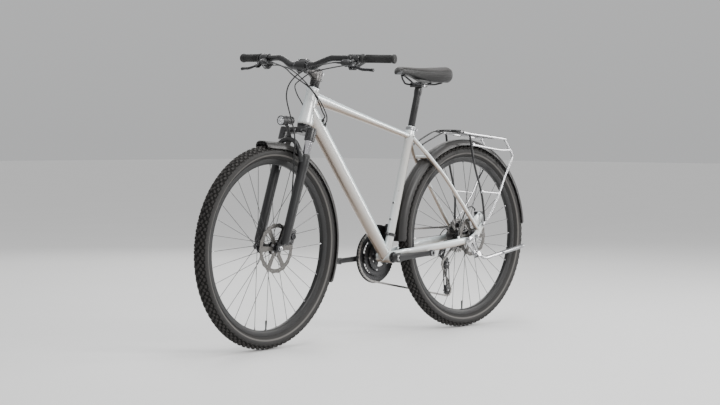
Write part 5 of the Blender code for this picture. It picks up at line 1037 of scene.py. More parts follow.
def port_end(side, row):
    """Where a cable enters the down tube, and the way out of it."""
    along = (down_back - down_front).normalized()
    above = Vector((along.z, 0, -along.x))
    base = down_front + along * (0.062 + 0.018 * row) + above * 0.014 + LEFT * (0.0195 * side)
    return base, Vector((0.30, 0.72 * side, 0.62)).normalized()


for side, row in ((1, 0), (1, 1), (-1, 0)):
    base, out = port_end(side, row)
    frame_piece.turned([(0, -0.0065), (0.0075, -0.0065), (0.0068, -0.001), (0.0056, 0.0035),
                        (0.0052, 0.0040), (0.0052, PORT_REACH - 0.0006), (0.0046, PORT_REACH),
                        (0.0026, PORT_REACH), (0.0026, PORT_REACH - 0.004),
                        (0, PORT_REACH - 0.004)], base, out, seal_rubber, 24)
frame_piece.done("bike", "pearl_paint", ["frame"])

# %% Seat clamp
clamp_piece = Piece("seat_clamp_ring")
low, high = SEAT_TOP - SEAT_UP * 0.0155, SEAT_TOP - SEAT_UP * 0.0025
clamp_piece.bush(low, high, 0.0204, 0.0165, satin_alloy, 56, 0.0010)
middle = SEAT_TOP - SEAT_UP * 0.009 - SEAT_FRONT * 0.0227
clamp_piece.rod(middle - LEFT * 0.0100, middle - LEFT * 0.0012, 0.0048, satin_alloy, 28, 0.0010)
clamp_piece.rod(middle + LEFT * 0.0012, middle + LEFT * 0.0112, 0.0048, satin_alloy, 28, 0.0010)
clamp_piece.rod(middle - LEFT * 0.0020, middle + LEFT * 0.0020, 0.0024, zinc, 16)
clamp_piece.bolt(middle + LEFT * 0.0108, LEFT, 0.0040, zinc, 0.0022)
clamp_piece.bolt(middle - LEFT * 0.0098, -LEFT, 0.0036, zinc, 0.0012, socket=False)
clamp_piece.done("bike", "silver_alloy", ["seat_clamp"])

# %% [markdown]
# ## Bearings of the frame
#
# The bottom bracket's cups close the shell on both sides and have notches for a spanner. The
# headset's lower cup sits under the head tube, and its upper cover with two spacers fills the
# room under the stem.

# %% Bottom bracket and headset
bracket_piece = Piece("bottom_bracket_cups")
SPINDLE_R, CUP_R = 0.0118, 0.0210
for side in (1, -1):
    cup = [(SPINDLE_R + 0.0006, 0.0395), (0.0150, 0.0395), (0.0156, 0.0385), (0.0182, 0.0385),
           (0.0188, 0.0395), (CUP_R - 0.0006, 0.0395), (CUP_R, 0.0388), (CUP_R, 0.0343),
           (0.0169, 0.0343), (0.0169, 0.0), (SPINDLE_R + 0.0006, 0.0)]
    bracket_piece.turned(cup, BRACKET, LEFT * side, anodised, 56, looped=True)
    notch = solid("notch", "block", (0.0190, -0.0016, 0.0), (0.0212, 0.0016, 0.0045), dark_bolt,
                  chamfer=0.0003)
    ring(bracket_piece, notch, dark_bolt, 16, 0.0, axis_view(BRACKET + LEFT * (side * 0.0350),
                                                             LEFT * side))
bracket_piece.done("bike", "brushed_steel", ["bottom_bracket"])
cup_piece = Piece("headset_lower_cup")
low = steer_point(HEAD_BASE - GAP - 0.008)
cup_piece.turned([(0.0262, 0), (0.0268, 0.0006), (0.0268, 0.0030), (0.0263, 0.0034),
                  (0.0272, 0.0040), (0.0272, 0.0075), (0.0268, 0.008), (0.0149, 0.008),
                  (0.0149, 0)], low, STEER_UP, anodised, 56, looped=True)
cup_piece.done("bike", "black_paint", ["headset_lower"])
stack_piece = Piece("headset_stack")
low = steer_point(HEAD_BASE + HEAD_LENGTH + GAP)
stack_piece.turned([(0.0228, 0), (0.0232, 0.0004), (0.0232, 0.0036), (0.0226, 0.0044),
                    (0.0190, 0.0088), (0.0180, 0.0098), (0.0146, 0.0098), (0.0146, 0)], low,
                   STEER_UP, anodised, 56, looped=True)
for bottom, height in ((0.0099, 0.0084), (0.0184, 0.0086)):
    stack_piece.bush(low + STEER_UP * bottom, low + STEER_UP * (bottom + height), 0.0178, 0.0146,
                     matt_black, 56, 0.0007)
stack_piece.done("steering", "black_paint", ["headset_spacers"], turned=True)

# %% [markdown]
# ## The fork
#
# The fork telescopes. Its upper part is the crown with the steerer and two hard-chromed
# stanchions. The lower legs slide on them and are one casting with the arch that joins them.
# Rubber wipers close the top of each lower leg.

# %% Fork crown, steerer and stanchions
LEG_SPREAD, LEG_OFFSET, LOWER_TOP, CROWN_BASE = 0.062, 0.027, 0.345, 0.405
STEERER_R, STANCHION_R = 0.0143, 0.0140
crown_top = HEAD_BASE - GAP * 2 - 0.008
stem_top = HEAD_BASE + HEAD_LENGTH + GAP * 2 + 0.027 + 0.042
crown = Piece("fork_crown_and_stanchions")
crown.rod(steer_point(crown_top - 0.015), steer_point(stem_top - 0.003), STEERER_R, satin_alloy, 48)
crown.turned([(0, 0), (0.0235, 0), (0.0262, 0.004), (0.0262, 0.0225), (0.0250, 0.026), (0, 0.026)],
             steer_point(crown_top - 0.026), STEER_UP, satin_black, 56)
arch_path = []
for t, drop, ahead in ((-1, 0.0140, LEG_OFFSET), (-0.78, 0.0085, 0.022), (-0.5, 0.0035, 0.0150),
                       (-0.2, 0.0005, 0.0095), (0.2, 0.0005, 0.0095), (0.5, 0.0035, 0.0150),
                       (0.78, 0.0085, 0.022), (1, 0.0140, LEG_OFFSET)):
    arch_path.append(steer_point(crown_top - 0.0135 - drop, ahead, LEG_SPREAD * t))
crown.tube(smooth_route(arch_path, 5), smooth_values([0.0180] * 8, 5), satin_black,
           smooth_values([0.0118] * 8, 5), sides=32, across=STEER_FRONT, power=0.8)
for _, side in SIDES:
    low = steer_point(CROWN_BASE, LEG_OFFSET, LEG_SPREAD * side)
    reach = crown_top - 0.010 - CROWN_BASE
    crown.turned([(0.0150, 0), (0.0176, 0), (0.0190, 0.0016), (0.0190, reach - 0.006),
                  (0.0182, reach - 0.0025), (0.0160, reach - 0.0006), (0.0130, reach), (0.0120,
                                                                                        reach),
                  (0.0112, reach - 0.002), (0, reach - 0.002), (0, 0.001), (0.0150, 0.001)],
                 low, STEER_UP, satin_black, 48, looped=True)
    cap = low + STEER_UP * (reach - 0.0022)
    crown.turned([(0, 0), (0.0108, 0), (0.0108, 0.0014), (0.0100, 0.0020), (0.0060, 0.0020),
                  (0.0052, 0.0006), (0, 0.0006)], cap, STEER_UP, anodised, 40)
    foot = steer_point(LOWER_TOP - 0.115, LEG_OFFSET, LEG_SPREAD * side)
    crown.rod(foot, low + STEER_UP * 0.02, STANCHION_R, chrome, 56, 0.0008)
    for along in (0.012, 0.028):
        spot = low + STEER_UP * along - STEER_FRONT * 0.0182
        crown.bolt(spot, -STEER_FRONT, 0.0040, zinc, 0.0026)
crown.bolt(steer_point(crown_top - 0.018, 0.0275, 0.016), STEER_FRONT, 0.0034, zinc, 0.0020)
crown.bolt(steer_point(crown_top - 0.018, 0.0275, -0.016), STEER_FRONT, 0.0034, zinc, 0.0020)
crown.done("steering", "black_paint", ["fork_upper"], turned=True)

# %% Lower legs, arch and dropouts
lowers = Piece("fork_lower_legs")
LEG_LENGTH = LOWER_TOP - 0.018
for _, side in SIDES:
    top = steer_point(LOWER_TOP, LEG_OFFSET, LEG_SPREAD * side)
    lowers.turned([(0.0150, 0), (0.0186, 0), (0.0192, -0.0008), (0.0192, -0.028), (0.0186, -0.036),
                   (0.0178, -0.046), (0.0172, -0.150), (0.0164, -LEG_LENGTH + 0.012),
                   (0.0158, -LEG_LENGTH + 0.005), (0.0136, -LEG_LENGTH + 0.001),
                   (0.0110, -LEG_LENGTH), (0.0070, -LEG_LENGTH), (0.0060, -LEG_LENGTH + 0.003),
                   (0, -LEG_LENGTH + 0.003), (0, -0.180), (STANCHION_R + GAP, -0.180),
                   (STANCHION_R + GAP, -0.002)],
                  top, STEER_UP, satin_black, 56, looped=True)
    lowers.turned([(0.0180, -0.0005), (0.0184, 0.0014), (0.0178, 0.0030),
                   (0.0168, 0.0036), (0.0164, 0.0060), (0.0150, 0.0088), (0.01425, 0.0090),
                   (0.01425, -0.002)], top, STEER_UP, seal_rubber, 48, looped=True)
    lowers.bolt(top - STEER_UP * (LEG_LENGTH - 0.003), -STEER_UP, 0.0052, zinc, 0.0030)
    near, far = sorted((side * 0.050, side * 0.0565))
    hang = solid("hang", "plate", capsule((0.040, 0.0), (LEG_OFFSET + 0.003, 0.034), 0.0135,
                                          0.0125),
                 near, far, satin_black, view=STEER_VIEW, chamfer=0.0010)
    slot = solid("slot", "plate", capsule((0.040, 0.0), (0.040, -0.03), 0.0049, 0.0049),
                 near - 0.002, far + 0.002, satin_black, view=STEER_VIEW)
    lowers.take(joined([hang], [slot], satin_black), satin_black)
    web = [steer_point(0.052, LEG_OFFSET, side * 0.0585), steer_point(0.034, 0.029, side * 0.0550),
           steer_point(0.016, 0.034, side * 0.0535)]
    lowers.tube(smooth_route(web, 5), smooth_values((0.0140, 0.0110, 0.0060), 5), satin_black,
                smooth_values((0.0090, 0.0060, 0.0028), 5), sides=24, across=STEER_FRONT)
ARCH_RISE, ARCH_AHEAD = 0.052, 0.064
arch_points, arch_sizes = [], (0.0120, 0.0100, 0.0085, 0.0080, 0.0080, 0.0085, 0.0100, 0.0120)
for t, rise, ahead in ((-1, -0.018, 0.038), (-0.88, 0.016, 0.060), (-0.5, 0.044, 0.0635),
                       (-0.15, ARCH_RISE, ARCH_AHEAD), (0.15, ARCH_RISE, ARCH_AHEAD),
                       (0.5, 0.044, 0.0635), (0.88, 0.016, 0.060), (1, -0.018, 0.038)):
    arch_points.append(steer_point(LOWER_TOP + rise, ahead, LEG_SPREAD * t))
lowers.tube(smooth_route(arch_points, 8), smooth_values(arch_sizes, 8), satin_black,
            smooth_values([0.0085] * 8, 8), sides=24, across=STEER_FRONT, power=0.75)
for along in (0.036, 0.072):
    lowers.block((0.0043, along, 0.0465), (LEG_OFFSET - 0.008, along + 0.011, 0.0565), satin_black,
                 STEER_VIEW, 0.0020, 3)
lowers.done("fork_lowers", "black_paint", ["fork_lowers"], turned=True)

# %% [markdown]
# ## The wheels
#
# Both wheels are built by the same functions. A tyre is a turned carcass with a lighter band
# low on its side and eight rows of rubber knobs. The rim is a hollow hoop. The spokes leave the
# hub's flanges in pairs that lean both ways, so each crosses two others on its way, and they end
# in bright nipples in the rim.

# %% Tyre
TYRE_SIDE = [(0.3125, 0.0103), (0.3172, 0.0104), (0.3192, 0.0128), (0.3225, 0.0172),
             (0.3275, 0.0221), (0.3330, 0.0251), (0.3388, 0.0262), (0.3440, 0.0258),
             (0.3490, 0.0238), (0.3532, 0.0202), (0.3565, 0.0158), (0.3588, 0.0108),
             (0.3602, 0.0055)]
KNOB_ROWS = ((0.0044, 0.36235, 0, 0.0066, 0.0035), (0.0121, 0.3600, 16, 0.0060, 0.0034),
             (0.0187, 0.3556, 36, 0.0056, 0.0036), (0.0236, 0.3484, 66, 0.0046, 0.0030))


def tyre(name, centre, body, node, turn):
    piece = Piece(name)
    crest = [(0.3608, 0.0)]
    inner = [(0.3125, -0.0080), (0.3300, -0.0200), (0.3480, -0.0190), (0.3570, -0.0080),
             (0.3584, 0.0), (0.3570, 0.0080), (0.3480, 0.0190), (0.3300, 0.0200), (0.3125, 0.0080)]
    profile = TYRE_SIDE + crest + [(r, -y) for r, y in reversed(TYRE_SIDE)] + inner
    faces = piece.turned(profile, centre, LEFT, sidewall, 144, looped=True)
    hub = Vector(centre)
    band, shaded_floor_faces = [], []
    for face in faces:
        off = face.calc_center_median() - hub
        radius = math.hypot(off.x, off.z)
        if 0.3268 < radius < 0.3335 and abs(off.y) > 0.0205:
            band.append(face)
        elif radius > 0.3470 and abs(off.y) < 0.0250:
            shaded_floor_faces.append(face)
    piece.use(side_band, band)
    # The floor between the knobs takes the darker rubber: painted shade.
    piece.use(shaded_tread_floor, shaded_floor_faces)
    for row, (y, radius, lean, long, wide) in enumerate(KNOB_ROWS):
        for side in (1, -1):
            knob = Piece("knob")
            view = (Matrix.Rotation(math.radians(-lean * side), 4, "Y")
                    @ Matrix.Rotation(math.radians((24, -18, 10, 0)[row] * side), 4, "X"))
            knob.block((-0.0028, -long, -wide), (0.0023, long, wide), tread, view, 0.0006, 1)
            for vert in knob.mesh.verts:
                if vert.co.x > 0.0008:
                    vert.co.y *= 0.86
                    vert.co.z *= 0.86
            ring(piece, knob, tread, 90, radius, wheel_view(centre, y * side),
                 2.0 * (row % 2) + (1.0 if side > 0 else 0))
    for side in (1, -1):
        rib = Piece("rib")
        rib.block((-0.0003, -0.0009, -0.0002), (0.0040, 0.0009, 0.0006), sidewall,
                  Matrix.Rotation(math.radians(-64 * side), 4, "Y"), 0.0002, 1)
        ring(piece, rib, sidewall, 180, 0.3475, wheel_view(centre, 0.0247 * side))
    return piece.done(body, "tyre_rubber", [node], turned=turn)


# %% Rim with its valve
def rim(name, centre, body, node, turn):
    piece = Piece(name)
    side = [(0.2960, 0.0), (0.2961, 0.0045), (0.2968, 0.0075), (0.2990, 0.0096), (0.3030, 0.0108),
            (0.3090, 0.0118), (0.3150, 0.0124), (0.3166, 0.0125), (0.3170, 0.0122),
            (0.3168, 0.0113), (0.3155, 0.0109), (0.3140, 0.0107), (0.3122, 0.0107),
            (0.3116, 0.0085), (0.3092, 0.0045), (0.3088, 0.0)]
    profile = side + [(r, -y) for r, y in reversed(side[1:-1])]
    piece.turned(profile, centre, LEFT, rim_black, 144, looped=True)
    stem = Vector((0, 0, -1))
    root = Vector(centre) + stem * 0.2962
    piece.rod(root + stem * 0.0100, root - stem * 0.0260, 0.0031, seal_rubber, 20, 0.0004)
    piece.bush(root, root - stem * 0.0020, 0.0062, 0.0032, zinc, 24, 0.0004)
    piece.rod(root - stem * 0.0200, root - stem * 0.0345, 0.0037, plastic, 20, 0.0010)
    return piece.done(body, "black_paint", [node], turned=turn)


# %% Spokes and nipples
SPOKE_R, SPOKE_END_R, SPOKE_PAIRS = 0.0010, 0.2958, 8
SPOKE_LEAN = math.radians(45)


def spokes(name, centre, flange_y, body, node, turn, phase):
    """Sixteen spokes of one side: half lean forwards and half backwards."""
    piece = Piece(name)
    sense = 1 if flange_y > 0 else -1
    for lead in (1, -1):
        lift = 0.0019 * lead
        swing = SPOKE_LEAN * lead
        hub_spot = Vector((0.0205, 0, lift))
        elbow = Vector((0.0215, 0.0004 * lead, lift))
        end = Vector((SPOKE_END_R * math.cos(swing), SPOKE_END_R * math.sin(swing),
                      -flange_y * 0.93))
        part = Piece("spoke")
        way = (end - elbow).normalized()
        path = [hub_spot, elbow, elbow + way * 0.004, end - way * 0.010]
        part.tube(path, SPOKE_R, dark_spoke, sides=8, across=UP)
        head = [(0, -0.0012), (0.0021, -0.0010), (0.0023, 0.0), (0.0014, 0.0009), (0, 0.0012)]
        part.turned(head, hub_spot - UP * lift + UP * (-0.0022 * lead), UP * lead, dark_spoke, 8)
        view = wheel_view(centre, flange_y)
        start = phase + (22.5 if lead > 0 else 0)
        ring(piece, part, dark_spoke, SPOKE_PAIRS, 0.0, view, start)
        nipple = Piece("nipple")
        nipple.turned([(0, 0.0), (0.0013, 0.0), (0.0017, 0.0012), (0.0017, 0.0100),
                       (0.0026, 0.0108), (0.0026, 0.0140), (0, 0.0140)],
                      end - way * 0.0135, way, zinc, 8)
        ring(piece, nipple, zinc, SPOKE_PAIRS, 0.0, view, start)
    print(name, "lean from flange at", flange_y * sense, "m")
    return piece.done(body, "brushed_steel", [node], turned=turn)


# %% [markdown]
# A disc rotor is laser-cut steel. Its rim is waved, rows of holes let water out, and slanted
# arms carry it to six bolts round the hub.

# %% Rotor
def rotor(name, centre, y, outer, seat_r, body, node, material, turn):
    piece = Piece(name)
    middle = (centre.x, centre.z)
    waves, fine = 18, 10
    rim_line = []
    for k in range(waves * fine):
        wave = math.cos(2 * math.pi * k / fine)
        rim_line.append(polar(middle, outer - 0.0014 + 0.0014 * wave, 360 * k / (waves * fine)))
    holes = [ring_of_points(middle, seat_r, 48)]
    for k in range(6):
        start = 60 * k + 8
        outside = arc(middle, outer - 0.0165, start, start + 44, 14)
        inside = arc(middle, 0.030, start + 38, start + 6, 8)
        holes.append(outside + inside)
    for k in range(36):
        step = k % 3
        spot = polar(middle, outer - 0.0125 + 0.0038 * step, 10 * k + 4)
        holes.append(ring_of_points(spot, 0.0017, 10))
    piece.plate(rim_line, y - 0.0009, y + 0.0009, material, holes)
    bolt = Piece("bolt")
    bolt.bolt((0, 0, 0), UP, 0.0042, zinc, 0.0024)
    ring(piece, bolt, zinc, 6, 0.0220, wheel_view(centre, y + 0.0009), 30)
    return piece.done(body, "brushed_steel", [node], turned=turn)


# %% [markdown]
# A hub is a turned barrel with two flanges. Its axle passes through it and is held by a domed
# nut outside each dropout.

# %% Hub and axle
def hub(name, centre, spacing, flanges, rotor_y, body, node, turn, freehub):
    piece = Piece(name)
    end = spacing / 2 - GAP
    seat = rotor_y - 0.0009 - GAP
    left, right = flanges
    profile = [(0.0051, end), (0.0078, end), (0.0085, end - 0.0008), (0.0085, rotor_y + 0.0042),
               (0.0150, rotor_y + 0.0034), (0.0153, rotor_y + 0.0028), (0.0153, seat),
               (0.0258, seat), (0.0258, seat - 0.0028), (0.0196, seat - 0.0040),
               (0.0168, left + 0.0018), (0.0218, left + 0.0016), (0.0238, left + 0.0008),
               (0.0238, left - 0.0008), (0.0218, left - 0.0016), (0.0160, left - 0.0040),
               (0.0138, left - 0.0100), (0.0130, (left + right) / 2), (0.0138, right + 0.0100),
               (0.0160, right + 0.0040), (0.0218, right + 0.0016), (0.0238, right + 0.0008),
               (0.0238, right - 0.0008), (0.0218, right - 0.0016)]
    if freehub:
        profile += [(0.0168, right - 0.0022), (0.0160, right - 0.0030), (0.0160, -0.0588),
                    (0.0100, -0.0592), (0.0100, -end), (0.0051, -end)]
    else:
        profile += [(0.0150, right - 0.0026), (0.0110, right - 0.0070), (0.0085, right - 0.0090),
                    (0.0085, -end), (0.0051, -end)]
    if freehub:
        profile = [(min(r, 0.0225) if y < -0.01 else r, y) for r, y in profile]
    piece.turned(profile, centre, LEFT, anodised, 64, looped=True)
    lock = [(0.0086, 0), (0.0112, 0), (0.0120, 0.0008), (0.0120, 0.0022), (0.0112, 0.0028),
            (0.0086, 0.0028)]
    for side in (1, -1):
        face = side * (end - 0.0030)
        piece.turned(lock, Vector(centre) + LEFT * face, LEFT * side, zinc, 6, looped=True)
    return piece.done(body, "black_paint", [node], turned=turn)


def axle(name, centre, spacing, plate_thick, body, node, turn):
    piece = Piece(name)
    face = spacing / 2 + plate_thick + GAP
    piece.rod(Vector(centre) - LEFT * face, Vector(centre) + LEFT * face, 0.0045, zinc, 24)
    for side in (1, -1):
        spot = Vector(centre) + LEFT * (side * face)
        piece.turned([(0.0045, 0), (0.0090, 0), (0.0090, 0.0014), (0.0078, 0.0018), (0.0045,
                                                                                     0.0018)],
                     spot, LEFT * side, zinc, 40, looped=True)
        piece.turned([(0, 0.0018), (0.0086, 0.0018), (0.0086, 0.0070), (0.0076, 0.0082),
                      (0.0060, 0.0104), (0.0036, 0.0110), (0, 0.0110)], spot, LEFT * side, zinc, 6)
    return piece.done(body, "brushed_steel", [node], turned=turn)


# %% Both wheels
REAR_FLANGES, FRONT_FLANGES = (0.033, -0.0165), (0.022, -0.033)
for word, centre, spacing, flanges, disc_y, disc_r, turn, steel in (
        ("rear", REAR_AXLE, REAR_SPACING, REAR_FLANGES, 0.0525, 0.080, False, rear_disc),
        ("front", FRONT_AXLE, FRONT_SPACING, FRONT_FLANGES, 0.0395, 0.090, True, front_disc)):
    wheel = word + "_wheel"
    tyre(word + "_tyre_knobbed", centre, wheel, word + "_tyre", turn)
    rim(word + "_rim_hoop", centre, wheel, word + "_rim", turn)
    spokes(word + "_spoke_set_left", centre, flanges[0], wheel, word + "_spokes_left", turn, 0.0)
    spokes(word + "_spoke_set_right", centre, flanges[1], wheel, word + "_spokes_right", turn,
           11.25)
    rotor(word + "_disc", centre, disc_y, disc_r, 0.0157, wheel, word + "_brake_rotor", steel, turn)
    hub(word + "_hub_shell", centre, spacing, flanges, disc_y, wheel, word + "_hub", turn,
        word == "rear")
axle("rear_axle_nuts", REAR_AXLE, REAR_SPACING, PLATE_THICK, "bike", "rear_axle", False)
axle("front_axle_nuts", FRONT_AXLE, FRONT_SPACING, PLATE_THICK, "fork_lowers", "front_axle",
     True)

# %% [markdown]
# ## The disc brakes
#
# A caliper is a block of metal in two halves, bolted together over the disc, with a piston
# housing on its face and a hose joint, the banjo, on top.

# %% Calipers
def slot_disc(centre, y, radius, material):
    cut = Piece("slot")
    cut.rod(centre + LEFT * (y - 0.0017), centre + LEFT * (y + 0.0017), radius, material, 96)
    return cut


FRONT_DISC_Y, REAR_DISC_Y = 0.0395, 0.0525
front_brake = Piece("front_caliper")
y = FRONT_DISC_Y
FRONT_BANJO = Vector((-0.004, 0.100, 0.048))
shell_block = solid("shell", "block", (-0.030, 0.032, y - 0.0120), (0.004, 0.088, y + 0.0160),
                    satin_black, STEER_VIEW, 0.0050, 4)
window = solid("window", "block", (-0.032, 0.046, y - 0.0052), (-0.013, 0.074, y + 0.0052),
               satin_black, STEER_VIEW, 0.0015, 2)
front_brake.take(joined([shell_block], [slot_disc(FRONT_AXLE, y, 0.0925, satin_black), window],
                        satin_black), satin_black)
piston = STEER_VIEW @ Vector((-0.016, 0.060, y + 0.0150))
front_brake.turned([(0.0128, 0), (0.0125, 0.0024), (0.0112, 0.0042), (0.0104, 0.0060),
                    (0.0080, 0.0060), (0.0074, 0.0048), (0, 0.0048)][::-1] + [(0, 0)], piston,
                   LEFT, anodised, 40)
for spot in ((-0.0245, 0.0375), (-0.0245, 0.0825), (-0.0015, 0.0400), (-0.0015, 0.0800)):
    front_brake.bolt(STEER_VIEW @ Vector((*spot, y + 0.0156)), LEFT, 0.0036, zinc, 0.0026)
for near, far in ((-0.0046, -0.0013), (0.0013, 0.0046)):
    front_brake.block((-0.0285, 0.0480, y + near), (-0.0125, 0.0720, y + far), cog_steel,
                      STEER_VIEW, 0.0005)
banjo = STEER_VIEW @ FRONT_BANJO
front_brake.rod(banjo - STEER_UP * 0.016, banjo, 0.0042, zinc, 6)
front_brake.bush(banjo - STEER_UP * 0.0060, banjo - STEER_UP * 0.0004, 0.0048, 0.0027, anodised, 24)
front_brake.done("fork_lowers", "black_paint", ["front_brake_caliper"], turned=True)

rear_brake = Piece("rear_caliper")
y = REAR_DISC_Y
shell_block = solid("shell", "block", (-0.058, y - 0.0120, 0.414), (-0.023, 0.0602 - GAP, 0.462),
                    polished, None, 0.0042, 4)
window = solid("window", "block", (-0.060, y - 0.0040, 0.426), (-0.044, y + 0.0040, 0.450),
               polished, None, 0.0015, 2)
rear_brake.take(joined([shell_block], [slot_disc(REAR_AXLE, y, 0.0825, polished), window],
                       polished), caliper_alloy)
spot = Vector((-0.040, y - 0.0100, 0.438))
rear_brake.turned([(0, 0), (0.0125, 0), (0.0122, 0.0044), (0.0110, 0.0076), (0.0098, 0.0090),
                   (0.0076, 0.0090), (0.0070, 0.0078), (0, 0.0078)], spot, -LEFT, polished, 40)
for x, z in ((-0.0525, 0.4195), (-0.0525, 0.4570), (-0.0275, 0.4195), (-0.0275, 0.4570)):
    rear_brake.bolt((x, y - 0.0116, z), -LEFT, 0.0032, zinc, 0.0022)
for near, far in ((-0.0042, -0.0013), (0.0013, 0.0042)):
    rear_brake.block((-0.0560, y + near, 0.4270), (-0.0440, y + far, 0.4490), cog_steel, None,
                     0.0005)
tail = [(-0.030, 0.0450, 0.458), (-0.020, 0.0455, 0.474), (0.004, 0.0475, 0.483),
        (0.034, 0.0510, 0.470), (0.062, 0.0550, 0.440), (0.082, 0.0590, 0.406),
        port_base + port_out * 0.014, port_base + port_out * GAP]
tail_path = smooth_route(tail, 8)
rear_brake.tube(tail_path, 0.0025, hose_rubber, sides=16, across=FORWARD + LEFT * 0.3)
way = (tail_path[6] - tail_path[0]).normalized()
rear_brake.rod(tail_path[0] - way * 0.004, tail_path[0] + way * 0.0120, 0.0040, zinc, 6)
rear_brake.rod(tail_path[0] + way * 0.0120, tail_path[0] + way * 0.0180, 0.0033, seal_rubber, 20,
               0.0006)
for x, z in ((-0.030, 0.4560), (-0.0380, 0.4100)):
    rear_brake.bolt((x + 0.004, 0.0662, z - 0.004), LEFT, 0.0040, zinc, 0.0030)
rear_brake.done("bike", "silver_alloy", ["rear_brake_caliper"])

# %% [markdown]
# ## The cockpit
#
# The stem clamps the steerer behind and the bar in front, where a four-bolt faceplate holds it.
# The bar is thick at the clamp, tapers, rises and sweeps back. Every bolt head is set down by
# the ring tree or one by one where it really sits.

# %% Where the bar lies
CLAMP_HEIGHT, BAR_CLAMP_R, BAR_R, BAR_HALF = 0.042, 0.0159, 0.0111, 0.358
GRIP_LENGTH, GRIP_R = 0.125, 0.0145
stem_middle = HEAD_BASE + HEAD_LENGTH + GAP * 2 + 0.027 + CLAMP_HEIGHT / 2
bar_centre = steer_point(stem_middle + 0.0075, 0.085)
bar_root = bar_centre + Vector((-0.018, 0.145, 0.0290))
bar_tip = bar_centre + Vector((-0.076, BAR_HALF, 0.0290))
bar_straight = (bar_tip - bar_root).length


def bar_heading(side):
    return mirrored((bar_tip - bar_root).normalized(), side)


def bar_point(distance, side):
    """A point on the bar's straight outer stretch, by its distance from the end."""
    return mirrored(bar_root, side) + bar_heading(side) * (bar_straight - distance)


print("bar is", round(2 * BAR_HALF, 3), "m wide")

# %% Stem and faceplate
stem = Piece("stem_forged")
low = steer_point(stem_middle - CLAMP_HEIGHT / 2)
stem.turned([(0.0146, 0), (0.0184, 0), (0.0190, 0.0008), (0.0190, 0.0402), (0.0184, 0.0412),
             (0.0146, 0.0412)], low, STEER_UP, stem_black, 56, looped=True)
stem.turned([(0, 0.0395), (0.0160, 0.0395), (0.0160, 0.0414), (0.0178, 0.0416), (0.0180, 0.0430),
             (0.0168, 0.0452), (0.0120, 0.0460), (0.0062, 0.0460), (0.0060, 0.0440), (0, 0.0440)],
            low, STEER_UP, anodised, 56)
stem.bolt(low + STEER_UP * 0.0441, STEER_UP, 0.0045, zinc, 0.0018)
start = steer_point(stem_middle, 0.0140)
reach = bar_centre - STEER_FRONT * 0.0150
arm_path = [start, start.lerp(reach, 0.25), start.lerp(reach, 0.5), start.lerp(reach, 0.8), reach]
stem.tube(smooth_route(arm_path, 5),
          smooth_values((0.0155, 0.0140, 0.0145, 0.0175, 0.0212), 5), stem_black,
          smooth_values((0.0185, 0.0158, 0.0145, 0.0158, 0.0185), 5), sides=40, power=0.8)
stem_mid = STEER_VIEW.inverted() @ bar_centre


def half_ring(name, front):
    """Half of the bar clamp, a ring cut along the middle."""
    centre2 = (stem_mid.x, stem_mid.y)
    begin = -90 if front else 90
    outline = arc(centre2, BAR_CLAMP_R + 0.0046, begin, begin + 180, 28)
    outline += arc(centre2, BAR_CLAMP_R + 0.0003, begin + 180, begin, 28)
    shift = 0.0004 if front else 0.0
    outline = [(u + shift, v) for u, v in outline]
    return solid(name, "plate", outline, -0.023, 0.023, satin_black, view=STEER_VIEW,
                 chamfer=0.0006)


stem.take(joined([half_ring("back_half", False)], [], satin_black), satin_black)
for rise in (-1, 1):
    v = stem_mid.y + rise * (BAR_CLAMP_R + 0.0055)
    for side in (-1, 1):
        stem.rod(STEER_VIEW @ Vector((stem_mid.x - 0.0110, v, side * 0.0155)),
                 STEER_VIEW @ Vector((stem_mid.x - 0.0002, v, side * 0.0155)), 0.0052, satin_black,
                 28, 0.0008)
    pinch = low + STEER_UP * (0.021 + rise * 0.0110) - STEER_FRONT * 0.0175
    stem.rod(pinch - LEFT * 0.0140, pinch + LEFT * 0.0140, 0.0050, satin_black, 28, 0.0010)
    stem.bolt(pinch + LEFT * (0.0138 * rise), LEFT * rise, 0.0038, zinc, 0.0024)
stem.done("steering", "black_paint", ["stem"], turned=True)
face = Piece("stem_faceplate_forged")
face.take(joined([half_ring("front_half", True)], [], satin_black), satin_black)
for rise in (-1, 1):
    v = stem_mid.y + rise * (BAR_CLAMP_R + 0.0040)
    face.block((stem_mid.x + GAP, v - 0.0045, -0.021), (stem_mid.x + 0.0085, v + 0.0045, 0.021),
               satin_black, STEER_VIEW, 0.0022, 4)
    for side in (-1, 1):
        spot = STEER_VIEW @ Vector((stem_mid.x + 0.0080, v + rise * 0.0006, side * 0.0155))
        face.bolt(spot, STEER_FRONT, 0.0039, zinc, 0.0034)
face.done("steering", "black_paint", ["stem_faceplate"], turned=True)

# %% Handlebar
bar = Piece("handlebar_butted")
half = [(0.0, 0.0, 0.0), (0.0, 0.034, 0.0), (-0.002, 0.058, 0.003), (-0.010, 0.096, 0.0205),
        (-0.014, 0.120, 0.0275), (-0.018, 0.145, 0.0290), (-0.076, BAR_HALF, 0.0290)]
radii = [BAR_CLAMP_R, BAR_CLAMP_R, BAR_R + 0.0025, BAR_R, BAR_R, BAR_R, BAR_R]
path = [bar_centre + mirrored(p, -1) for p in reversed(half[1:])] + [bar_centre + Vector(p)
                                                                     for p in half]
sizes = list(reversed(radii[1:])) + radii
bar_sizes = [max(BAR_R, min(BAR_CLAMP_R, v)) for v in smooth_values(sizes, 8)]
bar.tube(smooth_route(path, 8), bar_sizes, satin_black, sides=40, across=FORWARD)
for side in (-1, 1):
    for k in range(5):
        spot = bar_centre + LEFT * (side * (0.0250 + 0.0022 * k))
        bar.bush(spot - LEFT * 0.00025, spot + LEFT * 0.00025, BAR_CLAMP_R + 0.00012,
                 BAR_CLAMP_R - 0.0010, satin_alloy, 40, 0.00005)
bar.done("steering", "black_paint", ["handlebar"], turned=True)

# %% [markdown]
# A grip is moulded rubber. Rows of small ribs cover it so that it does not slip, a ring stops
# the hand on the inner side, and a wide flange closes the outer end.

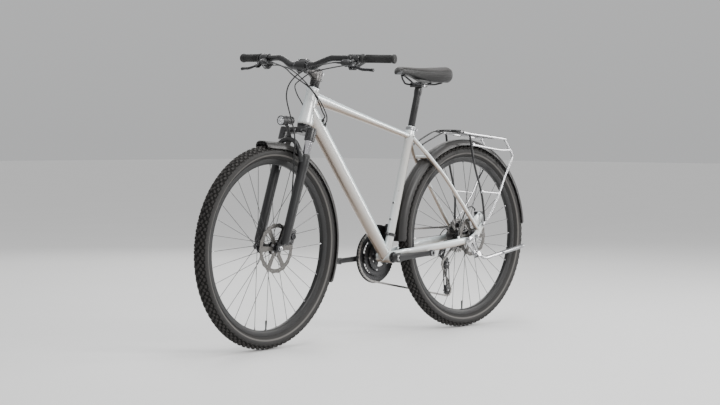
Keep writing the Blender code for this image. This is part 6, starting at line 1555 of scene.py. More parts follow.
# %% Grips
for word, side in SIDES:
    grip = Piece("grip_ribbed_" + word)
    heading, end = bar_heading(side), bar_point(0, side)
    bore, length = BAR_R + 0.0006, GRIP_LENGTH
    grip.turned([(0, 0.0045), (0.0118, 0.0045), (0.0144, 0.0040), (0.0160, 0.0026), (0.0167,
                                                                                     0.0006),
                 (0.0167, -0.0030), (0.0163, -0.0046), (0.0150, -0.0072), (GRIP_R - 0.0008,
                                                                           -0.0100),
                 (GRIP_R - 0.0004, -0.0350), (GRIP_R, -length * 0.5), (GRIP_R - 0.0008, -0.0900),
                 (GRIP_R - 0.0014, -length + 0.0130), (GRIP_R - 0.0010, -length + 0.0105),
                 (GRIP_R + 0.0016, -length + 0.0080), (GRIP_R + 0.0025, -length + 0.0060),
                 (GRIP_R + 0.0025, -length + 0.0014), (GRIP_R + 0.0016, -length + 0.0002),
                 (bore, -length), (bore, GAP), (0, GAP)], end, heading, grip_rubber, 56)
    rib = Piece("rib")
    rib.block((-0.0006, -0.0017, -0.0011), (0.0008, 0.0017, 0.0011), grip_rubber,
              Matrix.Rotation(math.radians(32), 4, "X"), 0.0004, 1)
    ring(grip, rib, grip_rubber, 18, GRIP_R - 0.0004, axis_view(end - heading * 0.0150, -heading),
         rows=24, step=0.0040, twist=10)
    cap_line = Piece("line")
    cap_line.block((0.0050, -0.0005, -0.0003), (0.0110, 0.0005, 0.0004), grip_rubber, None, 0.0002)
    ring(grip, cap_line, grip_rubber, 12, 0.0, axis_view(end + heading * 0.0045, heading))
    grip.done("steering", "black_rubber", ["grip_" + word], turned=True)

# %% [markdown]
# The brake's master cylinder and the shifter share one clamp. The brake lever is forged and
# turns on a pin between two jaws; the shifter hangs under the bar with two thumb paddles.

# %% Controls
TILT = math.radians(42)


def lever_axes(side):
    """Directions at the bar's end: outwards, ahead of the bar and above it."""
    heading = bar_heading(side)
    ahead = Vector((math.cos(TILT), 0, -math.sin(TILT)))
    ahead = (ahead - heading * heading.dot(ahead)).normalized()
    return heading, ahead, heading.cross(ahead) * side * -1


def cylinder_end(side):
    heading, ahead, above = lever_axes(side)
    return bar_point(GRIP_LENGTH, side) - heading * 0.072 + ahead * 0.029 + above * 0.004


def lever_pivot(side):
    return bar_point(GRIP_LENGTH + 0.017, side) + lever_axes(side)[1] * 0.043


def shifter_outlet(side):
    heading, ahead, above = lever_axes(side)
    return bar_point(GRIP_LENGTH, side) - heading * 0.050 + ahead * 0.018 - above * 0.020


for word, side in SIDES:
    control = Piece("control_body_" + word)
    heading, ahead, above = lever_axes(side)
    level = bar_point(GRIP_LENGTH, side)
    for near, far in ((0.0060, 0.0175), (0.0360, 0.0500)):
        control.bush(bar_point(GRIP_LENGTH + far, side), bar_point(GRIP_LENGTH + near, side),
                     BAR_R + 0.0048, BAR_R + 0.0006, satin_black, 48, 0.0012)
    control.bush(bar_point(GRIP_LENGTH + 0.0355, side), bar_point(GRIP_LENGTH + 0.0180, side),
                 BAR_R + 0.0040, BAR_R + 0.0006, matt_black, 48, 0.0008)
    inner = cylinder_end(side)
    control.turned([(0, 0), (0.0046, 0), (0.0050, 0.0008), (0.0050, 0.0030), (0.0078, 0.0042),
                    (0.0090, 0.0070), (0.0098, 0.0120), (0.0100, 0.0300), (0.0094, 0.0390),
                    (0.0078, 0.0430), (0.0050, 0.0440), (0, 0.0440)], inner, heading, satin_black,
                   40)
    control.turned([(0, -0.0001), (0.0036, -0.0001), (0.0040, 0.0004), (0.0040, 0.0034), (0,
                                                                                          0.0034)],
                   inner, heading, zinc, 6)
    box_view = Matrix((heading, ahead, above)).transposed().to_4x4()
    box_view.translation = level
    control.block((-0.0640, 0.0200, 0.0080), (-0.0360, 0.0382, 0.0152), satin_black, box_view,
                  0.0024, 4)
    for u in (-0.0600, -0.0400):
        control.bolt(box_view @ Vector((u, 0.0290, 0.0148)), above, 0.0021, zinc, 0.0012)
    control.tube([level - heading * 0.0290 + ahead * 0.004,
                  level - heading * 0.0335 + ahead * 0.018,
                  level - heading * 0.0370 + ahead * 0.031], [0.0105, 0.0092, 0.0105], satin_black,
                 [0.0098, 0.0082, 0.0095], sides=28, across=heading, power=0.8)
    for low_w, high_w in ((0.0034, 0.0066), (-0.0062, -0.0031)):
        control.block((-0.0340, 0.0270, low_w), (-0.0100, 0.0500, high_w), satin_black, box_view,
                      0.0014, 3)
    pin = lever_pivot(side)
    control.rod(pin - above * 0.0066, pin + above * 0.0070, 0.0022, zinc, 20, 0.0003)
    control.bolt(pin + above * 0.0064, above, 0.0042, zinc, 0.0014)
    control.bolt(pin - above * 0.0060, -above, 0.0042, zinc, 0.0014)
    control.block((-0.0500, -0.0040, -0.0318), (-0.0180, 0.0300, -0.0100), plastic, box_view,
                  0.0050, 4)
    control.block((-0.0460, -0.0010, -0.0112), (-0.0220, 0.0270, -0.0080), matt_black, box_view,
                  0.0016, 3)
    control.block((-0.0400, -0.0060, -0.0120), (-0.0260, 0.0100, -0.0010), plastic, box_view,
                  0.0016, 2)
    window_spot = box_view @ Vector((-0.0340, 0.0300, -0.0180))
    control.turned([(0, 0), (0.0075, 0), (0.0070, 0.0010), (0, 0.0014)], window_spot, ahead, lens,
                   32)
    outlet = shifter_outlet(side)
    control.rod(outlet + heading * 0.0060, outlet, 0.0046, plastic, 24, 0.0006)
    for spot_u in (0.0430, 0.0118):
        spot = bar_point(GRIP_LENGTH + spot_u, side) + ahead * 0.0140 - above * 0.0060
        control.rod(spot - above * 0.0060, spot + above * 0.0080, 0.0042, satin_black, 24, 0.0008)
        control.bolt(spot - above * 0.0058, -above, 0.0030, zinc, 0.0020)
    control.done("steering", "black_paint", ["control_" + word], turned=True)

    lever = Piece("brake_lever_blade_" + word)
    blade = [pin - heading * 0.006, pin + heading * 0.010 + ahead * 0.003,
             pin + heading * 0.035 + ahead * 0.014, pin + heading * 0.062 + ahead * 0.016,
             pin + heading * 0.082 + ahead * 0.018]
    lever.tube(smooth_route(blade, 8),
               smooth_values((0.0060, 0.0060, 0.0052, 0.0052, 0.0062), 8), anodised,
               smooth_values((0.0028, 0.0030, 0.0045, 0.0045, 0.0058), 8), sides=28, across=ahead,
               power=0.8)
    lever.bush(pin - above * 0.0030, pin + above * 0.0033, 0.0066, 0.0023, anodised, 32, 0.0005)
    for share in (0.040, 0.048, 0.056, 0.064, 0.072):
        spot = pin + heading * share + ahead * 0.0205
        lever.rod(spot - above * 0.0030, spot + above * 0.0030, 0.0009, dark_bolt, 10)
    lever.rod(pin + heading * 0.0020 - ahead * 0.0090 - heading * 0.008, pin - heading * 0.0010
              - ahead * 0.0030, 0.0022, zinc, 16, 0.0004)
    lever.done("brake_lever_" + word, "silver_alloy", ["brake_lever_" + word], turned=True)

    paddle = Piece("shift_paddles_" + word)
    root = level - heading * 0.034 + ahead * 0.014 - above * (0.0320 + GAP)
    tip = root + heading * 0.030 - ahead * 0.034
    outline = capsule((0, 0), ((tip - root).dot(heading), (tip - root).dot(ahead)), 0.009, 0.006,
                      12)
    paddle_view = Matrix((heading, ahead, above)).transposed().to_4x4()
    paddle_view.translation = root
    paddle.plate(outline, -0.0030, 0.0, plastic, view=paddle_view, chamfer=0.0007)
    step = (tip - root).normalized()
    for k in range(5):
        place = Matrix((step.cross(above), step, above)).transposed().to_4x4()
        place.translation = tip - step * (0.0030 * k - 0.0020)
        paddle.block((-0.0042, -0.0004, -0.0036), (0.0042, 0.0004, -0.0028), plastic, place, 0.0001,
                     1)
    paddle.bolt(root - above * 0.0028, -above, 0.0046, zinc, 0.0010)
    paddle.done("shift_lever_" + word, "black_plastic", ["shift_lever_" + word], turned=True)

# %% [markdown]
# ## Hoses and cables
#
# Four lines leave the controls. They follow smooth curves through the same points as their
# solids, thin tubes of black jacket with a metal ferrule where each enters its socket.

# %% The lines
HOSE_R, CABLE_R = 0.0025, 0.0022


def straight_out(start, heading, reach=0.026):
    return [start + heading * GAP, start + heading * 0.008, start + heading * reach]


def line(name, points, radius, body, node, turn, ferrules):
    piece = Piece(name)
    route = smooth_route(points, 8)
    piece.tube(route, radius, hose_rubber, sides=16, across=Vector((0.31, 0.57, 0.11)))
    for at_start, length, wide in ferrules:
        spot = route[0] if at_start else route[-1]
        way = (route[3] - route[0] if at_start else route[-4] - route[-1]).normalized()
        piece.bush(spot, spot + way * length, wide, radius - 0.0003, anodised, 24, 0.0004)
    length = sum((b - a).length for a, b in zip(route, route[1:]))
    print(name, "is", round(length, 2), "m long")
    return piece.done(body, "black_rubber", [node], turned=turn)


inside = LEG_SPREAD - 0.0192 - HOSE_R - 0.0012
front = straight_out(cylinder_end(1), -bar_heading(1), 0.030)
front += [steer_point(0.660, 0.125, 0.120), steer_point(0.648, 0.140, 0.085),
          steer_point(0.622, 0.152, 0.060), steer_point(0.604, 0.160, 0.046),
          steer_point(0.574, 0.168, 0.034), steer_point(0.545, 0.164, 0.026),
          steer_point(0.510, 0.150, 0.026), steer_point(0.440, 0.106, 0.038),
          steer_point(0.390, 0.0835, 0.0455),
          steer_point(0.350, 0.0750, 0.0460), steer_point(0.318, 0.0600, 0.0430),
          steer_point(0.280, 0.044, inside), steer_point(0.170, 0.014, inside + 0.001)]
front += reversed(straight_out(STEER_VIEW @ FRONT_BANJO, STEER_UP))
line("front_hose_jacket", front, HOSE_R, "fork_lowers", "front_brake_hose", True,
     ((True, 0.0140, 0.0036), (False, 0.0120, 0.0036)))
port, out = port_end(1, 0)
rear = [steered(p) for p in straight_out(cylinder_end(-1), -bar_heading(-1), 0.030)]
rear += [steered(steer_point(0.655, 0.138, -0.070)), steered(steer_point(0.638, 0.146, -0.022)),
         steered(steer_point(0.612, 0.138, 0.018)), steer_point(0.594, 0.056, 0.043),
         steer_point(0.565, 0.004, 0.043), steer_point(0.535, -0.030, 0.043)]
rear += reversed(straight_out(port + out * PORT_REACH, out, 0.020))
line("rear_hose_jacket", rear, HOSE_R, "bike", "rear_brake_hose", False, ((True, 0.014, 0.0036),))
port, out = port_end(1, 1)
shift = [steered(p) for p in straight_out(shifter_outlet(-1), -bar_heading(-1))]
shift += [steered(steer_point(0.655, 0.128, -0.070)), steered(steer_point(0.640, 0.130, -0.012)),
          steered(steer_point(0.612, 0.098, 0.030)), steer_point(0.584, 0.040, 0.0500),
          steer_point(0.560, -0.006, 0.0510), steer_point(0.530, -0.046, 0.0490)]
shift += reversed(straight_out(port + out * PORT_REACH, out, 0.020))
line("rear_shift_jacket", shift, CABLE_R, "bike", "rear_shift_cable", False,
     ((True, 0.0160, 0.0034),))
port, out = port_end(-1, 0)
shift = [steered(p) for p in straight_out(shifter_outlet(1), -bar_heading(1))]
shift += [steered(steer_point(0.642, 0.100, 0.070)), steered(steer_point(0.616, 0.092, 0.014)),
          steered(steer_point(0.600, 0.072, -0.026)), steer_point(0.582, 0.034, -0.043),
          steer_point(0.560, 0.000, -0.044), steer_point(0.532, -0.034, -0.043)]
shift += reversed(straight_out(port + out * PORT_REACH, out, 0.020))
line("front_shift_jacket", shift, CABLE_R, "bike", "front_shift_cable", False,
     ((True, 0.0160, 0.0034),))

# %% [markdown]
# ## The drivetrain
#
# The chain runs over the large chainring, a cog of the cassette and two small pulleys. Its
# rollers are 12.7 mm apart, and so are the teeth of every wheel that it runs on. Chain links
# come in pairs, a wide outer one and a narrow inner one, and the path tree sets down every
# second one of each.

# %% The chain's path
RING_PITCH_R, RING_Y, GUARD_RING_Y, SPIDER_R = 0.0971, -0.052, -0.0595, 0.0520
COG_PITCH_R, COG_Y, PULLEY_PITCH_R = 0.0346, -0.0485, 0.0225
GUIDE = Vector((0.043, COG_Y, 0.250))
TENSION = Vector((0.036, COG_Y, 0.145))


def belt_path(stations, step=5.0):
    """The chain's closed path round its wheels, each a centre, a radius and a turning sense."""
    leaves = []
    for here, there in zip(stations, stations[1:] + stations[:1]):
        dx, dz = there[0].x - here[0].x, there[0].z - here[0].z
        turn = math.asin((here[2] * here[1] - there[2] * there[1]) / math.hypot(dx, dz))
        leaves.append(math.atan2(dz, dx) - turn)
    path = []
    for i, (centre, radius, sense) in enumerate(stations):
        arrive = leaves[i - 1] + math.pi / 2 * sense
        depart = leaves[i] + math.pi / 2 * sense
        swing = (depart - arrive) % (2 * math.pi)
        if sense > 0:
            swing -= 2 * math.pi
        steps = math.ceil(abs(math.degrees(swing)) / step)
        for k in range(steps + 1):
            angle = arrive + swing * k / steps
            path.append(centre + Vector((radius * math.cos(angle), 0, radius * math.sin(angle))))
    return path


ring_spot = Vector((BRACKET.x, RING_Y, BRACKET.z))
cog_spot = Vector((0, COG_Y, WHEEL_R))
chain_path = belt_path([(ring_spot, RING_PITCH_R, 1), (TENSION, PULLEY_PITCH_R, 1),
                        (GUIDE, PULLEY_PITCH_R, -1), (cog_spot, COG_PITCH_R, 1)])
chain_length = sum((b - a).length for a, b in zip(chain_path, chain_path[1:] + chain_path[:1]))
links = 2 * round(chain_length / 0.0127 / 2)
print("chain", round(chain_length, 3), "m,", links, "links")

# %% Chain links
PITCH = chain_length / links


def link_plates(outer):
    """One link, lying along X and flat in the plane of the chain."""
    piece = Piece("outer_link" if outer else "inner_link")
    end_r, waist = 0.0041, 0.0030
    h = PITCH / 2
    outline = (arc((-h, 0), end_r, 110, 250, 5) + [(0, -waist)]
               + arc((h, 0), end_r, -70, 70, 5) + [(0, waist)])
    near, far = (0.0024, 0.0032) if outer else (0.0013, 0.0021)
    flat = Matrix.Identity(4)
    for sense in (1, -1):
        low, high = sorted((near * sense, far * sense))
        piece.plate(outline, low, high, chain_steel, view=flat)
    if outer:
        for spot in (-h, h):
            piece.rod((spot, 0, -0.0034), (spot, 0, 0.0034), 0.0016, zinc, 8)
    else:
        for spot in (-h, h):
            piece.rod((spot, 0, -0.0013), (spot, 0, 0.0013), 0.0038, cog_steel, 10)
    return piece


chain = Piece("chain_links")
flat_view = wheel_view((0, 0, 0))
side_path = []
for i, point in enumerate(chain_path):
    to_cog = 0.0
    if point.x < 0.06:
        to_cog = 1.0
    elif point.x < BRACKET.x - 0.09:
        to_cog = 1 - (point.x - 0.06) / (BRACKET.x - 0.15)
    side_path.append(Vector((point.x, point.z, RING_Y + (COG_Y - RING_Y) * to_cog)))
for outer, first in ((True, 0), (False, 1)):
    string(chain, link_plates(outer), chain_steel, side_path, links, closed=True, every=2,
           first=first, flat=flat_view)
chain.done("bike", "brushed_steel", ["chain"])


# %% [markdown]
# A sprocket's teeth are one shape repeated: a rounded valley where a roller sits and a worn
# flank up to the tip. The ring tree is not needed here, because the outline of the whole plate
# is drawn at once, tooth by tooth.

# %% Toothed plates
def toothed(middle, teeth, tip=0.0020, root=0.0036, phase=0.0):
    """A sprocket's outline for the chain's pitch."""
    pitch_r = 0.0127 / (2 * math.sin(math.pi / teeth))
    step = 360 / teeth
    outline = []
    for k in range(teeth):
        base = phase + step * k
        for share, lift in ((-0.50, -root), (-0.34, -root * 0.82), (-0.24, -0.0006),
                            (-0.10, tip), (0.10, tip), (0.24, -0.0006), (0.34, -root * 0.82)):
            outline.append(polar(middle, pitch_r + lift, base + step * share))
    return outline


crank_angle = -3.9
middle = (BRACKET.x, BRACKET.z)
rings = Piece("chainrings_and_guard")
large_y, mid_y, small_y = RING_Y, RING_Y + 0.0080, RING_Y + 0.0150
windows = []
for k in range(5):
    angle = 72 * k + crank_angle
    windows += arc(middle, 0.0470, angle - 9, angle + 9, 5)
    windows += arc(middle, 0.0740, angle + 16, angle + 56, 12)
pins = [ring_of_points(polar(middle, 0.0855, 18 * k + 6), 0.0015, 8) for k in range(20)]
rings.plate(toothed(middle, 48, 0.0014, 0.0042), large_y - 0.0010, large_y + 0.0010, ring_steel,
            [windows, *pins])
rings.plate(toothed(middle, 38, 0.0012, 0.0036), mid_y - 0.0009, mid_y + 0.0009, ring_steel,
            [ring_of_points(middle, 0.0465, 60)])
rings.plate(toothed(middle, 28, 0.0012, 0.0036), small_y - 0.0009, small_y + 0.0009, ring_steel,
            [ring_of_points(middle, 0.0380, 60)])
rings.turned([(0.0860, -0.0009), (0.0866, -0.0012), (0.1020, -0.0010), (0.1033, -0.0004),
              (0.1035, 0.0004), (0.1028, 0.0010), (0.0866, 0.0010), (0.0860, 0.0006)],
             Vector((BRACKET.x, GUARD_RING_Y, BRACKET.z)), LEFT, plastic, 120, looped=True)
for k in range(5):
    spot = polar(middle, SPIDER_R, 72 * k + crank_angle)
    rings.rod((spot[0], large_y, spot[1]), (spot[0], small_y + 0.0010, spot[1]), 0.0040, zinc, 20,
              0.0004)
    spot = polar(middle, 0.0880, 72 * k + crank_angle + 36)
    rings.rod((spot[0], GUARD_RING_Y - 0.0016, spot[1]), (spot[0], large_y, spot[1]), 0.0026, zinc,
              14, 0.0004)
rings.done("crankset", "brushed_steel", ["chainring_set"])


# %% Cranks
def crank_view():
    angle = math.radians(crank_angle)
    along = Vector((math.cos(angle), 0, math.sin(angle)))
    across = Vector((-math.sin(angle), 0, math.cos(angle)))
    matrix = Matrix((along, across, LEFT)).transposed().to_4x4()
    matrix.translation = BRACKET
    return matrix


CRANK = crank_view()
CRANK_LENGTH = 0.170


def crank_arm(piece, side, spots, eye_y):
    """A forged arm that narrows towards the pedal's threaded eye."""
    path = smooth_route([CRANK @ Vector(p) for p in spots], 8)
    wide = smooth_values((0.0160, 0.0130, 0.0105, 0.0100), 8)
    tall = smooth_values((0.0075, 0.0070, 0.0062, 0.0058), 8)
    piece.tube(path, wide, satin_black, tall, sides=32, across=CRANK.to_3x3() @ Vector((0, 1, 0)),
               power=0.72)
    eye = CRANK @ Vector((side * CRANK_LENGTH, 0, eye_y))
    outward = LEFT * (1 if eye_y > 0 else -1)
    piece.turned([(0.0071, 0), (0.0122, 0), (0.0130, 0.0008), (0.0130, 0.0122), (0.0122, 0.0130),
                  (0.0078, 0.0130), (0.0071, 0.0122)], eye, outward, satin_black, 48, looped=True)
    piece.turned([(0.0074, 0.0126), (0.0100, 0.0126), (0.0100, 0.0131), (0.0074, 0.0131)], eye,
                 outward, satin_alloy, 40, looped=True)


right = Piece("crank_right_spider")
right.rod(BRACKET - LEFT * 0.062, BRACKET + LEFT * 0.0660, 0.0118, zinc, 40, 0.0008)
right.turned([(0, 0.0440), (0.0178, 0.0440), (0.0185, 0.0450), (0.0185, 0.0740), (0.0172, 0.0758),
              (0.0120, 0.0760), (0.0114, 0.0744), (0, 0.0744)], BRACKET, -LEFT, satin_black, 56)
right.bolt(BRACKET - LEFT * 0.0742, -LEFT, 0.0085, zinc, 0.0014)
crank_arm(right, 1, [(0.0, 0, -0.0690), (0.045, 0, -0.0700), (0.110, 0, -0.0760),
                     (CRANK_LENGTH, 0, -0.0840)], -0.0780)
for k in range(5):
    angle = 72 * k + crank_angle
    outline = capsule(middle, polar(middle, SPIDER_R, angle), 0.0120, 0.0088, 12)
    hole = ring_of_points(polar(middle, SPIDER_R, angle), 0.0046, 20)
    right.plate(outline, RING_Y + 0.0015, RING_Y + 0.0067, satin_black, [hole], chamfer=0.0008)
right.done("crankset", "black_paint", ["crank_right"])
left = Piece("crank_left_arm")
left.turned([(0.0121, 0.0500), (0.0178, 0.0500), (0.0185, 0.0510), (0.0185, 0.0705),
             (0.0176, 0.0718), (0.0128, 0.0720), (0.0121, 0.0712)], BRACKET, LEFT, satin_black, 56,
            looped=True)
left.turned([(0, 0.0662), (0.0118, 0.0662), (0.0118, 0.0706), (0.0106, 0.0716), (0.0058, 0.0716),
             (0.0054, 0.0694), (0, 0.0694)], BRACKET, LEFT, zinc, 40)
crank_arm(left, -1, [(0.0, 0, 0.0650), (-0.045, 0, 0.0680), (-0.110, 0, 0.0750),
                     (-CRANK_LENGTH, 0, 0.0840)], 0.0780)
left.done("crankset", "black_paint", ["crank_left"])
print("cranks are", CRANK_LENGTH, "m long")

# %% Cassette
cassette = Piece("cassette_cogs")
TEETH = (34, 30, 26, 23, 20, 17, 15, 13)
axle_2d = (0.0, WHEEL_R)
for k, teeth in enumerate(TEETH):
    y = COG_Y + 0.0048 * (5 - k)
    cut = [ring_of_points(axle_2d, 0.0163, 40)]
    pitch_r = 0.0127 / (2 * math.sin(math.pi / teeth))
    if pitch_r > 0.050:
        for arm in range(6):
            start = 60 * arm + 8 * k
            cut.append(arc(axle_2d, pitch_r - 0.011, start + 6, start + 46, 8)
                       + arc(axle_2d, 0.030, start + 44, start + 8, 6))
    cassette.plate(toothed(axle_2d, teeth, 0.0011, 0.0036, 4.0 * k), y - 0.0009, y + 0.0009,
                   cog_steel, cut)
    cassette.bush((0, y - 0.0024, WHEEL_R), (0, y + 0.0024, WHEEL_R), 0.0185, 0.0163, anodised, 40,
                  0.0003)
cassette.turned([(0.0105, 0), (0.0168, 0), (0.0176, 0.0004), (0.0176, 0.0012), (0.0160, 0.0016),
                 (0.0122, 0.0016), (0.0120, 0.0004), (0.0105, 0.0004)], (0, -0.0590, WHEEL_R),
                 -LEFT,
                zinc, 48, looped=True)
cassette.done("cassette", "brushed_steel", ["cassette"])

# %% [markdown]
# ## The derailleurs
#
# A derailleur moves the chain sideways from cog to cog. The front one is a cage of two plates
# on a band round the seat tube. The rear one hangs below the axle: a link with two plates
# carries a knuckle, and the knuckle carries a sprung cage with two toothed pulleys.

# %% Front derailleur
band = Piece("front_derailleur_band")
low = BRACKET + SEAT_UP * 0.081
band.bush(low, low + SEAT_UP * 0.012, 0.0200, 0.0165, satin_black, 56, 0.0008)
band.block((0.4010, -0.0280, 0.376), (0.4240, -0.0166, 0.4255), satin_black, None, 0.0022, 4)
band.block((0.3982, -0.0440, 0.4157), (0.4060, -0.0196, 0.4255), zinc, None, 0.0016, 3)
band.bolt((0.4125, -0.0278, 0.3850), -LEFT, 0.0048, zinc, 0.0026)
band.bolt((0.4125, -0.0278, 0.4150), -LEFT, 0.0040, zinc, 0.0022)
ear = BRACKET + SEAT_UP * 0.087 + SEAT_FRONT * 0.0205
band.block(ear - Vector((0.004, 0.006, 0.005)), ear + Vector((0.006, 0.006, 0.005)), satin_black,
           None, 0.0014, 3)
band.bolt(ear + LEFT * 0.0060, LEFT, 0.0036, zinc, 0.0022)
band.done("bike", "brushed_steel", ["front_derailleur_clamp"])
cage = Piece("front_derailleur_plates")
inner_r, outer_r = RING_PITCH_R - 0.0010, RING_PITCH_R + 0.0250
shape = arc(middle, outer_r, 78, 122, 24) + arc(middle, inner_r, 128, 72, 30)
for near, far in ((RING_Y - 0.0054, RING_Y - 0.0041), (RING_Y + 0.0041, RING_Y + 0.0054)):
    cage.plate(shape, near, far, ring_steel, chamfer=0.0004)
cage.block((0.3900, RING_Y - 0.0050, 0.4075), (0.3979, -0.0280, 0.4185), satin_black, None, 0.0016,
           3)
for angle in (74.5, 125.5):
    spot = polar(middle, RING_PITCH_R + 0.0035 if angle < 90 else RING_PITCH_R + 0.0140, angle)
    cage.rod((spot[0], RING_Y - 0.0062, spot[1]), (spot[0], RING_Y + 0.0062, spot[1]), 0.0022, zinc,
             16, 0.0004)
cage.done("front_derailleur", "brushed_steel", ["front_derailleur_cage"])

# %% Rear derailleur
KNUCKLE_TOP, KNUCKLE_LOW = Vector((0.003, -0.0930, 0.3235)), Vector((0.0300, -0.0870, 0.2780))
run = KNUCKLE_LOW - KNUCKLE_TOP
swing = Vector((run.x, 0, run.z)).normalized().cross(LEFT).normalized()
mount = Vector((0, -PLATE_IN - PLATE_THICK - GAP, WHEEL_R - 0.027))
hanger = Piece("rear_derailleur_mount")
hanger.turned([(0, 0), (0.0084, 0), (0.0090, 0.0008), (0.0090, 0.0160), (0.0082, 0.0180),
               (0.0056, 0.0180), (0.0050, 0.0160), (0, 0.0160)], mount, -LEFT, satin_black, 40)
hanger.bolt(mount - LEFT * 0.0160, -LEFT, 0.0048, zinc, 0.0022)
neck_path = [mount - LEFT * 0.0140 - UP * 0.004, (mount - LEFT * 0.0140).lerp(KNUCKLE_TOP, 0.5)
             - UP * 0.001, KNUCKLE_TOP]
hanger.tube(smooth_route(neck_path, 5), smooth_values((0.0062, 0.0052, 0.0050), 5), satin_black,
            sides=24, across=swing)
hanger.rod(KNUCKLE_TOP - swing * 0.0085, KNUCKLE_TOP + swing * 0.0085, 0.0055, satin_black, 32,
           0.0006)
lead = [mount - LEFT * 0.0100 - FORWARD * 0.006, (-0.028, -0.0840, 0.326), (-0.046, -0.0820, 0.340),
        (-0.044, -0.0840, 0.366), (-0.022, -0.0845, 0.386), (0.008, -0.0845, 0.388),
        (0.034, -0.0825, 0.372), (0.052, -0.0802, 0.352)]
loop_path = smooth_route(lead, 8)
hanger.tube(loop_path, CABLE_R, hose_rubber, sides=16, across=Vector((0.2, 0.9, 0.1)))
way = (loop_path[8] - loop_path[0]).normalized()
hanger.rod(loop_path[0], loop_path[0] + way * 0.0130, 0.0040, plastic, 12, 0.0008)
hanger.rod(loop_path[0] + way * 0.0130, loop_path[0] + way * 0.0190, 0.0030, zinc, 20, 0.0004)
hanger.done("bike", "black_paint", ["rear_derailleur_hanger"])
link = Piece("rear_derailleur_link_plates")
drop = run.normalized()
link_view = Matrix((drop, swing.cross(drop), swing)).transposed().to_4x4()
link_view.translation = KNUCKLE_TOP
for side in (1, -1):
    low, high = sorted((side * 0.0090, side * 0.0126))
    link.plate(capsule((0, 0), (run.length, 0), 0.0062, 0.0062, 12), low, high, satin_black,
               view=link_view, chamfer=0.0008)
    for spot in (KNUCKLE_TOP, KNUCKLE_LOW):
        link.bolt(spot + swing * (side * 0.0124), swing * side, 0.0030, zinc, 0.0008, socket=False)
middle_pin = KNUCKLE_TOP.lerp(KNUCKLE_LOW, 0.5)
link.rod(middle_pin - swing * 0.0108, middle_pin + swing * 0.0108, 0.0050, satin_black, 28)
spring_part = Piece("coil")
spring_part.turned([(0.0058, -0.0006), (0.0064, 0), (0.0058, 0.0006), (0.0050, 0.0006),
                    (0.0046, 0), (0.0050, -0.0006)], (0, 0, 0), UP, zinc, 20, looped=True)
ring(link, spring_part, zinc, 1, 0.0, axis_view(middle_pin - swing * 0.0066, swing), rows=8,
     step=0.0019)
link.done("rear_derailleur_link", "black_paint", ["rear_derailleur_link"])
cage_pivot = Vector((0.0300, COG_Y - 0.0083, 0.2680))
knuckle = Piece("rear_derailleur_knuckle_barrel")
knuckle.turned([(0, 0), (0.0102, 0), (0.0105, 0.0006), (0.0105, 0.0140), (0.0094, 0.0166),
                (0.0060, 0.0170), (0.0054, 0.0156), (0, 0.0156)], cage_pivot, -LEFT, satin_black,
                44)
knuckle.bolt(cage_pivot - LEFT * 0.0156, -LEFT, 0.0046, zinc, 0.0018)
knuckle.rod(KNUCKLE_LOW - swing * 0.0085, KNUCKLE_LOW + swing * 0.0085, 0.0055, satin_black, 32,
            0.0006)
knuckle.tube(smooth_route([KNUCKLE_LOW, KNUCKLE_LOW.lerp(cage_pivot - LEFT * 0.0130, 0.5),
                           cage_pivot - LEFT * 0.0110], 5), 0.0050, satin_black, sides=24,
             across=swing)
knuckle.done("rear_derailleur_knuckle", "black_paint", ["rear_derailleur_knuckle"])

# %% Pulley cage and pulleys
pulley_cage = Piece("rear_derailleur_cage_plates")
tension_2d, guide_2d = (TENSION.x, TENSION.z), (GUIDE.x, GUIDE.z)
shape = capsule(tension_2d, guide_2d, 0.0120, 0.0120, 14)
along_cage = (GUIDE - TENSION).normalized()
slot_low, slot_high = TENSION + along_cage * 0.024, GUIDE - along_cage * 0.024
slot = capsule((slot_low.x, slot_low.z), (slot_high.x, slot_high.z), 0.0060, 0.0060, 10)
for near, far in ((0.0056, 0.0070), (-0.0070, -0.0056)):
    pulley_cage.plate(shape, COG_Y + near, COG_Y + far, satin_black, [slot], chamfer=0.0004)
ear = capsule((cage_pivot.x, cage_pivot.z), guide_2d, 0.0100, 0.0105, 12)
pulley_cage.plate(ear, cage_pivot.y + GAP, COG_Y - 0.0060, satin_black, chamfer=0.0003)
for spot in (GUIDE, TENSION):
    pulley_cage.rod(spot - LEFT * 0.0064, spot + LEFT * 0.0064, 0.0032, zinc, 20)
    pulley_cage.bolt(spot - LEFT * 0.0070, -LEFT, 0.0042, zinc, 0.0014)
    pulley_cage.bolt(spot + LEFT * 0.0070, LEFT, 0.0038, zinc, 0.0010)
pulley_cage.done("rear_derailleur_cage", "black_paint", ["rear_derailleur_cage"])
for name, spot in (("guide_pulley", GUIDE), ("tension_pulley", TENSION)):
    wheel = Piece(name + "_toothed")
    spot_2d = (spot.x, spot.z)
    holes = [ring_of_points(spot_2d, 0.0062, 20)]
    holes += [ring_of_points(polar(spot_2d, 0.0112, 72 * k), 0.0022, 10) for k in range(5)]
    wheel.plate(toothed(spot_2d, 11, 0.0008, 0.0040), COG_Y - 0.0010, COG_Y + 0.0010, plastic,
                holes)
    wheel.bush(spot - LEFT * 0.0044, spot + LEFT * 0.0044, 0.0068, 0.0035, cog_steel, 32, 0.0006)
    wheel.turned([(0.0060, -0.0030), (0.0152, -0.0022), (0.0158, 0), (0.0152, 0.0022),
                  (0.0060, 0.0030)], spot, LEFT, plastic, 44, looped=True)
    wheel.done(name, "black_plastic", [name])

# %% [markdown]
# ## Mudguards, rack and stand
#
# A mudguard is a thin strip bent round the wheel. Its section is drawn once: a raised middle
# panel, a soft shoulder and a rolled edge that stiffens it. The section then runs along an arc.
# The rear guard is made of two lengths, and the rear length laps over the front one.

# %% Mudguards
GUARD_HALF, GUARD_THICK = 0.0330, 0.0020
FRONT_GUARD_R = 0.3765


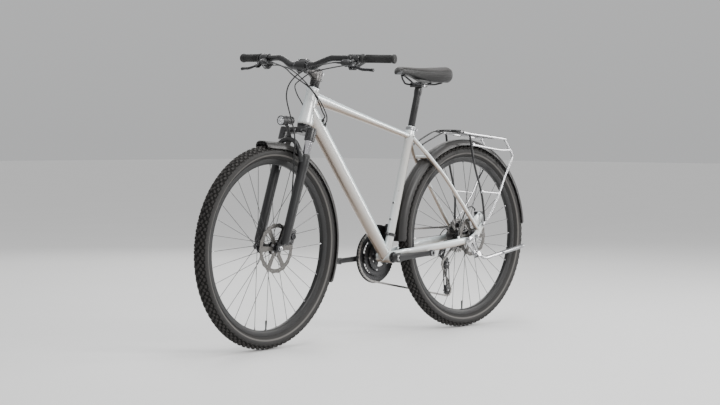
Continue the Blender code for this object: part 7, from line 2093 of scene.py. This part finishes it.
def guard_section(close=0.0):
    """The strip's closed section, as distance to the left and height over the crown."""
    half = GUARD_HALF - close
    side = [(0.0, 0.0), (0.36, -0.0002), (0.405, -0.0004), (0.435, -0.0015), (0.60, -0.0030),
            (0.78, -0.0062), (0.90, -0.0112), (0.965, -0.0170), (1.0, -0.0216)]
    outer = [(-u * half, v) for u, v in reversed(side[1:])] + [(u * half, v) for u, v in side]
    inner = [(y * (half - GUARD_THICK) / half, v - GUARD_THICK * (1.0 if abs(y) < 0.030 else 0.55))
             for y, v in outer]
    curl = [(half, -0.0234), (half - 0.0008, -0.0240), (half - 0.0022, -0.0240),
            (half - 0.0031, -0.0232), (half - 0.0030, -0.0222)]
    return outer + curl + list(reversed(inner)) + [(-y, v) for y, v in reversed(curl)]


def front_guard_radius(turn):
    """The front mudguard's radius; its front end flares up."""
    return FRONT_GUARD_R + 0.0070 * max(0.0, 1 - (math.degrees(turn) - 83) / 10) ** 2


def guard_strip(piece, centre, radius_at, start, end, steps, close=0.0):
    rings = []
    section = guard_section(close)
    for i in range(steps + 1):
        angle = start + (end - start) * i / steps
        from_end = min(angle - start, end - angle)
        turn = math.radians(angle)
        out = Vector((math.cos(turn), 0, math.sin(turn)))
        trim = 0.88 + 0.12 * math.sqrt(min(1.0, from_end / 1.2))
        rings.append([centre + out * (radius_at(turn) + v) + LEFT * (y * trim) for y, v in section])
    piece.skin(rings, guard_plastic)


def guard_bolt(piece, centre, radius, angle, side_y=0.0, inward=True):
    turn = math.radians(angle)
    out = Vector((math.cos(turn), 0, math.sin(turn)))
    spot = centre + out * (radius - (GUARD_THICK if inward else 0.0)) + LEFT * side_y
    piece.bolt(spot, -out if inward else out, 0.0042, zinc, 0.0022)


front_guard = Piece("front_mudguard")
guard_strip(front_guard, FRONT_AXLE, front_guard_radius, 83, 203, 110)
foot = steer_point(LOWER_TOP + ARCH_RISE - 0.0085 - GAP, ARCH_AHEAD)
outward = (foot - FRONT_AXLE).normalized()
crown = FRONT_AXLE + outward * (FRONT_GUARD_R - GUARD_THICK * 0.7)
front_guard.tube([crown, crown.lerp(foot, 0.5), foot], [0.0100, 0.0096, 0.0100], guard_plastic,
                 [0.0060, 0.0056, 0.0060], sides=28, power=0.4)
front_guard.bolt(FRONT_AXLE + outward * (FRONT_GUARD_R - GUARD_THICK), -outward, 0.0050, zinc,
                 0.0024)
front_guard.done("fork_lowers", "black_plastic", ["front_fender"], turned=True)

rear_guard = Piece("rear_mudguard")
LAP_ANGLE = 113.0
guard_strip(rear_guard, REAR_AXLE, lambda turn: rear_guard_radius(turn) - 0.0010, -1, LAP_ANGLE + 3,
            96, close=0.0010)
guard_strip(rear_guard, REAR_AXLE, rear_guard_radius, LAP_ANGLE, 174, 56)
for angle in (3.0, 52.0, LAP_ANGLE + 1.5):
    guard_bolt(rear_guard, REAR_AXLE, rear_guard_radius(math.radians(angle)) - 0.0010, angle)
for side in (-1, 1):
    guard_bolt(rear_guard, REAR_AXLE, rear_guard_radius(math.radians(LAP_ANGLE)) - 0.0034,
               LAP_ANGLE + 1.5, side * 0.0210, inward=False)
rear_guard.done("bike", "black_plastic", ["rear_fender"])
print("mudguards are", round(GUARD_HALF * 2000), "mm wide")

# %% [markdown]
# The rack is bent from round bar. One hoop makes both rear legs and the platform's edge. The
# outer bars are polished and the straps are black. The front legs and the nose of the platform
# are drawn black as painted shade: there the polished rack lies in shade.

# %% Rack
RACK_R, RACK_Y = 0.0050, 0.0620
RACK_EYE = (-0.038, 0.410)
rack_foot_y = REAR_SPACING / 2 + PLATE_THICK + GAP + RACK_R
rack = Piece("rear_rack_bars")
hoop = [(RACK_EYE[0], rack_foot_y, RACK_EYE[1]), (-0.052, rack_foot_y, 0.426),
        (-0.083, 0.077, 0.452), (-0.144, 0.070, 0.527), (-0.178, 0.067, 0.587),
        (-0.208, 0.064, 0.630), (-0.236, RACK_Y, 0.672), (-0.239, RACK_Y, 0.686),
        (-0.232, RACK_Y, 0.700), (-0.208, RACK_Y, 0.728), (-0.190, RACK_Y, 0.749),
        (-0.176, RACK_Y, 0.7545), (0.020, RACK_Y, 0.7725), (0.082, RACK_Y, 0.7815)]
nose = [(0.070, RACK_Y, 0.7797), (0.086, RACK_Y - 0.0006, 0.7822), (0.098, 0.0520, 0.7835),
        (0.102, 0.0300, 0.7843), (0.103, 0.0, 0.7845)]
nose = nose + [mirrored(p, -1) for p in reversed(nose[:-1])]
lift = Vector((0.15, 0.2, 1))
# The nose of the platform is drawn black: painted shade, where the polished rack lies in shade.
rack.tube(smooth_route(nose, 6), RACK_R * 1.14, satin_black, sides=24, across=lift)
stay_end = (Vector((0.2905, 0.0165, 0.7365)).lerp(Vector((0.2590, 0.0330, 0.6990)), 0.45)
            + Vector((-0.72, 0.0, 0.694)) * (0.0085 + GAP))
for word, side in SIDES:
    path = smooth_route([mirrored(p, side) for p in hoop], 6)
    rack.tube(path, RACK_R, polished, sides=24, across=lift)
    near, far = sorted((side * (rack_foot_y - RACK_R), side * (rack_foot_y - RACK_R + 0.0040)))
    eye_hole = ring_of_points(RACK_EYE, 0.0027, 16)
    rack.plate(capsule(RACK_EYE, (-0.052, 0.428), 0.0085, 0.0060, 12), near, far, polished,
               [eye_hole], chamfer=0.0008)
    eye = Vector((RACK_EYE[0], side * (rack_foot_y - RACK_R + 0.0040), RACK_EYE[1]))
    rack.turned([(0, 0), (0.0075, 0), (0.0075, 0.0008), (0.0048, 0.0010), (0.0048, 0.0034),
                 (0.0042, 0.0040), (0.0024, 0.0040), (0.0022, 0.0022), (0, 0.0022)], eye,
                LEFT * side, zinc, 24)
    leg = [(-0.046, rack_foot_y, 0.420), (-0.036, 0.071, 0.530), (0.004, 0.0655, 0.650),
           (0.030, RACK_Y, 0.773)]
    # The front legs are drawn black: painted shade, where the polished rack lies in shade.
    rack.tube(smooth_route([mirrored(p, side) for p in leg], 8), RACK_R * 0.9, satin_black,
              sides=24,
              across=FORWARD)
    rail = [(0.013, RACK_Y + 0.001, 0.7300), (-0.150, RACK_Y + 0.001, 0.7095),
            (-0.222, RACK_Y, 0.7080)]
    rack.tube(smooth_route([mirrored(p, side) for p in rail], 8), RACK_R * 0.9, polished, sides=24)
    strut = [(-0.034, 0.0705, 0.5420), (-0.148, 0.0698, 0.5330)]
    rack.tube([mirrored(p, side) for p in strut], RACK_R * 0.8, polished, sides=20)
    strap = [(0.100, 0.0300, 0.7830), (0.150, 0.0300, 0.7790),
             stay_end + Vector((-0.72, 0.0, 0.694)) * 0.012, stay_end]
    rack.tube(smooth_route([mirrored(p, side) for p in strap], 6), 0.0046, matt_black, 0.0020,
              sides=24, power=0.5)
    spot = mirrored(Vector((0.112, 0.0300, 0.7840)), side)
    rack.bolt(spot, UP, 0.0042, zinc, 0.0026)
    rack.bolt(Vector((0.0862, side * (RACK_Y + 0.0046), 0.7820)), LEFT * side, 0.0036, zinc, 0.0022)
    for spot in ((0.0125, RACK_Y, 0.7302), (-0.0340, 0.0702, 0.5418)):
        joint = mirrored(spot, side)
        rack.turned([(0, 0), (0.0062, 0), (0.0068, 0.0008), (0.0068, 0.0030), (0.0056, 0.0042),
                     (0, 0.0046)], joint + LEFT * (side * 0.0030), LEFT * side, polished, 24)
for x, z in ((0.030, 0.7735), (-0.060, 0.7652), (-0.150, 0.7569)):
    rack.rod((x, -RACK_Y, z), (x, RACK_Y, z), RACK_R * 0.8, polished, 20)
rack.tube([(0.103, 0, 0.7845), (0.04, 0, 0.7771), (-0.05, 0, 0.7680), (-0.150, 0, 0.7569)], 0.0125,
          satin_black, 0.0014, sides=28, power=0.3)
for x, z in ((0.030, 0.7748), (-0.060, 0.7665), (-0.148, 0.7578)):
    rack.bolt((x, 0, z), UP, 0.0036, zinc, 0.0022)
rack.done("bike", "silver_alloy", ["rear_rack"])

# %% Kickstand
STAND_PIVOT = Vector((0.012, 0.0945, 0.2960))
STAND_AXIS = Vector((-0.02, -0.954, -0.299)).normalized()
bracket = Piece("kickstand_bracket_forged")
web = [(0.070, 0.362), (0.048, 0.3660), (0.028, 0.364), (0.010, 0.338), (-0.002, 0.312),
       (-0.0048, 0.298), (-0.004, 0.288), (0.004, 0.2815), (0.014, 0.280), (0.024, 0.289),
       (0.030, 0.300), (0.042, 0.316), (0.060, 0.330), (0.071, 0.342)]
lightening = capsule((0.0340, 0.3360), (0.0180, 0.3130), 0.0055, 0.0045, 10)
bracket.plate(web, 0.0772 + GAP, 0.0832 + GAP, polished, [lightening], chamfer=0.0012)
for u, v in ((0.0560, 0.3480), (0.0350, 0.3545)):
    bracket.bolt((u, 0.0832, v), LEFT, 0.0058, zinc, 0.0036)
bracket.rod(STAND_PIVOT + STAND_AXIS * 0.0160, STAND_PIVOT + STAND_AXIS * 0.0065, 0.0135, polished,
            48, 0.0010)
bracket.rod(STAND_PIVOT + STAND_AXIS * 0.0110, STAND_PIVOT - STAND_AXIS * 0.0088, 0.0040, zinc, 24)
bracket.bolt(STAND_PIVOT - STAND_AXIS * 0.0080, -STAND_AXIS, 0.0052, zinc, 0.0010)
bracket.done("bike", "silver_alloy", ["kickstand_bracket"])
leg = Piece("kickstand_leg_and_sleeve")
leg.turned([(0.0043, -0.0060), (0.0115, -0.0060), (0.0125, -0.0050), (0.0125, 0.0068),
            (0.0113, 0.0078), (0.0090, 0.0080), (0.0086, 0.0074), (0.0043, 0.0074)], STAND_PIVOT,
           -STAND_AXIS, polished, 52, looped=True)
path = [STAND_PIVOT + Vector((-0.008, 0.006, -0.006)), (-0.018, 0.0985, 0.2810),
        (-0.045, 0.0970, 0.2805), (-0.090, 0.0974, 0.2876), (-0.140, 0.0980, 0.2955)]
leg.tube(smooth_route(path, 8), smooth_values((0.0050, 0.0070, 0.0074, 0.0070, 0.0066), 8),
         polished,
         sides=32, across=LEFT)
tube_start, tube_end = Vector((-0.126, 0.0978, 0.2933)), Vector((-0.270, 0.1000, 0.3180))
along = tube_end - tube_start
leg.turned([(0.0067, 0), (0.0076, 0), (0.0080, 0.0006), (0.0080, 0.0120), (0.0077, 0.0124),
            (0.0077, 0.0132), (0.0080, 0.0136), (0.0080, along.length - 0.0180),
            (0.0076, along.length - 0.0172), (0.0076, along.length - 0.0160),
            (0.0080, along.length - 0.0152), (0.0080, along.length - 0.0030),
            (0.0066, along.length - 0.0006), (0.0040, along.length), (0, along.length), (0, 0.02),
            (0.0067, 0.02)], tube_start, along, satin_alloy, 40, looped=False)
clamp = tube_start + along.normalized() * 0.0090 + LEFT * 0.0078
leg.bolt(clamp, LEFT, 0.0030, dark_bolt, 0.0016)
leg.done("kickstand", "silver_alloy", ["kickstand_leg"])
print("stand leg ends at", [round(v, 3) for v in tube_end])

# %% [markdown]
# ## The seat
#
# The saddle is one crowned form. Its rings come from the same width rule as the solid, only
# much finer, with a seam pressed in on each side, a stitched edge and a bare plastic base.

# %% Seatpost and rails
POST_EXPOSED, POST_INSERTED, POST_R = 0.158, 0.150, 0.0136
RAIL_R, RAIL_SPREAD = 0.0035, 0.0220
SADDLE_LENGTH, SADDLE_WIDTH = 0.272, 0.158
post_top, post_foot = seat_point(POST_EXPOSED), seat_point(-POST_INSERTED)
rail_z = post_top.z + 0.0130
post = Piece("seatpost_head")
full = POST_EXPOSED + POST_INSERTED
post.turned([(0.0115, 0), (POST_R - 0.0004, 0), (POST_R, 0.0006), (POST_R, full - 0.034),
             (POST_R + 0.0004, full - 0.030), (POST_R + 0.0018, full - 0.018),
             (POST_R + 0.0020, full - 0.012), (POST_R + 0.0012, full - 0.002),
             (POST_R - 0.0010, full), (0, full), (0, full - 0.04), (0.0115, full - 0.04)],
            post_foot, SEAT_UP, satin_black, 56, looped=False)
flare = [seat_point(POST_EXPOSED - 0.030), seat_point(POST_EXPOSED - 0.016) - FORWARD * 0.0012,
         seat_point(POST_EXPOSED - 0.006) - FORWARD * 0.0042, seat_point(POST_EXPOSED - 0.001)
         - FORWARD * 0.0080]
post.tube(smooth_route(flare, 5), smooth_values((0.0126, 0.0126, 0.0120, 0.0110), 5), satin_black,
          sides=36, across=FORWARD)
half = RAIL_SPREAD + 0.0075
for long, base, crest, round_edge in ((0.020, -0.0115, -0.0004, 0.0028),
                                      (0.018, 0.0004, 0.0075, 0.0024)):
    grooves = []
    for side in (-1, 1):
        start = Vector((post_top.x - 0.06, side * RAIL_SPREAD, rail_z))
        grooves.append(solid("groove", "rod", start, start + FORWARD * 0.12, RAIL_R + GAP,
                             satin_black, 32))
    jaw = solid("jaw", "block", (post_top.x - long, -half, rail_z + base),
                (post_top.x + long, half, rail_z + crest), satin_black, None, round_edge, 4)
    post.take(joined([jaw], grooves, satin_black), satin_black)
for ahead in (-0.0115, 0.0115):
    post.bolt(Vector((post_top.x + ahead, 0, rail_z + 0.0068)), UP, 0.0044, zinc, 0.0030)
for side in (-1, 1):
    post.rod((post_top.x, side * (half - 0.001), rail_z - 0.0058),
             (post_top.x, side * (half + 0.0010), rail_z - 0.0058), 0.0044, zinc, 6, 0.0004)
post.done("seatpost", "black_paint", ["seatpost"])
saddle_x = post_top.x - 0.004
saddle_nose = saddle_x + SADDLE_LENGTH / 2
rails = Piece("saddle_rails_bent")
half_path = [(saddle_x - 0.100, 0.0290, rail_z + 0.0078), (saddle_x - 0.078, 0.0250,
                                                           rail_z + 0.0030),
             (saddle_x - 0.052, RAIL_SPREAD, rail_z), (saddle_x + 0.045, RAIL_SPREAD, rail_z),
             (saddle_x + 0.072, 0.0180, rail_z + 0.0120), (saddle_nose - 0.0420, 0.0080,
                                                           rail_z + 0.0300),
             (saddle_nose - 0.0380, 0.0, rail_z + 0.0304)]
path = [Vector(p) for p in half_path] + [mirrored(p, -1) for p in reversed(half_path[:-1])]
rails.tube(smooth_route(path, 7), RAIL_R, anodised, sides=24, across=UP)
rails.done("saddle", "brushed_steel", ["saddle_rails"])


# %% Saddle
def saddle_half_width(t):
    """Half width at a share t of the way from the nose to the tail."""
    flare = 1.0 / (1.0 + math.exp(-(t - 0.60) * 13.0))
    body = 0.0205 + 0.010 * t + (SADDLE_WIDTH / 2 - 0.0305) * flare
    nose_end = math.sqrt(max(0.0, 1.0 - (1.0 - min(1.0, t / 0.09)) ** 2))
    tail_end = math.sqrt(max(0.0, 1.0 - max(0.0, (t - 0.86) / 0.14) ** 2.4))
    return max(0.004, body * nose_end * tail_end)


def saddle_at(t, angle, sink=0.0):
    """A point of the saddle's skin; the angle goes round its section."""
    top = rail_z + 0.0665 - 0.0030 * math.sin(math.pi * min(1.0, t * 1.25)) + 0.0080 * t**2.2
    top -= 0.0200 * max(0.0, 1 - t / 0.10) ** 2 + 0.0160 * max(0.0, (t - 0.90) / 0.10) ** 2
    sag = min(1.0, max(0.0, (t - 0.12) / 0.62))
    low = rail_z + 0.0345 - 0.0320 * sag * sag * (3 - 2 * sag)
    low += 0.0200 * max(0.0, (t - 0.92) / 0.08) ** 2
    tall = (top - low) / 2
    c, s = math.cos(angle), math.sin(angle)
    across = math.copysign(abs(c) ** 0.75, c)
    up = math.copysign(abs(s) ** (0.80 if s > 0 else 0.55), s)
    pull = 1.0 if s >= 0 else 1.0 - 0.16 * abs(s)
    channel = 1.0 - (abs(c) / 0.45) ** 2 if s > 0 else 0.0
    dip = 0.0030 * max(0.0, channel) * min(1.0, max(0.0, (t - 0.30) / 0.10)) * min(
        1.0, max(0.0, (1.0 - t) / 0.10))
    half_here = saddle_half_width(t)
    shrink = 1.0 - sink / max(0.010, half_here)
    z = (top + low) / 2 + tall * up * (1.0 - sink / max(0.008, tall) * 0.6) - dip
    if s < 0 and abs(c) < 0.70:
        share = min(1.0, (0.70 - abs(c)) / 0.28)
        z += share * share * (3 - 2 * share) * max(0.0, rail_z + 0.0215 - 0.0130 * t**2 - z)
    return Vector((saddle_nose - SADDLE_LENGTH * t, half_here * across * pull * shrink, z))


ROWS, COLUMNS, SEAM = 96, 120, 8
seams = (SEAM, COLUMNS // 2 - SEAM)
rings_of_skin = []
for i in range(ROWS + 1):
    t = 0.45 * (1 - math.cos(math.pi * i / ROWS)) + 0.1 * i / ROWS
    ring = []
    for k in range(COLUMNS):
        sink = 0.0
        if 0.02 < t < 0.985:
            away = min(abs(k - s) for s in seams)
            sink = (0.0013, -0.0004, -0.0003)[away] if away < 3 else 0.0
        ring.append(saddle_at(t, 2 * math.pi * k / COLUMNS, sink))
    rings_of_skin.append(ring)
saddle = Piece("saddle_padded")
skin_faces = saddle.skin(rings_of_skin, vinyl)
base_faces = [face for face in skin_faces if face.normal.z < -0.72]
saddle.use(plastic, base_faces)
grid = [(i, k, skin_faces[i * COLUMNS + k]) for i in range(ROWS) for k in range(COLUMNS)]
share = [0.45 * (1 - math.cos(math.pi * i / ROWS)) + 0.1 * i / ROWS for i in range(ROWS)]
# The top between the seams and the upper half of the tail take the lighter vinyl: painted light.
saddle.use(lit_panel_vinyl,
           [face for i, k, face in grid if seams[0] <= k < seams[1] and share[i] > 0.04])
saddle.use(lit_panel_vinyl, [face for i, k, face in grid if share[i] > 0.945 and k < COLUMNS / 2])
saddle.use(bumper, [face for i, k, face in grid if share[i] < 0.055 and k > COLUMNS / 2])
for k in (SEAM + 1.6, COLUMNS // 2 - SEAM - 1.6):
    row = [saddle_at(0.05 + 0.90 * i / 160, 2 * math.pi * k / COLUMNS, -0.0003) for i in range(161)]
    stitch = Piece("stitch")
    stitch.rod((-0.0011, 0, 0), (0.0011, 0, 0), 0.00034, thread, 6)
    string(saddle, stitch, thread, row, 84)
seat_object = saddle.done("saddle", "black_vinyl", ["saddle"], angle=60)

# %% [markdown]
# ## The headlight
#
# The lamp's barrel is hollow in front. A mirrored bowl sits in it behind a thin clear lens, with
# the small round source in the middle. The light comes from the studio, so it stays off.

# %% Headlight
lamp = steer_point(0.4570, 0.1000)
lamp_back = lamp - FORWARD * 0.032
light = Piece("headlight_barrel")
light.turned([(0, 0.0002), (0.0100, 0.0002), (0.0116, 0.0008), (0.0140, 0.0042), (0.0140, 0.0060),
              (0.0150, 0.0066), (0.0150, 0.0084), (0.0141, 0.0090), (0.0142, 0.0108),
              (0.0153, 0.0114), (0.0153, 0.0132), (0.0144, 0.0138), (0.0145, 0.0156),
              (0.0157, 0.0164), (0.0160, 0.0210), (0.0165, 0.0300), (0.0171, 0.0480),
              (0.0168, 0.0490), (0.0168, 0.0500), (0.0173, 0.0510), (0.0175, 0.0600),
              (0.0175, 0.0650), (0.0168, 0.0660), (0.0158, 0.0660), (0.0154, 0.0648),
              (0.0154, 0.0462), (0, 0.0462)], lamp_back, FORWARD, plastic, 64)
light.turned([(0, 0.0466), (0.0151, 0.0466), (0.0151, 0.0622), (0.0142, 0.0618), (0.0120, 0.0566),
              (0.0085, 0.0520), (0.0048, 0.0494), (0.0030, 0.0488), (0, 0.0486)], lamp_back,
              FORWARD,
             mirror_bowl, 48)
light.turned([(0, 0.0484), (0.0026, 0.0484), (0.0026, 0.0500), (0.0020, 0.0514), (0.0010, 0.0520),
              (0, 0.0521)], lamp_back, FORWARD, lens, 24)
light.turned([(0, 0.0632), (0.0152, 0.0632), (0.0152, 0.0642), (0.0120, 0.0651), (0.0060, 0.0657),
              (0, 0.0659)], lamp_back, FORWARD, lens, 56)
root = steer_point(LOWER_TOP + ARCH_RISE + 0.0085 + GAP, ARCH_AHEAD)
stalk = [root, root + STEER_UP * 0.010 + STEER_FRONT * 0.008,
         lamp_back + FORWARD * 0.030 - UP * 0.012]
light.tube(smooth_route(stalk, 8), smooth_values((0.0090, 0.0080, 0.0060), 8), plastic,
           smooth_values((0.0025, 0.0025, 0.0040), 8), sides=28, power=0.6)
light.rod(lamp_back + FORWARD * 0.030 - UP * 0.0165 - LEFT * 0.0085,
          lamp_back + FORWARD * 0.030 - UP * 0.0165 + LEFT * 0.0085, 0.0040, plastic, 24, 0.0006)
light.bolt(lamp_back + FORWARD * 0.030 - UP * 0.0165 + LEFT * 0.0084, LEFT, 0.0026, zinc, 0.0012)
light.done("fork_lowers", "black_plastic", ["headlight"], turned=True)
print("lamp stands", round(lamp.z, 3), "m over the floor")

# %% [markdown]
# ## The studio
#
# The bike stands on a plain pale floor under large soft lights. A broad light to the camera's
# right shapes the tubes and one above lays a long highlight along them. A tall one beyond the
# bike, also to the right, edges the metal, and a weak one from the far side lifts the dark
# pieces off the ground.

# %% Floor and surroundings
def make_floor_finish():
    material = bpy.data.materials.new("studio_floor")
    material.use_nodes = True
    w = Wiring(material.node_tree)
    shader = w.tree.nodes["Principled BSDF"]
    coords = w.node("ShaderNodeTexCoord").outputs["Object"]
    mottle = w.node("ShaderNodeTexNoise", {"Vector": coords, "Scale": 1.6, "Detail": 4.0})
    grit = w.node("ShaderNodeTexNoise", {"Vector": coords, "Scale": 160.0, "Detail": 2.0})
    tint = w.mix(mottle.outputs["Fac"], (0.76, 0.76, 0.755, 1.0), (0.80, 0.80, 0.80, 1.0))
    w.tree.links.new(tint, shader.inputs["Base Color"])
    shader.inputs["Roughness"].default_value = 0.62
    bump = w.node("ShaderNodeBump", {"Height": grit.outputs["Fac"], "Strength": 0.06,
                                     "Distance": 0.001})
    w.tree.links.new(bump.outputs["Normal"], shader.inputs["Normal"])
    return material


floor_mesh = bpy.data.meshes.new("studio_floor")
reach = 40.0
floor_mesh.from_pydata([(-reach, -reach, -0.0004), (reach, -reach, -0.0004), (reach, reach,
                                                                              -0.0004),
                        (-reach, reach, -0.0004)], [], [(0, 1, 2, 3)])
floor_mesh.materials.append(make_floor_finish())
floor = bpy.data.objects.new("studio_floor", floor_mesh)
bpy.context.scene.collection.objects.link(floor)
world = bpy.data.worlds.new("studio_air")
world.use_nodes = True
w = Wiring(world.node_tree)
heading = w.node("ShaderNodeTexCoord").outputs["Generated"]
rise = w.node("ShaderNodeSeparateXYZ", {0: heading}).outputs["Z"]
rise = w.node("ShaderNodeMapRange", {"Value": rise, "From Min": 0.0, "From Max": 0.7})
air = w.mix(rise.outputs[0], (0.655, 0.66, 0.665, 1.0), (1.0, 1.0, 1.0, 1.0))
sky = w.tree.nodes["Background"]
w.tree.links.new(air, sky.inputs["Color"])
sky.inputs["Strength"].default_value = 0.80
bpy.context.scene.world = world


# %% Lights
def soft_light(name, place, aim, size, power, tint):
    lamp_data = bpy.data.lights.new(name, "AREA")
    lamp_data.shape = "RECTANGLE"
    lamp_data.size, lamp_data.size_y = size
    lamp_data.energy = power
    lamp_data.color = tint
    holder = bpy.data.objects.new(name, lamp_data)
    place, aim = Vector(place), Vector(aim)
    holder.location = place
    holder.rotation_euler = (aim - place).to_track_quat("-Z", "Y").to_euler()
    bpy.context.scene.collection.objects.link(holder)
    return holder


# Name, place, height of the aim, size, power and tint of each light
LIGHTS = (("key_light", (0.2, 4.6, 3.0), 0.55, (2.6, 1.6), 190, (1.0, 0.99, 0.97)),
          ("top_light", (-0.2, 0.2, 3.6), 0.4, (3.6, 0.9), 90, (0.97, 0.985, 1.0)),
          ("side_fill", (-3.8, 2.4, 1.7), 0.7, (1.0, 2.4), 110, (1.0, 0.99, 0.98)),
          ("far_light", (-2.6, -3.6, 2.4), 0.5, (2.6, 1.8), 50, (1.0, 0.99, 0.97)))
lights = [soft_light(name, place, (0.0, 0.0, height), size, power, tint)
          for name, place, height, size, power, tint in LIGHTS]

# %% Camera
SENSOR, FOCAL_PIXELS, PICTURE_WIDTH = 36.0, 1695.3, 720.0
CAMERA_PLACE, CAMERA_ROLL = (4.66408, 4.41054, 0.75715), 0.0029
CAMERA_SIGHT = (-0.72113, -0.69174, -0.03832)
camera_data = bpy.data.cameras.new("studio_camera")
camera_data.sensor_width = SENSOR
camera_data.lens = FOCAL_PIXELS * SENSOR / PICTURE_WIDTH
camera = bpy.data.objects.new("studio_camera", camera_data)
sight = Vector(CAMERA_SIGHT).normalized()
right_hand = sight.cross(UP).normalized()
upward = right_hand.cross(sight)
side_axis = right_hand * math.cos(CAMERA_ROLL) + upward * math.sin(CAMERA_ROLL)
up_axis = upward * math.cos(CAMERA_ROLL) - right_hand * math.sin(CAMERA_ROLL)
turned_view = Matrix((side_axis, up_axis, -sight)).transposed().to_4x4()
turned_view.translation = Vector(CAMERA_PLACE)
camera.matrix_world = turned_view
bpy.context.scene.collection.objects.link(camera)
bpy.context.scene.camera = camera
